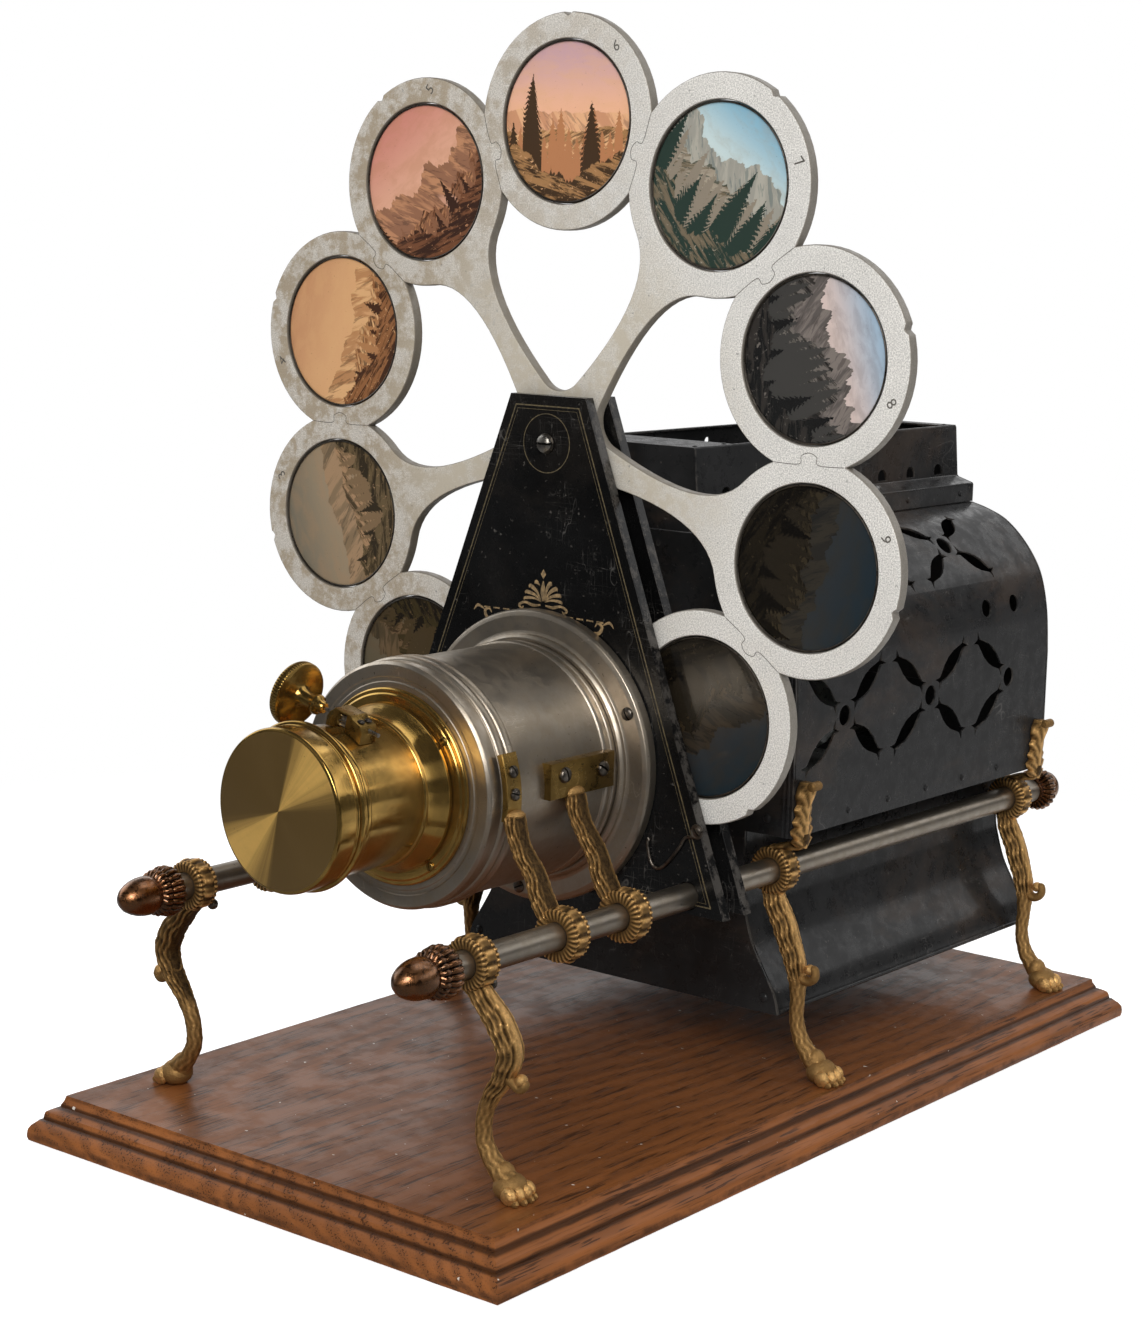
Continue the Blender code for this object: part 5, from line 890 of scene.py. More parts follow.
def flat_plate(outlines, thickness, edge):
    """A flat plate with rounded edges: its points, faces and the relief of its rims."""
    drawing = bpy.data.curves.new("outline", "CURVE")
    drawing.dimensions = "2D"
    drawing.fill_mode = "BOTH"
    drawing.extrude = thickness / 2 - edge
    drawing.bevel_depth = edge
    drawing.bevel_resolution = 1
    drawing.offset = -edge
    for outline in outlines:
        spline = drawing.splines.new("POLY")
        spline.points.add(len(outline) - 1)
        for point, (across, up) in zip(spline.points, outline):
            point.co = (across, up, 0, 1)
        spline.use_cyclic_u = True
    points, faces = filled(drawing)
    relief = (np.abs(points[:, 2]) < thickness / 2 - WELD).astype(float)
    return points, faces, relief


def bent_plate(shape, outlines, folds, route):
    """Cut a flat plate, crease it along its folds and bend it with a route (along, up the sheet, out)."""
    points, faces, relief = flat_plate(outlines, SHEET, sizes().sheet_edge)
    work = bmesh.new()
    layer = work.verts.layers.float.new("relief")
    made = [work.verts.new(point) for point in points]
    for vert, value in zip(made, relief):
        vert[layer] = value
    for face in faces:
        work.faces.new([made[i] for i in face])
    bmesh.ops.remove_doubles(work, verts=work.verts, dist=WELD)
    for fold in folds:
        bmesh.ops.bisect_plane(work, geom=work.verts[:] + work.edges[:] + work.faces[:],
                               plane_co=(0, fold, 0), plane_no=(0, 1, 0), dist=WELD)
    work.verts.index_update()
    flat = np.array([vert.co[:] for vert in work.verts])
    shape.add(route(*flat.T), [tuple(v.index for v in face.verts) for face in work.faces], 0,
              [vert[layer] for vert in work.verts])
    work.free()


def softened(profile, edge, closed=False):
    """Round off the corners of a profile of (radius, station) points."""
    points = [np.array(point, float) for point in profile]
    count = len(points)
    soft = []
    for i, here in enumerate(points):
        if not closed and i in (0, count - 1):
            soft.append(tuple(here))
            continue
        before, after = points[i - 1] - here, points[(i + 1) % count] - here
        reach_in, reach_out = np.linalg.norm(before), np.linalg.norm(after)
        if min(reach_in, reach_out) < WELD:
            continue
        cosine = np.dot(before, after) / (reach_in * reach_out)
        if cosine < -0.97:
            soft.append(tuple(here))
            continue
        cut_in, cut_out = min(edge, reach_in * 0.45), min(edge, reach_out * 0.45)
        start, end = here + before / reach_in * cut_in, here + after / reach_out * cut_out
        for t in (0.0, 0.33, 0.67, 1.0):
            soft.append(tuple(start * (1 - t) ** 2 + here * 2 * t * (1 - t) + end * t * t))
    return soft


def basis(normal, hint=(0, 0, 1)):
    """Three square directions, the last along a normal."""
    along = np.array(normal, float)
    along /= np.linalg.norm(along)
    hint = np.array(hint, float)
    across = np.cross(hint, along)
    if np.linalg.norm(across) < 0.01:
        across = np.cross((1.0, 0.0, 0.0), along)
    across /= np.linalg.norm(across)
    return across, np.cross(along, across), along


def turned(shape, profile, centre, axis="Y", steps=64, ripple=None, closed=False, finish=0, edge=0.0003):
    """Turn a profile about an axis; a ripple gives the change of radius and the relief round the turn."""
    across, up, along = (np.array(v, float) for v in (AXES[axis] if isinstance(axis, str) else axis))
    angles = np.arange(steps) * TURN / steps
    spokes = np.cos(angles)[:, None] * across + np.sin(angles)[:, None] * up
    rows, reliefs = [], []
    for radius, station in softened(profile, edge, closed) if edge else profile:
        extra, relief = (0 * angles, 0 * angles)
        if ripple and radius > 0:
            extra, relief = ripple(angles, radius, station)
        rows.append(np.array(centre) + along * station + (radius + extra)[:, None] * spokes)
        reliefs.append(relief)
    shape.skin(rows, ends=False, loop=closed, finish=finish, relief=reliefs)


def curve_through(points, spans):
    """A smooth curve through points of any dimension, as rows of numbers."""
    points = np.array(points, float)
    path = []
    last = len(points) - 1
    for i in range(last):
        lean_in = (points[i + 1] - points[max(i - 1, 0)]) / 2
        lean_out = (points[min(i + 2, last)] - points[i]) / 2
        for t in np.arange(spans) / spans:
            path.append(points[i] * (2 * t**3 - 3 * t**2 + 1) + lean_in * (t**3 - 2 * t**2 + t)
                        + points[i + 1] * (3 * t**2 - 2 * t**3) + lean_out * (t**3 - t**2))
    path.append(points[last])
    return np.array(path)


def swept(shape, path, wide, thick, steps=16, section=None, hint=(0, 1, 0), finish=0):
    """Sweep an oval along a path; a section gives the change of radius and the relief."""
    path = np.array(path, float)
    wide, thick = (np.broadcast_to(np.asarray(v, float), (len(path),)) for v in (wide, thick))
    tangents = np.gradient(path, axis=0)
    tangents /= np.linalg.norm(tangents, axis=1)[:, None]
    side = np.array(hint, float) - (tangents @ np.array(hint, float))[:, None] * tangents
    side /= np.linalg.norm(side, axis=1)[:, None]
    other = np.cross(tangents, side)
    run = np.concatenate([[0], np.cumsum(np.linalg.norm(np.diff(path, axis=0), axis=1))])
    angles = np.arange(steps) * TURN / steps
    rows, reliefs = [], []
    for i, spot in enumerate(path):
        extra, relief = section(run[i], angles) if section else (0 * angles, 0 * angles)
        reach_wide, reach_thick = wide[i] + extra, thick[i] + extra
        rows.append(spot + (np.cos(angles) * reach_wide)[:, None] * side[i]
                    + (np.sin(angles) * reach_thick)[:, None] * other[i])
        reliefs.append(relief)
    shape.skin(rows, finish=finish, relief=reliefs)


def bulb(shape, centre, radii, steps=14, floor=None, relief=0.4, finish=0):
    """A rounded lump, held above a floor."""
    rows = []
    angles = np.arange(steps) * TURN / steps
    for tilt in np.linspace(-math.pi / 2, math.pi / 2, steps // 2 + 1):
        ring = np.stack([np.cos(angles) * math.cos(tilt), np.sin(angles) * math.cos(tilt),
                         np.full(steps, math.sin(tilt))], axis=1)
        rows.append(np.array(centre) + ring * np.array(radii))
    rows = np.array(rows)
    if floor is not None:
        rows[:, :, 2] = np.maximum(rows[:, :, 2], floor)
    shape.skin(rows, ends=False, finish=finish, relief=np.full(rows.shape[:2], relief))


def screw_head(shape, spot, normal, radius, turn=0.0, finish=0):
    """A domed head with a slot."""
    across, up, along = basis(normal)
    c, s = math.cos(turn), math.sin(turn)
    across, up = across * c + up * s, up * c - across * s
    slot = 0.13
    columns = [-0.99, -0.9, -0.72, -0.5, -0.3, -slot, -slot, slot, slot, 0.3, 0.5, 0.72, 0.9, 0.99]
    rows, reliefs = [], []
    for index, column in enumerate(columns):
        sunk = index in (6, 7)
        half = math.sqrt(1 - column**2)
        row, relief = [], []
        for share in (-1.0, -1.0, -0.8, -0.5, -0.2, 0.2, 0.5, 0.8, 1.0, 1.0):
            foot = len(row) in (0, 9)
            height = 0.0 if foot else 0.22 + 0.42 * math.sqrt(max(0, 1 - column**2 - (half * share) ** 2))
            if sunk and not foot:
                height = 0.12
            row.append(np.array(spot) + (across * column + up * half * share + along * height) * radius)
            relief.append(-1.0 if sunk else 0.0)
        rows.append(row)
        reliefs.append(relief)
    shape.skin(rows, around=False, ends=False, finish=finish, relief=reliefs)


def rivet(shape, spot, normal, radius):
    """A low domed rivet."""
    profile = [(radius * math.cos(a), radius * 0.55 * math.sin(a)) for a in np.linspace(0, math.pi / 2, 6)]
    turned(shape, [(radius, -radius * 0.3)] + profile, spot, basis(normal), 14, edge=0)


def circle(x, z, radius, steps, start=0.0):
    """The points of a circle."""
    return [(x + radius * math.cos(start + TURN * i / steps), z + radius * math.sin(start + TURN
                                                                                    * i / steps))
            for i in range(steps)]


def arc(x, z, radius, start, end, steps):
    """The points of an arc between two angles, both ends included."""
    return [(x + radius * math.cos(a), z + radius * math.sin(a)) for a in np.linspace(start, end, steps + 1)]


def stroke(points, widths, spans=6):
    """The outline of a brush stroke through points with a half width at each."""
    path = curve_through([(x, z, w) for (x, z), w in zip(points, widths)], spans)
    lean = np.gradient(path[:, :2], axis=0)
    lean /= np.linalg.norm(lean, axis=1)[:, None]
    side = np.stack([-lean[:, 1], lean[:, 0]], axis=1) * path[:, 2:3]
    return [tuple(p) for p in path[:, :2] + side] + [tuple(p) for p in (path[:, :2] - side)[::-1]]


# Board and rods

BOARD_EDGE = 0.0130
BOARD_PROFILE = (
    (0.89, 0.0), (0.96, 0.02), (1.0, 0.10), (1.0, 0.16), (0.97, 0.27), (0.88, 0.36), (0.76, 0.43),
    (0.66, 0.48),
    (0.585, 0.49), (0.575, 0.53), (0.555, 0.60), (0.52, 0.655), (0.40, 0.70), (0.26, 0.74), (0.155, 0.765),
    (0.145, 0.80), (0.10, 0.86), (0.05, 0.90), (0.025, 0.96), (0.0, 1.0),
)
BOARD_HOLLOWS = (0.47, 0.55, 0.745, 0.80)
GRAIN_STEP = 0.0060


def build_board():
    """The oak board, its moulding worn by hand and its edges a little uneven."""
    rng = np.random.default_rng(4)
    half_x, half_y = BOARD_HIGH.x - BOARD_EDGE, BOARD_HIGH.y - BOARD_EDGE
    across = max(2, int(half_x * 2 / GRAIN_STEP))
    along = max(2, int(half_y * 2 / GRAIN_STEP))
    loop = [(-1 + 2 * i / across, -1, 0) for i in range(across)] + [(1, -1 + 2 * i / along, 1)
                                                                    for i in range(along)]
    loop += [(1 - 2 * i / across, 1, 0) for i in range(across)] + [(-1, 1 - 2 * i / along, 1)
                                                                   for i in range(along)]
    wander = np.cumsum(rng.normal(0, 1, len(loop)))
    wander = (wander - np.linspace(wander[0], wander[-1], len(loop))) * 0.00004
    rows, reliefs = [], []
    for out_share, height_share in BOARD_PROFILE:
        out = BOARD_EDGE * out_share
        lift = BOARD_TOP * height_share
        wear = rng.normal(0, 0.00007, len(loop)) + wander * (1.0 if 0 < height_share < 1 else 0.4)
        reach = np.minimum(out + wear, BOARD_EDGE)
        rows.append([((half_x + reach[i]) * x, (half_y + reach[i]) * y, lift) for i,
                     (x, y, _) in enumerate(loop)])
        deep = min(abs(height_share - level) for level in BOARD_HOLLOWS) < 0.035
        proud = height_share > 0.95 or 0.05 < height_share < 0.18
        reliefs.append([-1.0 if deep else (1.0 if proud else 0.0)] * len(loop))
    board = Shape()
    board.skin(rows, ends=False, finish=1, relief=reliefs)
    lid, floor = np.array(rows[-1]), np.array(rows[0])
    inner = lid * np.array([(half_x - 0.002) / half_x, (half_y - 0.002) / half_y, 1.0])
    board.skin([lid, inner], ends=False, finish=0, relief=[[0.6] * len(loop), [0.0] * len(loop)])
    board.add(inner, [tuple(range(len(loop)))], 0)
    board.add(floor, [tuple(range(len(loop)))[::-1]], 1)
    make("oak_board", board, ["oak_face", "oak_edge"], replaces=["base_board"])


def flutes(count, depth, low, high):
    """A ripple of round flutes between two stations, deep and dark between its ribs."""
    def ripple(angles, radius, station):
        if not low <= station <= high:
            return 0 * angles, 0 * angles
        wave = np.abs(np.cos(angles * count / 2))
        return depth * (wave - 1), wave * 1.6 - 1.1
    return ripple


FRONT_ACORN = (
    (0.0, 0.0), (0.56, 0.0), (0.56, 0.05), (0.74, 0.06), (0.95, 0.11), (1.0, 0.18), (0.97, 0.25),
    (0.86, 0.30),
    (0.90, 0.32), (0.92, 0.36), (0.84, 0.41), (0.68, 0.435), (0.70, 0.46), (0.745, 0.50), (0.76, 0.56),
    (0.745, 0.64),
    (0.70, 0.72), (0.62, 0.80), (0.50, 0.88), (0.33, 0.945), (0.16, 0.975), (0.09, 0.99), (0.0, 1.0),
)
REAR_BUTTON = (
    (0.0, 0.0), (0.60, 0.0), (0.60, 0.14), (0.92, 0.18), (1.0, 0.26), (1.0, 0.36), (0.88, 0.42),
    (0.64, 0.45),
    (0.66, 0.52), (0.72, 0.62), (0.70, 0.76), (0.55, 0.90), (0.30, 0.98), (0.0, 1.0),
)


def build_finial(end, side, shares):
    """One finial: a fluted collar and a glossy dome, turned on the rod's line."""
    low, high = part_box(f"{end}_finial_{side}")
    radius = (high.x - low.x) / 2
    root, tip = (high.y, low.y) if end == "front" else (low.y, high.y)
    centre = ((low.x + high.x) / 2, 0, ROD_Z)
    profile = [(radius * r, root + (tip - root) * s) for r, s in shares]
    start, stop = sorted((root + (tip - root) * 0.10, root + (tip - root) * (0.42 if end == "front"
                                                                             else 0.44)))
    knob = Shape()
    turned(knob, profile, centre, steps=132, ripple=flutes(sizes().flute_count, 0.0011, start, stop), edge=0)
    make(f"{end}_finial_{side}_turned", knob, ["brown_copper"], replaces=[f"{end}_finial_{side}"])


def build_rods():
    """The two guide rods and their four finials."""
    for side, sign in SIDES:
        low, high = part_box(f"guide_rod_{side}")
        bar = Shape()
        stations = np.linspace(low.y, high.y, 60)
        profile = [(0, low.y)] + [(ROD_RADIUS, y) for y in stations] + [(0, high.y)]
        turned(bar, profile, (sign * ROD_X, 0, ROD_Z), steps=40, edge=0)
        make(f"guide_rod_{side}_drawn", bar, ["dull_nickel"], replaces=[f"guide_rod_{side}"])
        build_finial("front", side, FRONT_ACORN)
        build_finial("rear", side, REAR_BUTTON)


# Castings: legs and arms


def leafwork(depth, lobe, start, stop, twist=1.2):
    """A section carved with lobed leaves between two distances, and with short fur beyond them."""
    def section(run, angles):
        away = np.abs((angles - math.pi / 2 + math.pi) % TURN - math.pi)
        rib = np.exp(-((away / 0.34) ** 2))
        flank = np.exp(-(((away - 1.35) / 0.62) ** 2))
        cut = (run / lobe - twist * away / TURN) % 1.0
        scallop = np.minimum(cut / 0.80, (1.0 - cut) / 0.20)
        veins = np.cos(13 * angles + 1.8 * np.sin(run * 420))
        leaf = 0.7 * rib + flank * (0.75 * scallop - 0.35) + (1 - rib - flank * 0.5) * (0.85 * veins - 0.15)
        back = np.clip((away - 2.3) / 0.5, 0, 1)
        leaf = leaf * (1 - back) - 0.6 * back
        fur = 0.40 * np.cos(8 * angles + 1.5 * np.sin(run * 700)) * (0.6 + 0.4 * np.sin(run * 1500 + 2
                                                                                        * angles)) + 0.1
        share = np.clip((stop - run) / 0.006, 0, 1) * np.clip((run - start) / 0.002 + 0.3, 0, 1)
        height = leaf * share + fur * (1 - share)
        return depth * np.where(height > 0, height * 0.75, height), height
    return section


def cast_ring(shape, centre, radius, width):
    """A ring with a carved band between two beaded edges."""
    def ripple(angles, reach, station):
        from_middle = abs(station - centre[1]) / (width / 2)
        if reach < radius * 0.75:
            return 0 * angles, 0 * angles - 0.3
        if from_middle < 0.5:
            wave = np.cos(11 * angles + from_middle * 2.2) * 0.6 + 0.4 * np.cos(22 * angles)
            return 0.00045 * wave, wave
        wave = np.cos(30 * angles)
        return 0.00030 * wave, wave * 0.9
    half = width / 2
    bore = ROD_RADIUS + GAP
    shares = ((bore / radius, -0.96), (0.84, -1.0), (0.93, -0.88), (0.93, -0.70), (0.87, -0.60),
              (0.96, -0.48),
              (1.0, -0.20), (1.0, 0.20), (0.96, 0.48), (0.87, 0.60), (0.93, 0.70), (0.93, 0.88), (0.84, 1.0),
              (bore / radius, 0.96))
    profile = [(radius * r, centre[1] + half * s) for r, s in shares]
    turned(shape, profile, (centre[0], 0, centre[2]), steps=120, ripple=ripple, closed=True, edge=0)


PAW_TOES = (-0.0063, -0.0022, 0.0022, 0.0063)


def cast_paw(shape, x, y):
    """A lion's paw with four round toes and small claws."""
    floor = BOARD_TOP + 0.0002
    bulb(shape, (x - 0.0015, y, floor + 0.0052), (0.0072, 0.0080, 0.0062), 18, floor, 0.1)
    bulb(shape, (x - 0.0050, y, floor + 0.0095), (0.0050, 0.0054, 0.0060), 14, floor, 0.2)
    for toe in PAW_TOES:
        bow = abs(toe) * 0.35
        bulb(shape, (x + 0.0050 - bow, y + toe, floor + 0.0036), (0.0042, 0.0024, 0.0040), 12, floor, 0.6)
        bulb(shape, (x + 0.0085 - bow, y + toe, floor + 0.0014), (0.0022, 0.0013, 0.0018), 8, floor, 0.2)
        if toe > PAW_TOES[0]:
            bulb(shape, (x + 0.0030 - bow, y + toe - 0.0021, floor + 0.0056), (0.0030, 0.0004, 0.0015), 8,
                 floor, -1.0)


FRONT_LEG_PATH = (
    (0.0, 0.0090, 0.0046), (0.0075, 0.0160, 0.0054), (0.0150, 0.0250, 0.0060), (0.0192, 0.0345, 0.0058),
    (0.0165, 0.0450, 0.0050), (0.0098, 0.0550, 0.0040), (0.0048, 0.0660, 0.0035), (0.0044, 0.0780, 0.0036),
    (0.0100, 0.0870, 0.0042), (0.0170, 0.0930, 0.0052),
)
HOOK_LEG_PATH = (
    (-0.0020, 0.0090, 0.0046), (0.0000, 0.0150, 0.0054), (0.0050, 0.0245, 0.0058), (0.0100, 0.0370, 0.0055),
    (0.0136, 0.0480, 0.0048), (0.0145, 0.0600, 0.0036), (0.0142, 0.0720, 0.0034), (0.0172, 0.0820, 0.0038),
    (0.0225, 0.0890, 0.0046), (0.0275, 0.0935, 0.0054),
)
KNEE_CURL = ((0.0140, 0.0420), (0.0205, 0.0475), (0.0245, 0.0500), (0.0270, 0.0478), (0.0252, 0.0462))
SCROLL_HOOK = ((0.0125, 0.0450), (0.0160, 0.0505), (0.0205, 0.0520), (0.0240, 0.0495), (0.0238, 0.0455),
               (0.0212, 0.0462))


def cast_leg(side, sign, end, path, curl, leaf_run):
    """One leg: ring, carved shank, curl at the knee and paw."""
    node_name = f"{end}_leg_{side}"
    low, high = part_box(node_name)
    paw_y = (low.y + 0.0080) if end == "rear" else (high.y - 0.0080 if end == "front"
                                                    else middle(node_name).y + 0.001)
    ring_y = {"front": low.y + 0.0055, "middle": -0.0007, "rear": high.y - 0.0080}[end]
    leg = Shape()
    cast_ring(leg, (ROD_X, ring_y, ROD_Z), 0.0119, 0.0110)
    height = ROD_Z - BOARD_TOP

    def spot(out, drop):
        return (ROD_X + out, ring_y + (paw_y - ring_y) * drop / height, ROD_Z - drop)

    line = curve_through([(*spot(out, drop), radius) for out, drop, radius in path], 9)
    carve = leafwork(sizes().carving_depth, 0.0078, 0.0, leaf_run)
    swept(leg, line[:, :3], line[:, 3] * 1.05, line[:, 3] * 0.95, 36, carve)
    tail = curve_through([spot(out, drop) for out, drop in curl], 6)
    thin = np.linspace(0.0036, 0.0019, len(tail))
    swept(leg, tail, thin, thin * 0.8, 14)
    bulb(leg, tail[-1], (0.0027, 0.0030, 0.0027), 14, None, 0.5)
    reach = path[-1][0] + (0.0020 if end == "front" else 0.0030)
    cast_paw(leg, ROD_X + reach, paw_y)
    if end != "front":
        wall_leaf(leg, ring_y)
    turned_leg = leg if sign > 0 else leg.mirrored()
    make(f"{node_name}_cast", turned_leg, ["antique_gilt"], replaces=[node_name])
    return ring_y


LEAF_WIDTHS = ((0.0, 0.25), (0.07, 0.70), (0.13, 0.95), (0.16, 0.62), (0.22, 0.90), (0.29, 1.0),
               (0.33, 0.62),
               (0.42, 0.86), (0.48, 0.52), (0.60, 0.72), (0.66, 0.46), (0.78, 0.62), (0.90, 0.48),
               (1.0, 0.22))


def wall_leaf(leg, station):
    """The lobed leaf that clasps the lamp house wall, with a scrolled tip, and its stem over the rod."""
    wall = HOUSE_WIDTH + GAP
    foot, top = HOUSE_FLOOR - 0.0050, HOUSE_FLOOR + 0.0270
    across = np.linspace(-1, 1, 17)
    rows, reliefs = [], []
    for share in np.linspace(0, 1, 40):
        width = np.interp(share, *zip(*LEAF_WIDTHS)) * 0.0092
        vein = np.abs(np.sin(math.pi * (share * 5.0 - np.abs(across) * 1.7)))
        rib = np.exp(-((across / 0.16) ** 2))
        carve = (1 - rib) * (vein * 1.2 - 0.6) + rib * 0.9
        swell = (1 - across**2) ** 0.5 * (0.0034 + 0.0022 * share**2) + 0.0003
        curl = 0.0030 * max(0.0, share - 0.62) / 0.38
        rows.append([(wall + s + 0.0004 * c * (1 - a * a) + curl, station + a * width, foot + (top - foot)
                      * share)
                     for a, s, c in zip(across, swell, carve)]
                    + [(wall, station + a * width * 0.98, foot + (top - foot) * share)
                       for a in across[::-1]])
        reliefs.append(list(carve) + [-0.5] * len(across))
    leg.skin(rows, relief=reliefs)
    tip = (wall + 0.0074, station, top - 0.0014)
    turned(leg, [(0, -0.0042), (0.0016, -0.0042), (0.0023, -0.0030), (0.0023, 0.0030), (0.0016, 0.0042),
                 (0, 0.0042)],
           tip, "Y", 18)
    stem = curve_through([(ROD_X + 0.0010, station, ROD_Z + 0.0105), (ROD_X + 0.0070, station,
                                                                      ROD_Z + 0.0125),
                          (wall + 0.0016, station, foot + 0.0010), (wall + 0.0026, station, foot + 0.0070)],
                         6)
    swept(leg, stem, 0.0034, 0.0020, 16, leafwork(0.0004, 0.0050, 0.0, 1.0))


def build_legs():
    """Six cast legs and the set screw of the front rings."""
    screws = Shape()
    for side, sign in SIDES:
        ring_y = cast_leg(side, sign, "front", FRONT_LEG_PATH, KNEE_CURL, 0.062)
        cast_leg(side, sign, "middle", HOOK_LEG_PATH, SCROLL_HOOK, 0.050)
        cast_leg(side, sign, "rear", HOOK_LEG_PATH, SCROLL_HOOK, 0.050)
        root = (sign * ROD_X, ring_y + 0.0052, ROD_Z - 0.0080)
        head = (sign * ROD_X, ring_y + 0.0125, ROD_Z - 0.0118)
        swept(screws, [root, head], 0.0012, 0.0012, 10)
        bulb(screws, head, (0.0026, 0.0026, 0.0026), 12)
    make("ring_set_screws", screws, ["dark_steel"])


def build_arms():
    """Four carved arms from the rods to the lens drum, with their straps, blocks and screws."""
    plan = {
        "front": ((0.0, 0.0085), (-0.0064, 0.0064), (-0.0121, 0.0146), (-0.0162, 0.0238), (-0.0243, 0.0347),
                  (-0.0286, 0.0480)),
        "rear": ((0.0, 0.0085), (-0.0068, 0.0070), (-0.0130, 0.0160), (-0.0173, 0.0260), (-0.0258, 0.0380),
                 (-0.0300, 0.0500)),
    }
    for end, route in plan.items():
        for side, sign in SIDES:
            node_name = f"{end}_drum_arm_{side}"
            low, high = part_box(node_name)
            station = (low.y + high.y) / 2 if end == "front" else -0.1191
            arm = Shape()
            cast_ring(arm, (ROD_X, station, ROD_Z), 0.0124, 0.0110)
            line = curve_through([(ROD_X + out, station, ROD_Z + up) for out, up in route], 9)
            grow = np.interp(np.linspace(0, 1, len(line)), (0, 0.3, 0.8, 1), (0.0042, 0.0056, 0.0046,
                                                                              0.0050))
            swept(arm, line, grow * 1.1, grow * 0.85, 36, leafwork(sizes().carving_depth, 0.0076, 0.0, 1.0))
            add_head(arm, end, station)
            shape = arm if sign > 0 else arm.mirrored()
            make(f"{node_name}_cast", shape, ["antique_gilt", "old_brass", "dark_steel"],
                 replaces=[node_name])


def add_head(arm, end, station):
    """The head of an arm, seated on the drum, and its screws."""
    drum = (highest("lens_drum").x - lowest("lens_drum").x) / 2
    if end == "front":
        inner, outer, half = drum + GAP, drum + 0.0031, 0.0050
        tilt = np.radians(np.linspace(-8, 21, 20))
        ring = [(inner, -half), (inner, half), (outer - 0.0004, half), (outer, half - 0.0004),
                (outer, 0.0004 - half), (outer - 0.0004, -half)]
        rows = [[(r * math.cos(a), station + w, AXIS_Z + r * math.sin(a)) for r, w in ring] for a in tilt]
        arm.skin(rows, finish=1)
        for degrees, turn in ((13.0, 0.4), (3.5, 1.2)):
            a = math.radians(degrees)
            normal = (math.cos(a), 0, math.sin(a))
            screw_head(arm, (outer * normal[0], station, AXIS_Z + outer * normal[2]), normal, 0.0028, turn,
                       2)
        a = math.radians(-5.0)
        bulb(arm, (outer * math.cos(a), station, AXIS_Z + outer * math.sin(a)), (0.0042, 0.0052, 0.0022), 16)
    else:
        low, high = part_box("rear_drum_arm_right")
        inner = drum - 0.0017
        face = drum + 0.0017
        rise = AXIS_Z + 0.0046
        outline = [(low.y, rise - 0.00825), (high.y, rise - 0.00825), (high.y, rise + 0.00825),
                   (low.y, rise + 0.00825)]
        arm.plate([outline], inner - 0.0050, face, "YZ", 0.0005, 1)
        for y, z, turn in ((low.y + 0.0095, rise + 0.0022, 0.3), (high.y - 0.0090, rise + 0.0012, 1.0)):
            screw_head(arm, (face, y, z), (1, 0, 0), 0.0036, turn, 2)
        bulb(arm, (face - 0.0005, station, rise - 0.0070), (0.0026, 0.0062, 0.0030), 16)


# Wheel and slides

PITCH = HUB_Z - AXIS_Z
SLIDE_RADIUS = (highest("slide_1").x - lowest("slide_1").x) / 2
OPENING = SLIDE_RADIUS + GAP
PETAL = highest("slide_wheel").z - HUB_Z - PITCH
STEP = TURN / SLIDE_COUNT
HALF_CHORD = PITCH * math.sin(STEP / 2)
CUSP_RISE = math.sqrt(PETAL**2 - HALF_CHORD**2)


def outward(index):
    """The direction from the hub to a slide, counted clockwise from the lowest."""
    return -math.pi / 2 - STEP * index


def in_wheel(across, reach, angle):
    """A point of the wheel from its distance along a direction and square to it."""
    c, s = math.cos(angle), math.sin(angle)
    return c * reach + s * across, HUB_Z + s * reach - c * across


def rim_outline():
    """The scalloped rim with a rounded notch on each petal."""
    cusp = math.atan2((PITCH * math.cos(STEP / 2) + CUSP_RISE) * math.sin(STEP / 2),
                      (PITCH * math.cos(STEP / 2) + CUSP_RISE) * math.cos(STEP / 2) - PITCH)
    notch = 0.0024 / PETAL
    turns = list(np.linspace(cusp, notch * 1.6, 15)) + [notch, notch * 0.6, notch * 0.25, 0]
    local = [(a, PETAL - 0.0016 * max(0, 1 - abs(a) / notch) ** 0.8) for a in turns]
    local += [(-a, r) for a, r in local[-2:0:-1]]
    outline = []
    for index in range(SLIDE_COUNT):
        lean = outward(index)
        x, z = in_wheel(0, PITCH, lean)
        outline += [(x + r * math.cos(lean + a), z + r * math.sin(lean + a)) for a, r in local]
    return outline


def spoke_gap():
    """One opening between two spokes, drawn up from the hub."""
    side_x, side_z = PITCH * math.sin(STEP), PITCH * math.cos(STEP)
    reach = PITCH * math.cos(STEP / 2) - CUSP_RISE
    cusp = (reach * math.sin(STEP / 2), reach * math.cos(STEP / 2))
    half = arc(0, 0.0381, 0.0138, math.radians(-90), math.radians(-45), 8)
    join = math.radians(206)
    start, end = np.array(half[-1]), np.array([side_x + PETAL * math.cos(join), side_z + PETAL
                                               * math.sin(join)])
    start_lean, end_lean = np.array([1, 1]) / math.sqrt(2), np.array([-math.sin(join), math.cos(join)])
    apart = end - start
    across = start_lean[0] * end_lean[1] - start_lean[1] * end_lean[0]
    corner = start + start_lean * (apart[0] * end_lean[1] - apart[1] * end_lean[0]) / across
    half += [tuple(start * (1 - t) ** 2 + corner * 2 * t * (1 - t) + end * t**2) for t in np.arange(1,
                                                                                                    14) / 14]
    half += arc(side_x, side_z, PETAL, join, math.atan2(cusp[1] - side_z, cusp[0] - side_x) % TURN, 7)
    half += arc(0, PITCH, PETAL, math.atan2(cusp[1] - PITCH, cusp[0]), -math.pi / 2, 10)[1:]
    return half + [(-x, z) for x, z in half[-2:0:-1]]


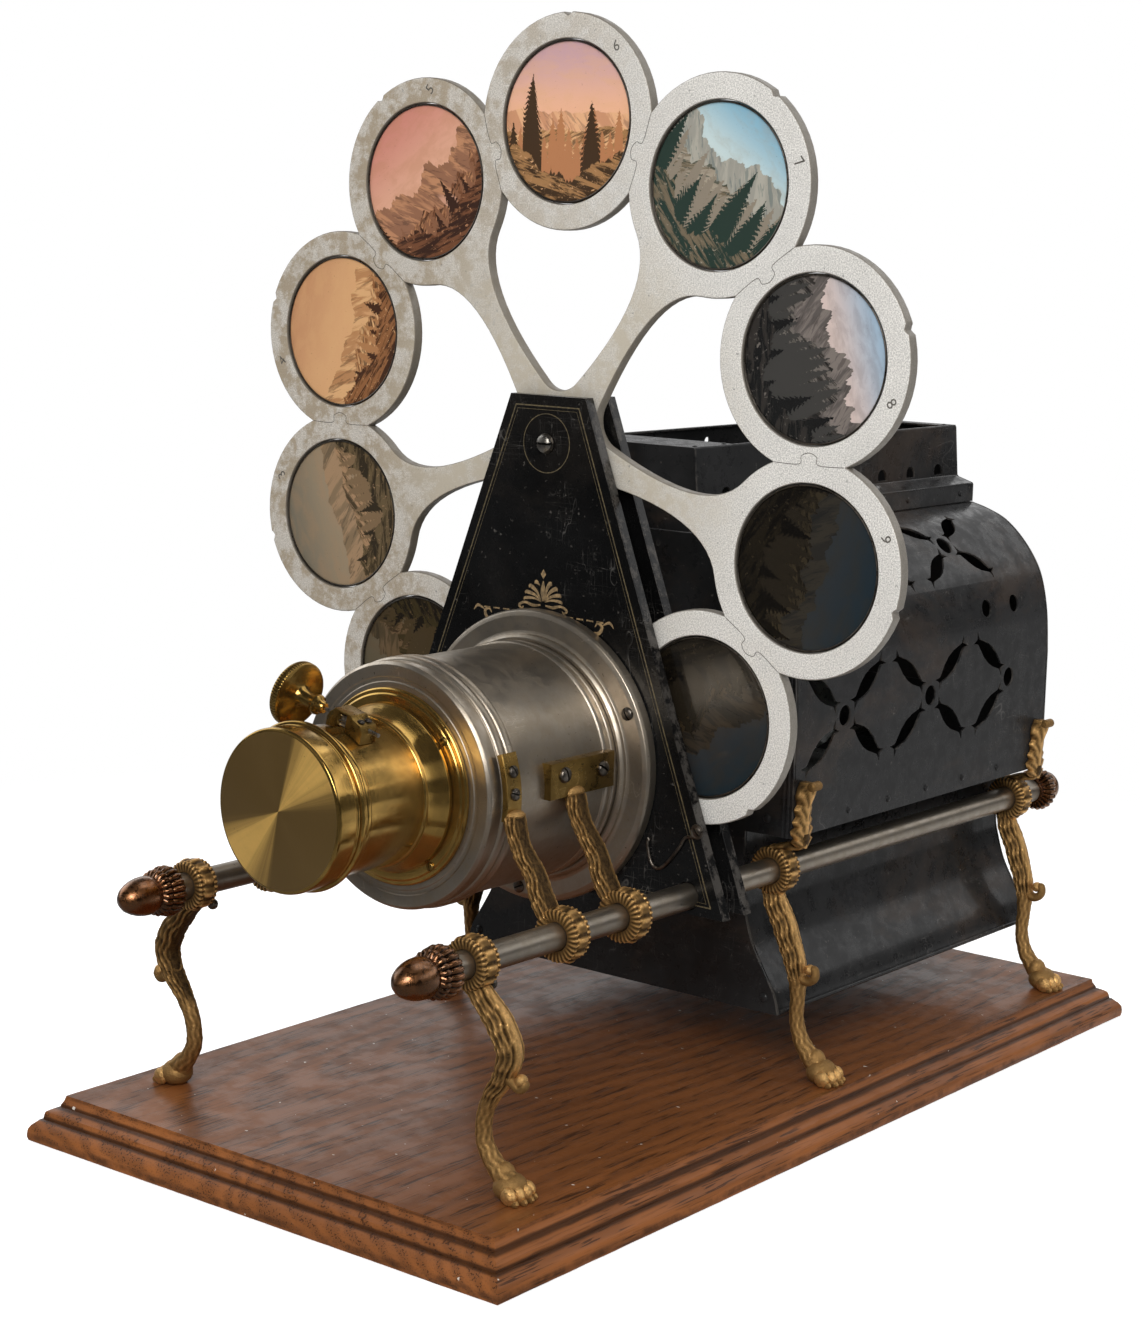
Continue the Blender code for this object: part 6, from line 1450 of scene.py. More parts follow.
def engraved_text(shape, text, size, place, angle, station):
    """Shallow plain numerals on a face that looks along -Y."""
    lettering = bpy.data.curves.new("numeral", "FONT")
    lettering.body = text
    lettering.size = size
    lettering.extrude = 0.00004
    lettering.resolution_u = 2
    lettering.align_x = lettering.align_y = "CENTER"
    flat, faces = filled(lettering)
    c, s = math.cos(angle), math.sin(angle)
    points = [(place[0] + x * c - y * s, station - z, place[1] + x * s + y * c) for x, y, z in flat]
    shape.add(points, faces)


def build_wheel():
    """The cast wheel, its glass rings, the seams between its petals and scratched numerals."""
    wheel = Shape()
    outlines = [rim_outline()]
    gap = spoke_gap()
    for index in range(SLIDE_COUNT // 2):
        angle = math.pi / 2 + TURN * index / (SLIDE_COUNT // 2)
        outlines.append([in_wheel(x, z, angle) for x, z in gap])
    outlines += [circle(*in_wheel(0, PITCH, outward(i)), OPENING, 72) for i in range(SLIDE_COUNT)]
    outlines.append(circle(0, HUB_Z, (highest("wheel_bush").x - lowest("wheel_bush").x) / 2 + GAP, 32))
    wheel.plate(outlines, WHEEL_FRONT, WHEEL_BACK, edge=sizes().cast_edge)
    make("wheel_casting", wheel, ["cast_aluminium"], "wheel", ["slide_wheel"], 50)

    marks = Shape()
    low = PITCH * math.cos(STEP / 2) - CUSP_RISE + 0.0012
    high = PITCH * math.cos(STEP / 2) + CUSP_RISE - 0.0012
    key = (low + high) / 2
    for index in range(SLIDE_COUNT):
        angle = outward(index) + STEP / 2
        side = 1 if index % 2 else -1
        line = [(0, low), (0, key - 0.0052), (0.0036 * side, key - 0.0040), (0.0052 * side, key),
                (0.0036 * side, key + 0.0040), (0, key + 0.0052), (0, high)]
        outline = stroke([in_wheel(a, r, angle) for a, r in line], [0.00016] * len(line), 5)
        marks.plate([outline], WHEEL_FRONT - 0.00003, WHEEL_FRONT + PRINT_DEPTH, edge=PRINT_EDGE)
        place = in_wheel(0.0285 * (-1 if index in (3, 8) else 1), PITCH + 0.0335, outward(index))
        lean = outward(index) - math.pi / 2 + (0.35 if index % 3 else -0.25)
        engraved_text(marks, str(index + 1), 0.0075, place, lean, WHEEL_FRONT)
    make("wheel_seams_and_numerals", marks, ["engraved"], "wheel")

    rings = Shape()
    for index in range(SLIDE_COUNT):
        x, z = in_wheel(0, PITCH, outward(index))
        wire = [(SLIDE_RADIUS - 0.0006 + 0.00045 * math.cos(a), lowest("slide_1").y - 0.0005 + 0.00045
                 * math.sin(a))
                for a in np.arange(8) * TURN / 8]
        turned(rings, wire, (x, 0, z), steps=90, closed=True, edge=0)
    make("slide_rings", rings, ["dark_steel"], "wheel")


def build_slides():
    """Ten round glass pictures, each painted with a landscape of its own."""
    for index in range(SLIDE_COUNT):
        name = f"slide_{index + 1}"
        low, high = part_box(name)
        centre = middle(name)
        edge = 0.0004
        disc = Shape()
        profile = [(0, low.y), (SLIDE_RADIUS - edge, low.y), (SLIDE_RADIUS, low.y + edge),
                   (SLIDE_RADIUS, high.y - edge), (SLIDE_RADIUS - edge, high.y), (0, high.y)]
        turned(disc, profile, (centre.x, 0, centre.z), steps=90, edge=0)
        thing = make(f"{name}_picture", disc, [f"picture_{index + 1}"], "wheel", [name])
        angle = outward(index)
        c, s = math.cos(angle), math.sin(angle)
        layer = thing.data.uv_layers.new(name="picture")
        for loop in thing.data.loops:
            point = thing.data.vertices[loop.vertex_index].co - centre
            layer.data[loop.index].uv = ((point.x * s - point.z * c) / SLIDE_RADIUS,
                                         (point.x * c + point.z * s) / SLIDE_RADIUS)


# Shields, pivot and spring


def trapezium(node_name, inset=0.0, foot_inset=None):
    """The outline of a shield, drawn in by an inset on its sides and top."""
    low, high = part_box(node_name)
    top_half = max(v.co.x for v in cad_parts[node_name].data.vertices if v.co.z > high.z - 0.0001)
    foot = low.z + (inset if foot_inset is None else foot_inset)
    slope = (high.x - top_half) / (high.z - low.z)
    side = inset * math.sqrt(1 + slope**2)
    foot_half = high.x - side - slope * (foot - low.z)
    top_half += slope * inset - side
    return [(-foot_half, foot), (foot_half, foot), (top_half, high.z - inset), (-top_half, high.z - inset)]


def build_shields():
    """Two folded shields, the front one lined and stencilled."""
    for node_name, face, back in (("front_shield", SHIELD_FACE, highest("front_shield").y),
                                  ("rear_shield", lowest("rear_shield").y, highest("rear_shield").y)):
        shield = Shape()
        holes = [circle(0, HUB_Z, 0.0043, 20), circle(0, AXIS_Z, 0.0455, 72)]
        holes += [circle(sign * ROD_X, ROD_Z, ROD_RADIUS + GAP, 32) for _, sign in SIDES]
        shield.plate([trapezium(node_name)] + holes, face, face + SHEET)
        outer, inner = trapezium(node_name), trapezium(node_name, SHEET, 0)
        fold = [outer[1], outer[2], outer[3], outer[0], inner[0], inner[3], inner[2], inner[1]]
        shield.plate([fold], face + 0.0006, back, edge=0.0001)
        for _, sign in SIDES:
            collar = [(ROD_RADIUS + GAP, face + SHEET), (ROD_RADIUS + 0.0022, face + SHEET),
                      (ROD_RADIUS + 0.0018, back - 0.0012), (ROD_RADIUS + GAP, back - 0.0012)]
            turned(shield, collar, (sign * ROD_X, 0, ROD_Z), steps=32, closed=True)
        make(f"{node_name}_sheet", shield, ["gloss_japan"], replaces=[node_name])

    lines = Shape()
    front, depth = SHIELD_FACE - PRINT_LIFT, SHIELD_FACE + PRINT_DEPTH
    for inset, width in ((0.0047, 0.0006), (0.0066, 0.0002)):
        lines.plate([trapezium("front_shield", inset), trapezium("front_shield", inset + width)], front,
                    depth,
                    edge=PRINT_EDGE)
    ring = [circle(0, HUB_Z, 0.0140, 60), circle(0, HUB_Z, 0.0136, 60)]
    lines.plate(ring, front, depth, edge=PRINT_EDGE)
    make("shield_lining", lines, ["gold_line"])

    stencil = Shape()
    base = AXIS_Z + 0.0769

    def both(points, widths):
        for sign in (-1, 1):
            outline = stroke([(sign * x / 1000, base + z / 1000) for x, z in points],
                             [w / 1000 for w in widths])
            stencil.plate([outline], front, depth, edge=PRINT_EDGE)

    both([(0.0, -3.5), (0.0, 1.0), (0.0, 6.2)], [0.3, 1.5, 0.2])
    for reach, lift, width in ((4.2, 5.4, 1.0), (7.6, 3.2, 1.0), (9.8, 0.2, 0.9), (10.6, -2.8, 0.7)):
        both([(0.9, -3.8), (reach * 0.5, lift * 0.55 - 1.0), (reach, lift), (reach + 0.9, lift - 1.0)],
             [0.2, width * 0.7, width, 0.2])
    both([(1.5, -5.4), (6.0, -5.9), (11.0, -4.9), (14.5, -6.6), (12.8, -8.0), (11.8, -6.9)],
         [0.4, 0.7, 0.6, 0.6, 0.5, 0.2])
    for index in range(6):
        both([(2.4 + 6.0 * index, -9.2 - 0.1 * index), (6.4 + 6.0 * index, -9.3 - 0.1 * index)],
             [0.35, 0.35])
    both([(26.0, -12.6), (29.5, -15.4), (34.0, -14.8), (35.6, -11.8), (33.2, -10.2), (31.4, -12.2)],
         [0.3, 0.9, 0.9, 0.8, 0.6, 0.2])
    both([(36.0, -11.0), (40.0, -9.4), (42.5, -11.8)], [0.2, 0.7, 0.2])
    diamond = [(-0.0016, base + 0.0094), (0, base + 0.0070), (0.0016, base + 0.0094), (0, base + 0.0118)]
    stencil.plate([diamond], front, depth, edge=PRINT_EDGE)
    make("shield_stencil", stencil, ["gold_stencil"])


def build_pivot():
    """The slotted pivot screw with its washer and nut."""
    high = highest("wheel_pivot")
    pivot = Shape()
    head = 0.0043
    boss = 0.0048
    head_back = SHIELD_FACE - GAP
    turned(pivot, [(0, head_back - 0.0008), (boss, head_back - 0.0008), (boss, head_back),
                   (0.0040, head_back),
                   (0.0040, lowest("rear_shield").y + 0.0015), (0.0075, lowest("rear_shield").y + 0.0015),
                   (0.0075, high.y), (0, high.y)], (0, 0, HUB_Z), steps=40)
    screw_head(pivot, (0, head_back - 0.0008, HUB_Z), (0, -1, 0), head, math.pi / 2, 1)
    make("wheel_pivot_screw", pivot, ["dark_steel", "bright_steel"], replaces=["wheel_pivot"])


def build_spring():
    """The bent detent wire with its eye and screw."""
    low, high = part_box("detent_spring")
    eye_x, eye_z = high.x - 0.0036, high.z - 0.0036
    lift = SHIELD_FACE - 0.0011
    tip = (0.0665, 0.1461)
    inside = WHEEL_FRONT - 0.0011
    route = [(eye_x, lift, eye_z - 0.0028), (eye_x - 0.0060, lift, eye_z - 0.0036), (0.0845, lift, 0.1444),
             (0.0800, lift, 0.1385), (0.0752, lift, 0.1336), (0.0716, lift, 0.1326), (0.0685, lift, 0.1352),
             (tip[0], lift, tip[1] - 0.0040), (tip[0], lift + 0.0003, tip[1] - 0.0008)]
    path = [tuple(p) for p in curve_through(route, 6)]
    path += [(tip[0], inside - 0.0006, tip[1]), (tip[0], inside, tip[1] + 0.0008), (tip[0], inside,
                                                                                    tip[1] + 0.0098)]
    spring = Shape()
    swept(spring, path, 0.0008, 0.0008, 12, hint=(0.3, 1, 0.2))
    eye = [(0.0036 - 0.0008 + 0.0008 * math.cos(a), lift + 0.0008 * math.sin(a)) for a in np.arange(8)
           * TURN / 8]
    turned(spring, eye, (eye_x, 0, eye_z), steps=28, closed=True, edge=0)
    screw_head(spring, (eye_x, SHIELD_FACE - 0.0006, eye_z), (0, -1, 0), 0.0027, 0.7)
    make("detent_spring_wire", spring, ["dark_steel"], replaces=["detent_spring"])


# Drum and lens

AXIS_CENTRE = (0, 0, AXIS_Z)


def round_bead(start, width, foot, proud, steps=8):
    """The profile of a half-round bead."""
    return [(foot + proud * math.sin(math.pi * i / steps), start + width
             * (1 - math.cos(math.pi * i / steps)) / 2)
            for i in range(steps + 1)]


def build_drum():
    """The nickel drum with its rolled lip and beads, and its flange with three screws."""
    body, lip, wall, bore = 0.0555, 0.0562, 0.0015, 0.0338
    front, back = DRUM_FRONT, DRUM_BACK
    profile = [(bore, front), (0.0470, front), (0.0474, front + 0.0004), (0.0492, front + 0.0004),
               (0.0496, front),
               (0.0548, front), (lip, front + 0.0015), (lip, front + 0.0052)]
    profile += round_bead(front + 0.0087, 0.0056, body, 0.0019) + round_bead(front + 0.0145, 0.0056, body,
                                                                             0.0019)
    profile += round_bead(front + 0.0815, 0.0044, body, 0.0012) + round_bead(front + 0.0875, 0.0022, body,
                                                                             0.0008)
    profile += [(body, back), (body - wall, back), (body - wall, front + wall), (bore, front + wall)]
    drum = Shape()
    turned(drum, profile, AXIS_CENTRE, steps=128, closed=True)
    make("lens_drum_spun", drum, ["old_nickel"], replaces=["lens_drum"])

    low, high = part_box("drum_flange")
    outer = (high.x - low.x) / 2
    flange = Shape()
    profile = [(body + GAP, low.y), (0.0572, low.y), (0.0586, low.y + 0.0014), (0.0586, low.y + 0.0030),
               (0.0602, low.y + 0.0036), (outer - 0.0030, low.y + 0.0040), (outer - 0.0008, low.y + 0.0048),
               (outer, low.y + 0.0062), (outer, high.y - 0.0006), (outer - 0.0006, high.y),
               (body + GAP, high.y)]
    turned(flange, profile, AXIS_CENTRE, steps=144, closed=True)
    for degrees, turn in ((26, 0.5), (146, 1.3), (-94, 2.0)):
        a = math.radians(degrees)
        screw_head(flange, (0.0643 * math.cos(a), low.y + 0.0040, AXIS_Z + 0.0643 * math.sin(a)), (0, -1, 0),
                   0.0031,
                   turn, 1)
    make("drum_flange_turned", flange, ["old_nickel", "dark_steel"], replaces=["drum_flange"])


RACK_LEAN = math.radians(13.7)
JACKET = 0.0335
FOOT_BACK = lowest("lens_flange").y - GAP
FOOT_FRONT = FOOT_BACK - 0.0135


def build_lens():
    """The lacquered brass lens: flange, jacket with its rack slot, cell and cap."""
    low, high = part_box("lens_flange")
    outer = (high.x - low.x) / 2
    flange = Shape()
    turned(flange, [(JACKET + GAP, low.y), (outer - 0.0030, low.y), (outer - 0.0022, low.y + 0.0008),
                    (outer - 0.0008, low.y + 0.0008), (outer, low.y + 0.0016), (outer, high.y),
                    (JACKET + GAP, high.y)], AXIS_CENTRE, steps=128, closed=True)
    for quarter in range(4):
        a = math.radians(38.5 + 90 * quarter)
        screw_head(flange, (0.0408 * math.cos(a), low.y, AXIS_Z + 0.0408 * math.sin(a)), (0, -1, 0), 0.0021,
                   0.4 + quarter, 1)
    make("lens_flange_turned", flange, ["lacquered_brass", "old_brass"], replaces=["lens_flange"])

    low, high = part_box("jacket_tube")
    inner = JACKET - 0.0013
    jacket = Shape()
    ogee = [(JACKET, FOOT_FRONT), (0.0341, FOOT_FRONT + 0.0006), (0.0341, FOOT_FRONT + 0.0022),
            (0.0350, FOOT_FRONT + 0.0050), (0.0370, FOOT_FRONT + 0.0085), (0.0383, FOOT_FRONT + 0.0110),
            (0.0384, FOOT_BACK - 0.0010), (0.0378, FOOT_BACK)]
    turned(jacket, ogee + [(JACKET, FOOT_BACK), (JACKET, high.y), (inner, high.y), (inner, FOOT_FRONT)],
           AXIS_CENTRE,
           steps=128, closed=True)
    half = 0.0032 / JACKET
    turns = np.linspace(math.pi / 2 - RACK_LEAN + half, math.pi / 2 - RACK_LEAN + TURN - half, 126)
    wall = softened([(JACKET, FOOT_FRONT), (JACKET, low.y + 0.0030), (JACKET + 0.0005, low.y + 0.0024),
                     (JACKET + 0.0005, low.y + 0.0008), (JACKET, low.y), (inner, low.y),
                     (inner, FOOT_FRONT)],
                    0.0003, True)
    jacket.skin([[(r * math.cos(a), y, AXIS_Z + r * math.sin(a)) for r, y in wall] for a in turns])
    make("jacket_tube_turned", jacket, ["lacquered_brass"], replaces=["jacket_tube"])

    low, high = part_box("lens_cell")
    bead = (high.x - low.x) / 2
    shell, bore = 0.0347, 0.0322
    cell = Shape()
    profile = [(bore - 0.0030, low.y), (shell, low.y), (shell, high.y - 0.0045)]
    profile += round_bead(high.y - 0.0044, 0.0026, bead - 0.0012, 0.0012)
    profile += [(bead - 0.0016, high.y - 0.0014), (bead - 0.0016, high.y), (bore, high.y),
                (bore, low.y + 0.0012),
                (bore - 0.0030, low.y + 0.0012)]
    turned(cell, profile, AXIS_CENTRE, steps=128, closed=True)
    make("lens_cell_turned", cell, ["lacquered_brass"], "focus_tube", ["lens_cell"])

    low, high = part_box("lens_cap")
    outer = (high.x - low.x) / 2
    cap = Shape()
    turned(cap, [(0, low.y), (outer - 0.0016, low.y)], AXIS_CENTRE, steps=128, finish=1, edge=0)
    turned(cap, [(outer - 0.0016, low.y), (outer - 0.0004, low.y + 0.0005), (outer, low.y + 0.0014),
                 (outer, high.y - 0.0022), (outer - 0.0004, high.y - 0.0018), (outer - 0.0004,
                                                                               high.y - 0.0012),
                 (outer, high.y - 0.0008), (outer, high.y), (outer - 0.0011, high.y), (outer - 0.0011,
                                                                                       low.y + 0.0011),
                 (0, low.y + 0.0011)], AXIS_CENTRE, steps=128)
    make("lens_cap_spun", cap, ["lacquered_brass", "spun_brass_painted_glints"], "cap", ["lens_cap"])


def leaned(points):
    """Points drawn upright over the lens axis, leaned over to the rack's side."""
    c, s = math.cos(RACK_LEAN), math.sin(RACK_LEAN)
    return [(x * c + z * s, y, AXIS_Z - x * s + z * c) for x, y, z in points]


def build_focus():
    """The milled focusing knob and the saddle that holds its axle."""
    axle = np.array([-math.cos(RACK_LEAN), 0, math.sin(RACK_LEAN)])
    centre = middle("focus_pinion")
    directions = basis(axle, (0, 1, 0))
    radius, inner_end, outer_end = 0.0149, 0.0166, 0.0369
    length = outer_end - inner_end
    shares = ((0.0, 0.0), (0.80, 0.0), (0.86, 0.02), (0.90, 0.03), (0.97, 0.035), (1.0, 0.07), (1.0, 0.19),
              (0.97, 0.225), (0.84, 0.25), (0.50, 0.265), (0.34, 0.30), (0.27, 0.38), (0.22, 0.60),
              (0.22, 0.68),
              (0.29, 0.72), (0.31, 0.77), (0.29, 0.82), (0.20, 0.86), (0.18, 0.97), (0.14, 1.0), (0.0, 1.0))
    profile = [(radius * r, outer_end - length * s) for r, s in shares]
    ridges = sizes().milling_count

    def milling(angles, reach, station):
        if reach < radius * 0.985:
            return 0 * angles, 0 * angles
        wave = np.abs(np.cos(angles * ridges / 2)) ** 0.7
        return -0.00042 * (1 - wave), wave - 0.9
    knob = Shape()
    turned(knob, profile, centre, directions, ridges * 6, milling, edge=0)
    screw_head(knob, centre + Vector(axle * outer_end), axle, 0.0024, 0.8, 1)
    make("focus_knob_milled", knob, ["lacquered_brass", "dark_steel"], "focus_knob", ["focus_knob"])

    saddle = Shape()
    low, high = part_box("pinion_saddle")
    top, left, right, seat = 0.0421, -0.0085, 0.0125, JACKET + GAP
    outline = [(x, math.sqrt(seat**2 - x**2)) for x in np.linspace(left, -0.0032, 5)]
    outline += [(-0.0032, 0.0347), (-0.0026, 0.0347), (-0.0026, 0.0412), (0.0026, 0.0412), (0.0026, 0.0347),
                (0.0032, 0.0347)]
    outline += [(x, math.sqrt(seat**2 - x**2)) for x in np.linspace(0.0032, right, 6)]
    outline += [(right, 0.0372), (right - 0.0014, 0.0395), (0.0062, 0.0408), (0.0048, top), (-0.0048, top),
                (-0.0060, 0.0408), (left + 0.0010, 0.0395), (left, 0.0372)]
    points, faces, relief = flat_plate([outline], high.y - low.y, 0.0004)
    station = (low.y + high.y) / 2
    saddle.add(leaned([(x, station + out, z) for x, z, out in points]), faces, 0, relief)
    for x, z, y in ((-0.0066, 0.0404, 0.0), (0.0088, 0.0402, 0.0022), (0.0088, 0.0402, -0.0022)):
        spot = leaned([(x, station + y, z)])[0]
        screw_head(saddle, spot, (math.sin(RACK_LEAN), 0, math.cos(RACK_LEAN)), 0.0017, 0.6, 1)
    make("pinion_saddle_filed", saddle, ["old_brass", "dark_steel"], replaces=["pinion_saddle"])


# Lamp house

CONDENSER_HOLE = 0.0473
ROOF_HOLE_HALF = 0.0348
ROOF_MARGIN = 0.0060


def plate_side():
    """The right edge of the end plates, from the foot of the skirt to the roof."""
    edge = {round(v.co.z, 5): v.co.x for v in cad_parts["lamp_house_front"].data.vertices
            if v.co.x > 0.049}
    return [(x, z) for z, x in sorted(edge.items())]


SIDE = plate_side()
SKIRT_SIDE = [tuple(p) for p in curve_through([p for p in SIDE if p[1] < HOUSE_FLOOR - 0.0001], 4)]
WALL_SIDE = [p for p in SIDE if p[1] > HOUSE_FLOOR - 0.0001]
WALL_SIDE = [WALL_SIDE[0]] + [tuple(p) for p in curve_through(WALL_SIDE[1:], 5)]


def sheet_route(section):
    """How a sheet follows a section: its length, its folds and the route of its points."""
    line = np.array(section, float)
    lengths = np.concatenate([[0], np.cumsum(np.linalg.norm(np.diff(line, axis=0), axis=1))])
    lean = np.diff(line, axis=0)
    lean /= np.linalg.norm(lean, axis=1)[:, None]
    corner = np.vstack([lean[:1], (lean[:-1] + lean[1:]) / 2, lean[-1:]])
    corner /= (corner**2).sum(axis=1)[:, None]
    out_x, out_z = corner[:, 1], -corner[:, 0]

    def route(along, rise, out):
        offset = out - SHEET / 2
        x = np.interp(rise, lengths, line[:, 0]) + np.interp(rise, lengths, out_x) * offset
        z = np.interp(rise, lengths, line[:, 1]) + np.interp(rise, lengths, out_z) * offset
        return np.array([x, along, z]).T
    return lengths, route


FISH = ((0.0, 0.36), (0.06, 0.25), (0.12, 0.17), (0.20, 0.27), (0.32, 0.42), (0.48, 0.50), (0.64, 0.44),
        (0.78, 0.28),
        (0.88, 0.17), (0.94, 0.26), (1.0, 0.38))


def fish_slot(y, rise, degrees, length=0.0345, width=0.0092, start=0.0078):
    """One fish-tailed slot of the lattice."""
    c, s = math.cos(math.radians(degrees)), math.sin(math.radians(degrees))
    upper = [(start + length * along, width * half) for along, half in FISH]
    points = upper + [(start + length * 0.94, 0.0)] + [(along, -half) for along, half in upper[::-1]]
    points.append((start + length * 0.06, 0.0))
    return [(y + along * c - across * s, rise + along * s + across * c) for along, across in points]


def lattice(lengths, section):
    """The holes of one wall, in distance along the house and up the sheet."""
    heights = [z - HOUSE_FLOOR for _, z in section]
    front, back = lowest("lamp_house_body").y, HOUSE_BACK
    length = back - front
    pitch = length * 0.3299
    holes = []

    def up(rise):
        return float(np.interp(rise, heights, lengths))

    limit = lengths[-1] + WALL_SIDE[-1][0] - ROOF_HOLE_HALF - ROOF_MARGIN

    def star(y, rise, angles, **own):
        holes.append(circle(y, up(rise), 0.0050, 24))
        for degrees in angles:
            slot = fish_slot(y, up(rise), degrees, **own)
            if all(front + 0.004 < a < back - 0.004 and b < limit for a, b in slot):
                holes.append(slot)

    for index in range(3):
        star(front + length * 0.1724 + pitch * index, 0.0540, (35, 145, 215, 325))
    for share in (0.3457, 0.6755):
        star(front + length * share, 0.1250, (32, 148, 212, 328), length=0.0300, width=0.0084)
    for share in (0.7432, 0.8620):
        holes.append(circle(front + length * share, up(0.0924), 0.0046, 24))
    return holes


def edge_bead(shape, outline, station, radius=0.0008, finish=0):
    """A round bead along an outline on the face of a plate."""
    swept(shape, [(x, station, z) for x, z in outline], radius, radius, 8, hint=(0, 1, 0), finish=finish)


def drawn_in(outline, inset):
    """An open outline moved sideways by an inset."""
    line = np.array(outline, float)
    lean = np.gradient(line, axis=0)
    lean /= np.linalg.norm(lean, axis=1)[:, None]
    return line + np.stack([-lean[:, 1], lean[:, 0]], axis=1) * inset


def build_house():
    """The pierced lamp house, its beaded end plates and its flared skirt."""
    over = WALL_SIDE + [(-x, z) for x, z in WALL_SIDE[::-1]]
    lengths, route = sheet_route(over)
    front, back = lowest("lamp_house_body").y, HOUSE_BACK
    half = lengths[len(WALL_SIDE) - 1]
    total = lengths[-1]
    holes = lattice(lengths[:len(WALL_SIDE)], WALL_SIDE)
    roof_half = WALL_SIDE[-1][0]
    low_cut, high_cut = half + roof_half - ROOF_HOLE_HALF, half + roof_half + ROOF_HOLE_HALF
    roof = [(front + 0.018, low_cut), (back - 0.016, low_cut), (back - 0.016, high_cut), (front + 0.018,
                                                                                          high_cut)]
    outline = [(front, 0), (back, 0), (back, total), (front, total)]
    body = Shape()
    mirrored = [[(y, total - rise) for y, rise in hole] for hole in holes]
    bent_plate(body, [outline, roof] + holes + mirrored, lengths[1:-1], route)
    way = [(-0.055, 0.022), (0.055, 0.022), (0.055, 0.168), (-0.055, 0.168)]
    floor = [(-HOUSE_WIDTH + 0.0006, front), (HOUSE_WIDTH - 0.0006, front), (HOUSE_WIDTH - 0.0006, back),
             (0.0006 - HOUSE_WIDTH, back)]
    notch = [(0.0500, front - 0.002), (0.0500, 0.0165), (-0.0500, 0.0165), (-0.0500, front - 0.002)]
    floor = floor[:1] + [(x, max(y, front)) for x, y in notch[::-1]] + floor[1:]
    body.plate([floor, way], HOUSE_FLOOR, HOUSE_FLOOR + SHEET, "XY", finish=1)
    for _, sign in SIDES:
        for y in np.linspace(front + 0.012, back - 0.012, 7):
            rivet(body, (sign * HOUSE_WIDTH, y, HOUSE_FLOOR + 0.0062), (sign, 0, 0), 0.0018)
    make("lamp_house_pierced", body, ["sheet_iron", "house_inside"], replaces=["lamp_house_body"])

    side = SKIRT_SIDE + WALL_SIDE
    full = side + [(-x, z) for x, z in side[::-1]]
    for end in ("front", "rear"):
        low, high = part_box(f"lamp_house_{end}")
        face, out = (low.y, -1) if end == "front" else (lowest("lamp_house_rear").y + 0.0015, 1)
        stations = (low.y, high.y) if end == "front" else (low.y, low.y + 0.0015)
        plate = Shape()
        if end == "front":
            cuts = [circle(0, AXIS_Z, CONDENSER_HOLE, 72)]
        else:
            door_low, door_high = DOOR_LOW.z + 0.006, DOOR_HIGH.z - 0.006
            cuts = [[(-0.065, door_low), (0.065, door_low), (0.065, door_high), (-0.065, door_high)],
                    circle(0.012, middle("wick_winder").z, 0.0023, 20)]
        plate.plate([full] + cuts, *stations)
        for inset in (0.0022, 0.0046):
            for _, sign in SIDES:
                line = [(sign * x, z) for x, z in drawn_in(WALL_SIDE, inset)[:-1]]
                edge_bead(plate, line, face + out * 0.0001)
        for x, z in ((0.0202, 0.2570), (-0.0202, 0.2570), (0.0880, 0.1480), (-0.0880, 0.1480),
                     (0.0700, 0.1250),
                     (-0.0700, 0.1250), (0.0900, 0.0600), (-0.0900, 0.0600)):
            rivet(plate, (x, face, z), (0, out, 0), 0.0022)
        if end == "rear":
            add_knuckles(plate, (-1, 1))
        make(f"lamp_house_{end}_plate", plate, ["sheet_iron"], replaces=[f"lamp_house_{end}"])

    skirt = Shape()
    lengths, route = sheet_route(SKIRT_SIDE)
    low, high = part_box("lamp_house_skirt")
    sheet = [(low.y, 0), (high.y, 0), (high.y, lengths[-1]), (low.y, lengths[-1])]
    right = Shape()
    bent_plate(right, [sheet], lengths[1:-1], route)
    foot_x, foot_z = SKIRT_SIDE[0]
    swept(right, [(foot_x - 0.0002, y, foot_z + 0.0012) for y in np.linspace(low.y + 0.0005, high.y - 0.0005,
                                                                             20)],
          0.0012, 0.0012, 12, hint=(0, 0, 1))
    for shape in (right, right.mirrored()):
        skirt.add(shape.points, shape.faces, 0, shape.relief)
    top = high.z
    neck = SKIRT_SIDE[-1][0]
    lid = [(-neck, low.y), (-0.0500, low.y), (-0.0500, 0.0165), (0.0500, 0.0165), (0.0500, low.y),
           (neck, low.y),
           (neck, high.y), (-neck, high.y)]
    skirt.plate([lid, way], top - SHEET, top, "XY", finish=1)
    make("lamp_house_skirt_bent", skirt, ["sheet_iron", "house_inside"],
         replaces=["lamp_house_skirt"])


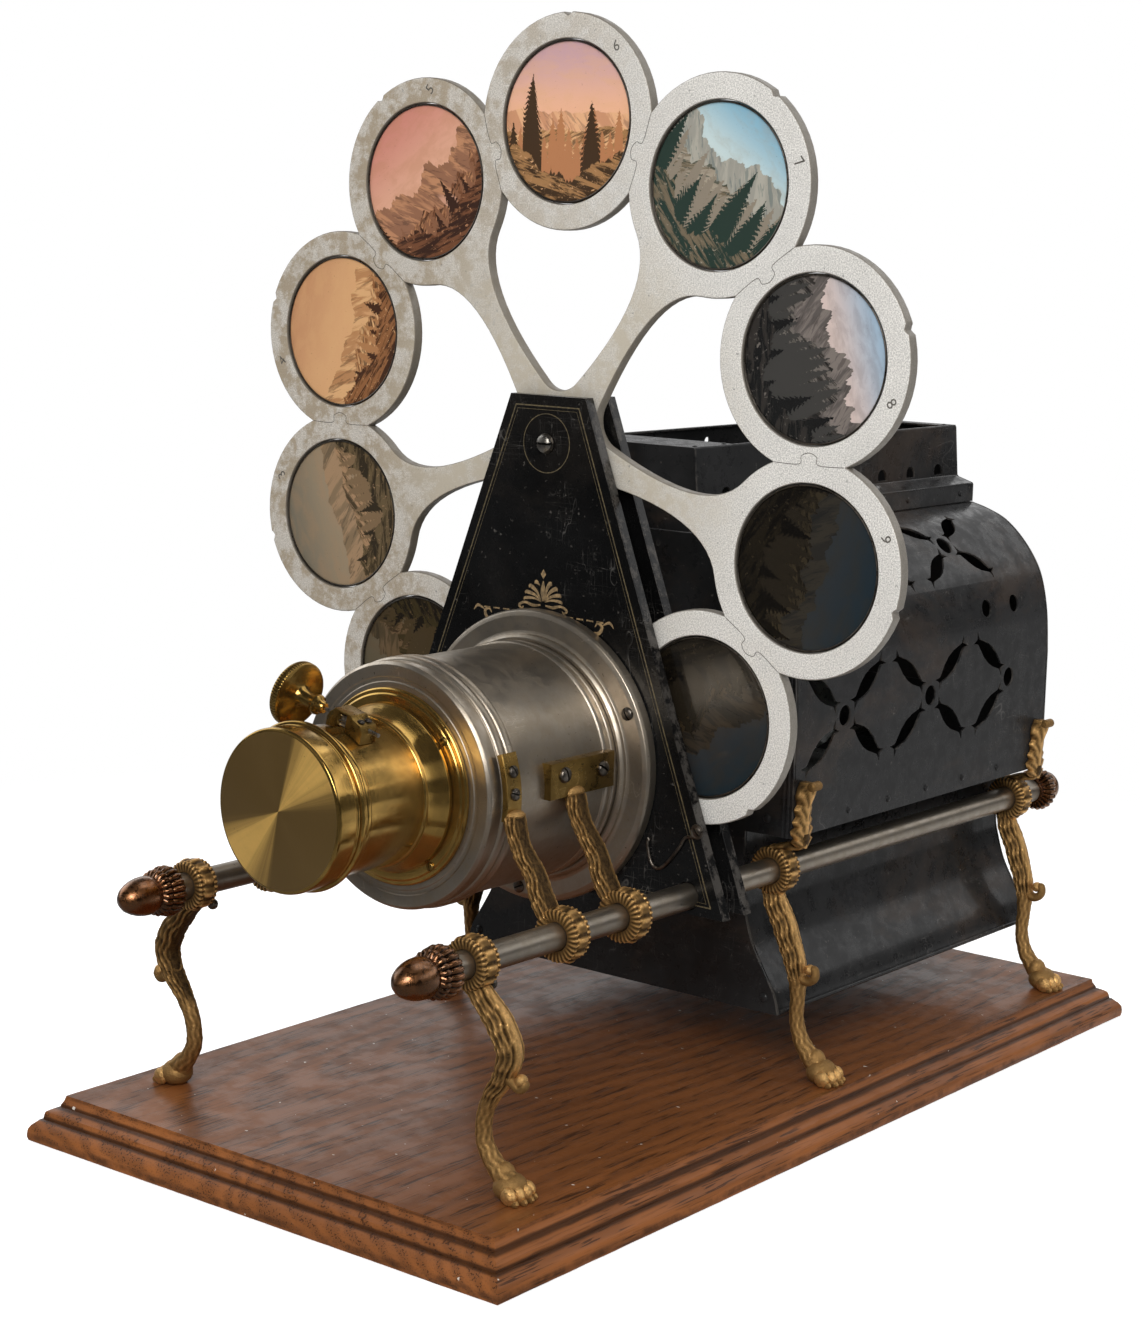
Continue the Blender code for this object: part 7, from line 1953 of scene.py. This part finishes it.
def build_cowl():
    """The chimney box: stepped foot, arched vents, and a top that is closed at its front only."""
    foot = COWL_LOW.z
    top = COWL_HIGH.z
    section = [(0.0512, foot), (0.0512, foot + 0.0093), (0.0506, foot + 0.0102), (0.0420, foot + 0.0128),
               (0.0410, foot + 0.0138), (0.0389, top - 0.0012), (0.0382, top), (0.0362, top)]
    lengths, route = sheet_route(section)
    floor = float(np.interp(foot + 0.0150, [z for _, z in section[:6]], lengths[:6]))
    low, high = COWL_LOW.y, COWL_HIGH.y
    front, length = lowest("lamp_house_body").y, HOUSE_BACK - lowest("lamp_house_body").y
    vents = []
    for index in range(8):
        y = front + length * (0.0968 + 0.1178 * index)
        vents.append([(y - 0.0041, floor)] + [(y - 0.0041 * math.cos(a), floor + 0.0016 + 0.0041
                                               * math.sin(a))
                                              for a in np.linspace(0, math.pi, 13)] + [(y + 0.0041, floor)])
    sheet = [(low + SHEET, 0), (high - SHEET, 0), (high - SHEET, lengths[-1]), (low + SHEET, lengths[-1])]
    cowl = Shape()
    for _, sign in SIDES:
        holes = vents + ([circle(0.110, lengths[-3] - 0.0065, 0.0022, 16)] if sign < 0 else [])
        wall = Shape()
        bent_plate(wall, [sheet] + holes, lengths[1:-1], route)
        shape = wall if sign > 0 else wall.mirrored()
        cowl.add(shape.points, shape.faces, 0, shape.relief)
    face = section[:7] + [(-x, z) for x, z in section[:7][::-1]]
    cowl.plate([face], low, low + 0.0013)
    cowl.plate([face], high - 0.0013, high)
    cowl.plate([[(-0.0380, low + 0.0008), (0.0380, low + 0.0008), (0.0380, low + 0.036),
                 (-0.0380, low + 0.036)]],
               top - 0.0013, top - 0.0001, "XY")
    cowl.plate([[(-0.0380, high - 0.008), (0.0380, high - 0.008), (0.0380, high - 0.0008),
                 (-0.0380, high - 0.0008)]],
               top - 0.0013, top - 0.0001, "XY")
    for _, sign in SIDES:
        for y in (low + 0.006, low + 0.030, high - 0.006):
            rivet(cowl, (sign * 0.0345, y, top - 0.0002), (0, 0, 1), 0.0014)
        for y in np.linspace(low + 0.014, high - 0.014, 5):
            rivet(cowl, (sign * 0.0512, y, foot + 0.0048), (sign, 0, 0), 0.0016)
    make("chimney_box_folded", cowl, ["sheet_iron"], replaces=["chimney_box"])


HINGE_X, HINGE_Y = -0.0775, 0.2396


def add_knuckles(shape, steps):
    """Hinge knuckles with rolled ends, by their steps from the middle one."""
    centre = (DOOR_LOW.z + DOOR_HIGH.z) / 2
    for step in steps:
        low = centre + step * 0.0243 - 0.0119
        high = low + 0.0238
        turned(shape, [(0, low), (0.0030, low), (0.0030, high), (0, high)], (HINGE_X, HINGE_Y, 0), "Z", 24,
               edge=0.0005)
        reach = (HINGE_X, -0.0600) if step == 0 else (HINGE_X - 0.0028, HINGE_X + 0.0012)
        station = (HINGE_Y - 0.0030, HINGE_Y - 0.0016) if step == 0 else (HINGE_Y - 0.0046, HINGE_Y - 0.0026)
        shape.plate([[(reach[0], low), (reach[1], low), (reach[1], high), (reach[0], high)]], *station)


def build_door():
    """The rear door with its knuckle, stiffening beads and turned pull."""
    low, high = DOOR_LOW, DOOR_HIGH
    left, right = -0.0710, 0.0710
    door = Shape()
    face = DOOR_LOW.y
    sheet = PLATE
    corner = 0.0030
    outline = []
    for x, z, start in ((right - corner, low.z + corner, -90), (right - corner, high.z - corner, 0),
                        (left + corner, high.z - corner, 90), (left + corner, low.z + corner, 180)):
        outline += arc(x, z, corner, math.radians(start), math.radians(start + 90), 6)
    door.plate([outline], face, face + sheet)
    inset = 0.0085
    loop = [(left + inset, low.z + inset), (right - inset, low.z + inset), (right - inset, high.z - inset),
            (left + inset, high.z - inset)]
    for (xa, za), (xb, zb) in zip(loop, loop[1:] + loop[:1]):
        line = [(xa + (xb - xa) * t, za + (zb - za) * t) for t in np.linspace(0, 1, 8)]
        edge_bead(door, line, face + sheet, 0.0011)
    for x, z in loop:
        rivet(door, (x, face + sheet + 0.0006, z), (0, 1, 0), 0.0020)
    add_knuckles(door, (0,))
    pull = ((0.0032, 0.0), (0.0030, 0.0030), (0.0026, 0.0045), (0.0050, 0.0062), (0.0068, 0.0078),
            (0.0070, 0.0092),
            (0.0056, 0.0108), (0.0030, 0.0116), (0.0, 0.0119))
    turned(door, [(r, face + sheet * 0.5 + s) for r, s in pull], (0.0580, 0, (low.z + high.z) / 2), steps=40,
           finish=1,
           edge=0)
    make("lamp_door_hung", door, ["sheet_iron", "old_brass"], "door", ["lamp_door"])


def dress_inside():
    """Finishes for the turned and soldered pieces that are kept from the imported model."""
    dress("lacquered_brass", "draw_tube", "wheel_bush", "focus_rack")
    dress("bright_steel", "focus_pinion", "wick_winder")
    dress("old_brass", "condenser_cell", "burner")
    dress("lens_glass", "front_lens", "rear_lens", "condenser_lens_front", "condenser_lens_rear")
    dress("lamp_glass", "lamp_chimney")
    dress("tinplate", "oil_tank", "reflector")


# Stage


def area_light(name, place, size, power, colour):
    """A soft light that looks at the middle of the lantern."""
    light = bpy.data.lights.new(name, "AREA")
    light.size = size
    light.energy = power
    light.color = colour
    thing = bpy.data.objects.new(name, light)
    thing.location = place
    aim = Vector((0, 0, 0.22)) - Vector(place)
    thing.rotation_euler = aim.to_track_quat("-Z", "Y").to_euler()
    bpy.context.scene.collection.objects.link(thing)
    return thing


def seen_share(tree, station):
    """How much of the white a ray sees: all from the camera or through glass, less in a mirror."""
    path = node(tree, "ShaderNodeLightPath")
    seen = maths(tree, "MAXIMUM", path.outputs["Is Camera Ray"], path.outputs["Is Transmission Ray"])
    mirrored = stretch(tree, station, -0.15, 0.60, 0.06, 0.50)
    return maths(tree, "MAXIMUM", seen, times(tree, path.outputs["Is Glossy Ray"], mirrored))


def build_stage():
    """A white floor and backdrop, three soft lights and the camera of the photograph."""
    floor_mesh = bpy.data.meshes.new("floor")
    reach = 6.0
    floor_mesh.from_pydata([(-reach, -reach, 0), (reach, -reach, 0), (reach, reach, 0), (-reach, reach, 0)],
                           [],
                           [(0, 1, 2, 3)])
    floor = bpy.data.objects.new("floor", floor_mesh)
    bpy.context.scene.collection.objects.link(floor)
    paper = bpy.data.materials.new("white_paper")
    paper.use_nodes = True
    tree = paper.node_tree
    tree.nodes.clear()
    spot = node(tree, "ShaderNodeTexCoord").outputs["Object"]
    station = parts_of(tree, spot)[1]
    mirror = node(tree, "ShaderNodeLightPath").outputs["Is Glossy Ray"]
    dimmed = times(tree, mirror, stretch(tree, station, -0.30, 0.30, 0.85, 0.30))
    tone = times(tree, minus(tree, 1.0, dimmed), 0.80)
    diffuse = node(tree, "ShaderNodeBsdfDiffuse")
    feed(tree, diffuse.inputs["Color"], tone)
    glow = node(tree, "ShaderNodeEmission")
    glow.inputs["Strength"].default_value = 0.55
    lift = node(tree, "ShaderNodeAddShader")
    tree.links.new(diffuse.outputs[0], lift.inputs[0])
    tree.links.new(glow.outputs[0], lift.inputs[1])
    seen = seen_share(tree, station)
    mix = node(tree, "ShaderNodeMixShader")
    tree.links.new(seen, mix.inputs[0])
    tree.links.new(diffuse.outputs[0], mix.inputs[1])
    tree.links.new(lift.outputs[0], mix.inputs[2])
    bright = node(tree, "ShaderNodeEmission")
    tree.links.new(seen, bright.inputs["Strength"])
    far = node(tree, "ShaderNodeMixShader")
    distance = node(tree, "ShaderNodeVectorMath", operation="LENGTH")
    tree.links.new(spot, distance.inputs[0])
    away = stretch(tree, distance.outputs["Value"], 0.42, 0.80)
    direct = stretch(tree, seen, 0.0, 0.05)
    tree.links.new(times(tree, away, direct), far.inputs[0])
    tree.links.new(mix.outputs[0], far.inputs[1])
    tree.links.new(bright.outputs[0], far.inputs[2])
    tree.links.new(far.outputs[0], node(tree, "ShaderNodeOutputMaterial").inputs[0])
    floor_mesh.materials.append(paper)

    world = bpy.data.worlds.new("studio")
    bpy.context.scene.world = world
    world.use_nodes = True
    tree = world.node_tree
    tree.nodes.clear()
    split = node(tree, "ShaderNodeSeparateXYZ")
    tree.links.new(node(tree, "ShaderNodeTexCoord").outputs["Generated"], split.inputs[0])
    path = node(tree, "ShaderNodeLightPath")
    ambient = stretch(tree, split.outputs[2], -0.10, 0.80, 0.45, 0.60)
    behind = stretch(tree, split.outputs[1], -0.15, 0.45, 0.06, 0.55)
    height, glossy = split.outputs[2], path.outputs["Is Glossy Ray"]
    band = times(tree, stretch(tree, height, 0.22, 0.32), stretch(tree, height, 0.60, 0.50))
    low_left = times(tree, stretch(tree, split.outputs[0], -0.20, -0.50), stretch(tree, height, 0.50, 0.25))
    panels = plus(tree, times(tree, band, 2.4), times(tree, low_left, 0.65))
    mirrored = times(tree, behind, plus(tree, panels, 0.10))
    level = plus(tree, times(tree, glossy, mirrored), times(tree, minus(tree, 1.0, glossy), ambient))
    tone = node(tree, "ShaderNodeCombineColor")
    for channel in range(3):
        tree.links.new(level, tone.inputs[channel])
    soft, white = node(tree, "ShaderNodeBackground"), node(tree, "ShaderNodeBackground")
    tree.links.new(tone.outputs[0], soft.inputs[0])
    white.inputs[0].default_value = (1, 1, 1, 1)
    mix = node(tree, "ShaderNodeMixShader")
    seen = maths(tree, "MAXIMUM", path.outputs["Is Camera Ray"], path.outputs["Is Transmission Ray"])
    tree.links.new(seen, mix.inputs[0])
    tree.links.new(soft.outputs[0], mix.inputs[1])
    tree.links.new(white.outputs[0], mix.inputs[2])
    tree.links.new(mix.outputs[0], node(tree, "ShaderNodeOutputWorld").inputs[0])

    area_light("key_light", (1.5, -2.2, 1.7), 1.4, 58, (1.0, 0.985, 0.96))
    area_light("fill_light", (-2.3, -0.3, 1.5), 1.8, 14, (0.95, 0.98, 1.0))
    area_light("top_light", (0.3, 0.9, 2.3), 1.6, 12, (1.0, 1.0, 1.0))

    data = bpy.data.cameras.new("camera")
    data.sensor_width = 36
    data.lens = 36 * 2.00689
    data.shift_x, data.shift_y = 0.01337, -0.0072
    camera = bpy.data.objects.new("camera", data)
    turn, tilt, roll = 0.675991, 0.161232, 0.0231293
    behind = Vector((math.sin(turn) * math.cos(tilt), -math.cos(turn) * math.cos(tilt), math.sin(tilt)))
    right = (-behind).cross(Vector((0, 0, 1))).normalized()
    up = right.cross(-behind)
    across = math.cos(roll) * right + math.sin(roll) * up
    upright = -math.sin(roll) * right + math.cos(roll) * up
    place = Matrix((across, upright, behind)).transposed().to_4x4()
    place.translation = Vector((0.78061, -1.03674, 0.42680))
    camera.matrix_world = place
    bpy.context.scene.collection.objects.link(camera)
    bpy.context.scene.camera = camera
    bpy.context.scene.view_settings.view_transform = "Standard"


# Operators, panel and registration


class LANTERN_OT_board(bpy.types.Operator):
    """Make the oak board with its stepped moulding"""

    bl_idname = "lantern.board"
    bl_label = "Board"

    def execute(self, context):
        build_board()
        return {"FINISHED"}


class LANTERN_OT_rods(bpy.types.Operator):
    """Make the guide rods and their finials"""

    bl_idname = "lantern.rods"
    bl_label = "Guide rods"

    def execute(self, context):
        build_rods()
        return {"FINISHED"}


class LANTERN_OT_legs(bpy.types.Operator):
    """Make the six cast legs"""

    bl_idname = "lantern.legs"
    bl_label = "Legs"

    def execute(self, context):
        build_legs()
        return {"FINISHED"}


class LANTERN_OT_arms(bpy.types.Operator):
    """Make the four cast arms of the drum"""

    bl_idname = "lantern.arms"
    bl_label = "Drum arms"

    def execute(self, context):
        build_arms()
        return {"FINISHED"}


class LANTERN_OT_wheel(bpy.types.Operator):
    """Make the cast slide wheel with its seams and numerals"""

    bl_idname = "lantern.wheel"
    bl_label = "Slide wheel"

    def execute(self, context):
        build_wheel()
        return {"FINISHED"}


class LANTERN_OT_slides(bpy.types.Operator):
    """Make the ten glass pictures"""

    bl_idname = "lantern.slides"
    bl_label = "Slides"

    def execute(self, context):
        build_slides()
        return {"FINISHED"}


class LANTERN_OT_shields(bpy.types.Operator):
    """Make the japanned shields with their lining and stencil"""

    bl_idname = "lantern.shields"
    bl_label = "Shields"

    def execute(self, context):
        build_shields()
        return {"FINISHED"}


class LANTERN_OT_pivot(bpy.types.Operator):
    """Make the wheel's pivot screw and its detent spring"""

    bl_idname = "lantern.pivot"
    bl_label = "Pivot and spring"

    def execute(self, context):
        build_pivot()
        build_spring()
        return {"FINISHED"}


class LANTERN_OT_drum(bpy.types.Operator):
    """Make the nickel drum and its flange"""

    bl_idname = "lantern.drum"
    bl_label = "Lens drum"

    def execute(self, context):
        build_drum()
        return {"FINISHED"}


class LANTERN_OT_lens(bpy.types.Operator):
    """Make the brass lens, its cell and its cap"""

    bl_idname = "lantern.lens"
    bl_label = "Lens"

    def execute(self, context):
        build_lens()
        return {"FINISHED"}


class LANTERN_OT_focus(bpy.types.Operator):
    """Make the focusing knob and its saddle"""

    bl_idname = "lantern.focus"
    bl_label = "Focusing gear"

    def execute(self, context):
        build_focus()
        return {"FINISHED"}


class LANTERN_OT_house(bpy.types.Operator):
    """Make the pierced lamp house, its end plates and its skirt"""

    bl_idname = "lantern.house"
    bl_label = "Lamp house"

    def execute(self, context):
        build_house()
        return {"FINISHED"}


class LANTERN_OT_cowl(bpy.types.Operator):
    """Make the chimney box on the roof"""

    bl_idname = "lantern.cowl"
    bl_label = "Chimney box"

    def execute(self, context):
        build_cowl()
        return {"FINISHED"}


class LANTERN_OT_door(bpy.types.Operator):
    """Make the rear door"""

    bl_idname = "lantern.door"
    bl_label = "Lamp door"

    def execute(self, context):
        build_door()
        return {"FINISHED"}


class LANTERN_OT_inside(bpy.types.Operator):
    """Give finishes to the lamp, the condenser and the draw tube"""

    bl_idname = "lantern.inside"
    bl_label = "Lamp and condenser"

    def execute(self, context):
        dress_inside()
        return {"FINISHED"}


class LANTERN_OT_stage(bpy.types.Operator):
    """Make the floor, the lights and the camera"""

    bl_idname = "lantern.stage"
    bl_label = "Stage"

    def execute(self, context):
        build_stage()
        return {"FINISHED"}


OPERATORS = (
    LANTERN_OT_board, LANTERN_OT_rods, LANTERN_OT_legs, LANTERN_OT_arms, LANTERN_OT_wheel, LANTERN_OT_slides,
    LANTERN_OT_shields, LANTERN_OT_pivot, LANTERN_OT_drum, LANTERN_OT_lens, LANTERN_OT_focus,
    LANTERN_OT_house,
    LANTERN_OT_cowl, LANTERN_OT_door, LANTERN_OT_inside, LANTERN_OT_stage,
)


class LANTERN_PT_pieces(bpy.types.Panel):
    """Lists the lantern's pieces, sizes and colours"""

    bl_idname = "LANTERN_PT_pieces"
    bl_label = "Magic Lantern"
    bl_space_type = "VIEW_3D"
    bl_region_type = "UI"
    bl_category = "Lantern"

    def draw(self, context):
        for operator in OPERATORS:
            self.layout.operator(operator.bl_idname)
        for group in (context.scene.lantern_sizes, context.scene.lantern_colours):
            for name in group.__annotations__:
                self.layout.prop(group, name)


CLASSES = (LanternSizes, LanternColours) + OPERATORS + (LANTERN_PT_pieces,)


def register():
    """Register the classes and hang the property groups on the scene."""
    for item in CLASSES:
        bpy.utils.register_class(item)
    bpy.types.Scene.lantern_sizes = bpy.props.PointerProperty(type=LanternSizes)
    bpy.types.Scene.lantern_colours = bpy.props.PointerProperty(type=LanternColours)


def unregister():
    """Take everything off again."""
    del bpy.types.Scene.lantern_colours
    del bpy.types.Scene.lantern_sizes
    for item in reversed(CLASSES):
        bpy.utils.unregister_class(item)


def main():
    """Make the whole lantern and its stage."""
    register()
    bpy.ops.lantern.board()
    bpy.ops.lantern.rods()
    bpy.ops.lantern.legs()
    bpy.ops.lantern.arms()
    bpy.ops.lantern.wheel()
    bpy.ops.lantern.slides()
    bpy.ops.lantern.shields()
    bpy.ops.lantern.pivot()
    bpy.ops.lantern.drum()
    bpy.ops.lantern.lens()
    bpy.ops.lantern.focus()
    bpy.ops.lantern.house()
    bpy.ops.lantern.cowl()
    bpy.ops.lantern.door()
    bpy.ops.lantern.inside()
    bpy.ops.lantern.stage()


if __name__ == "__main__":
    main()
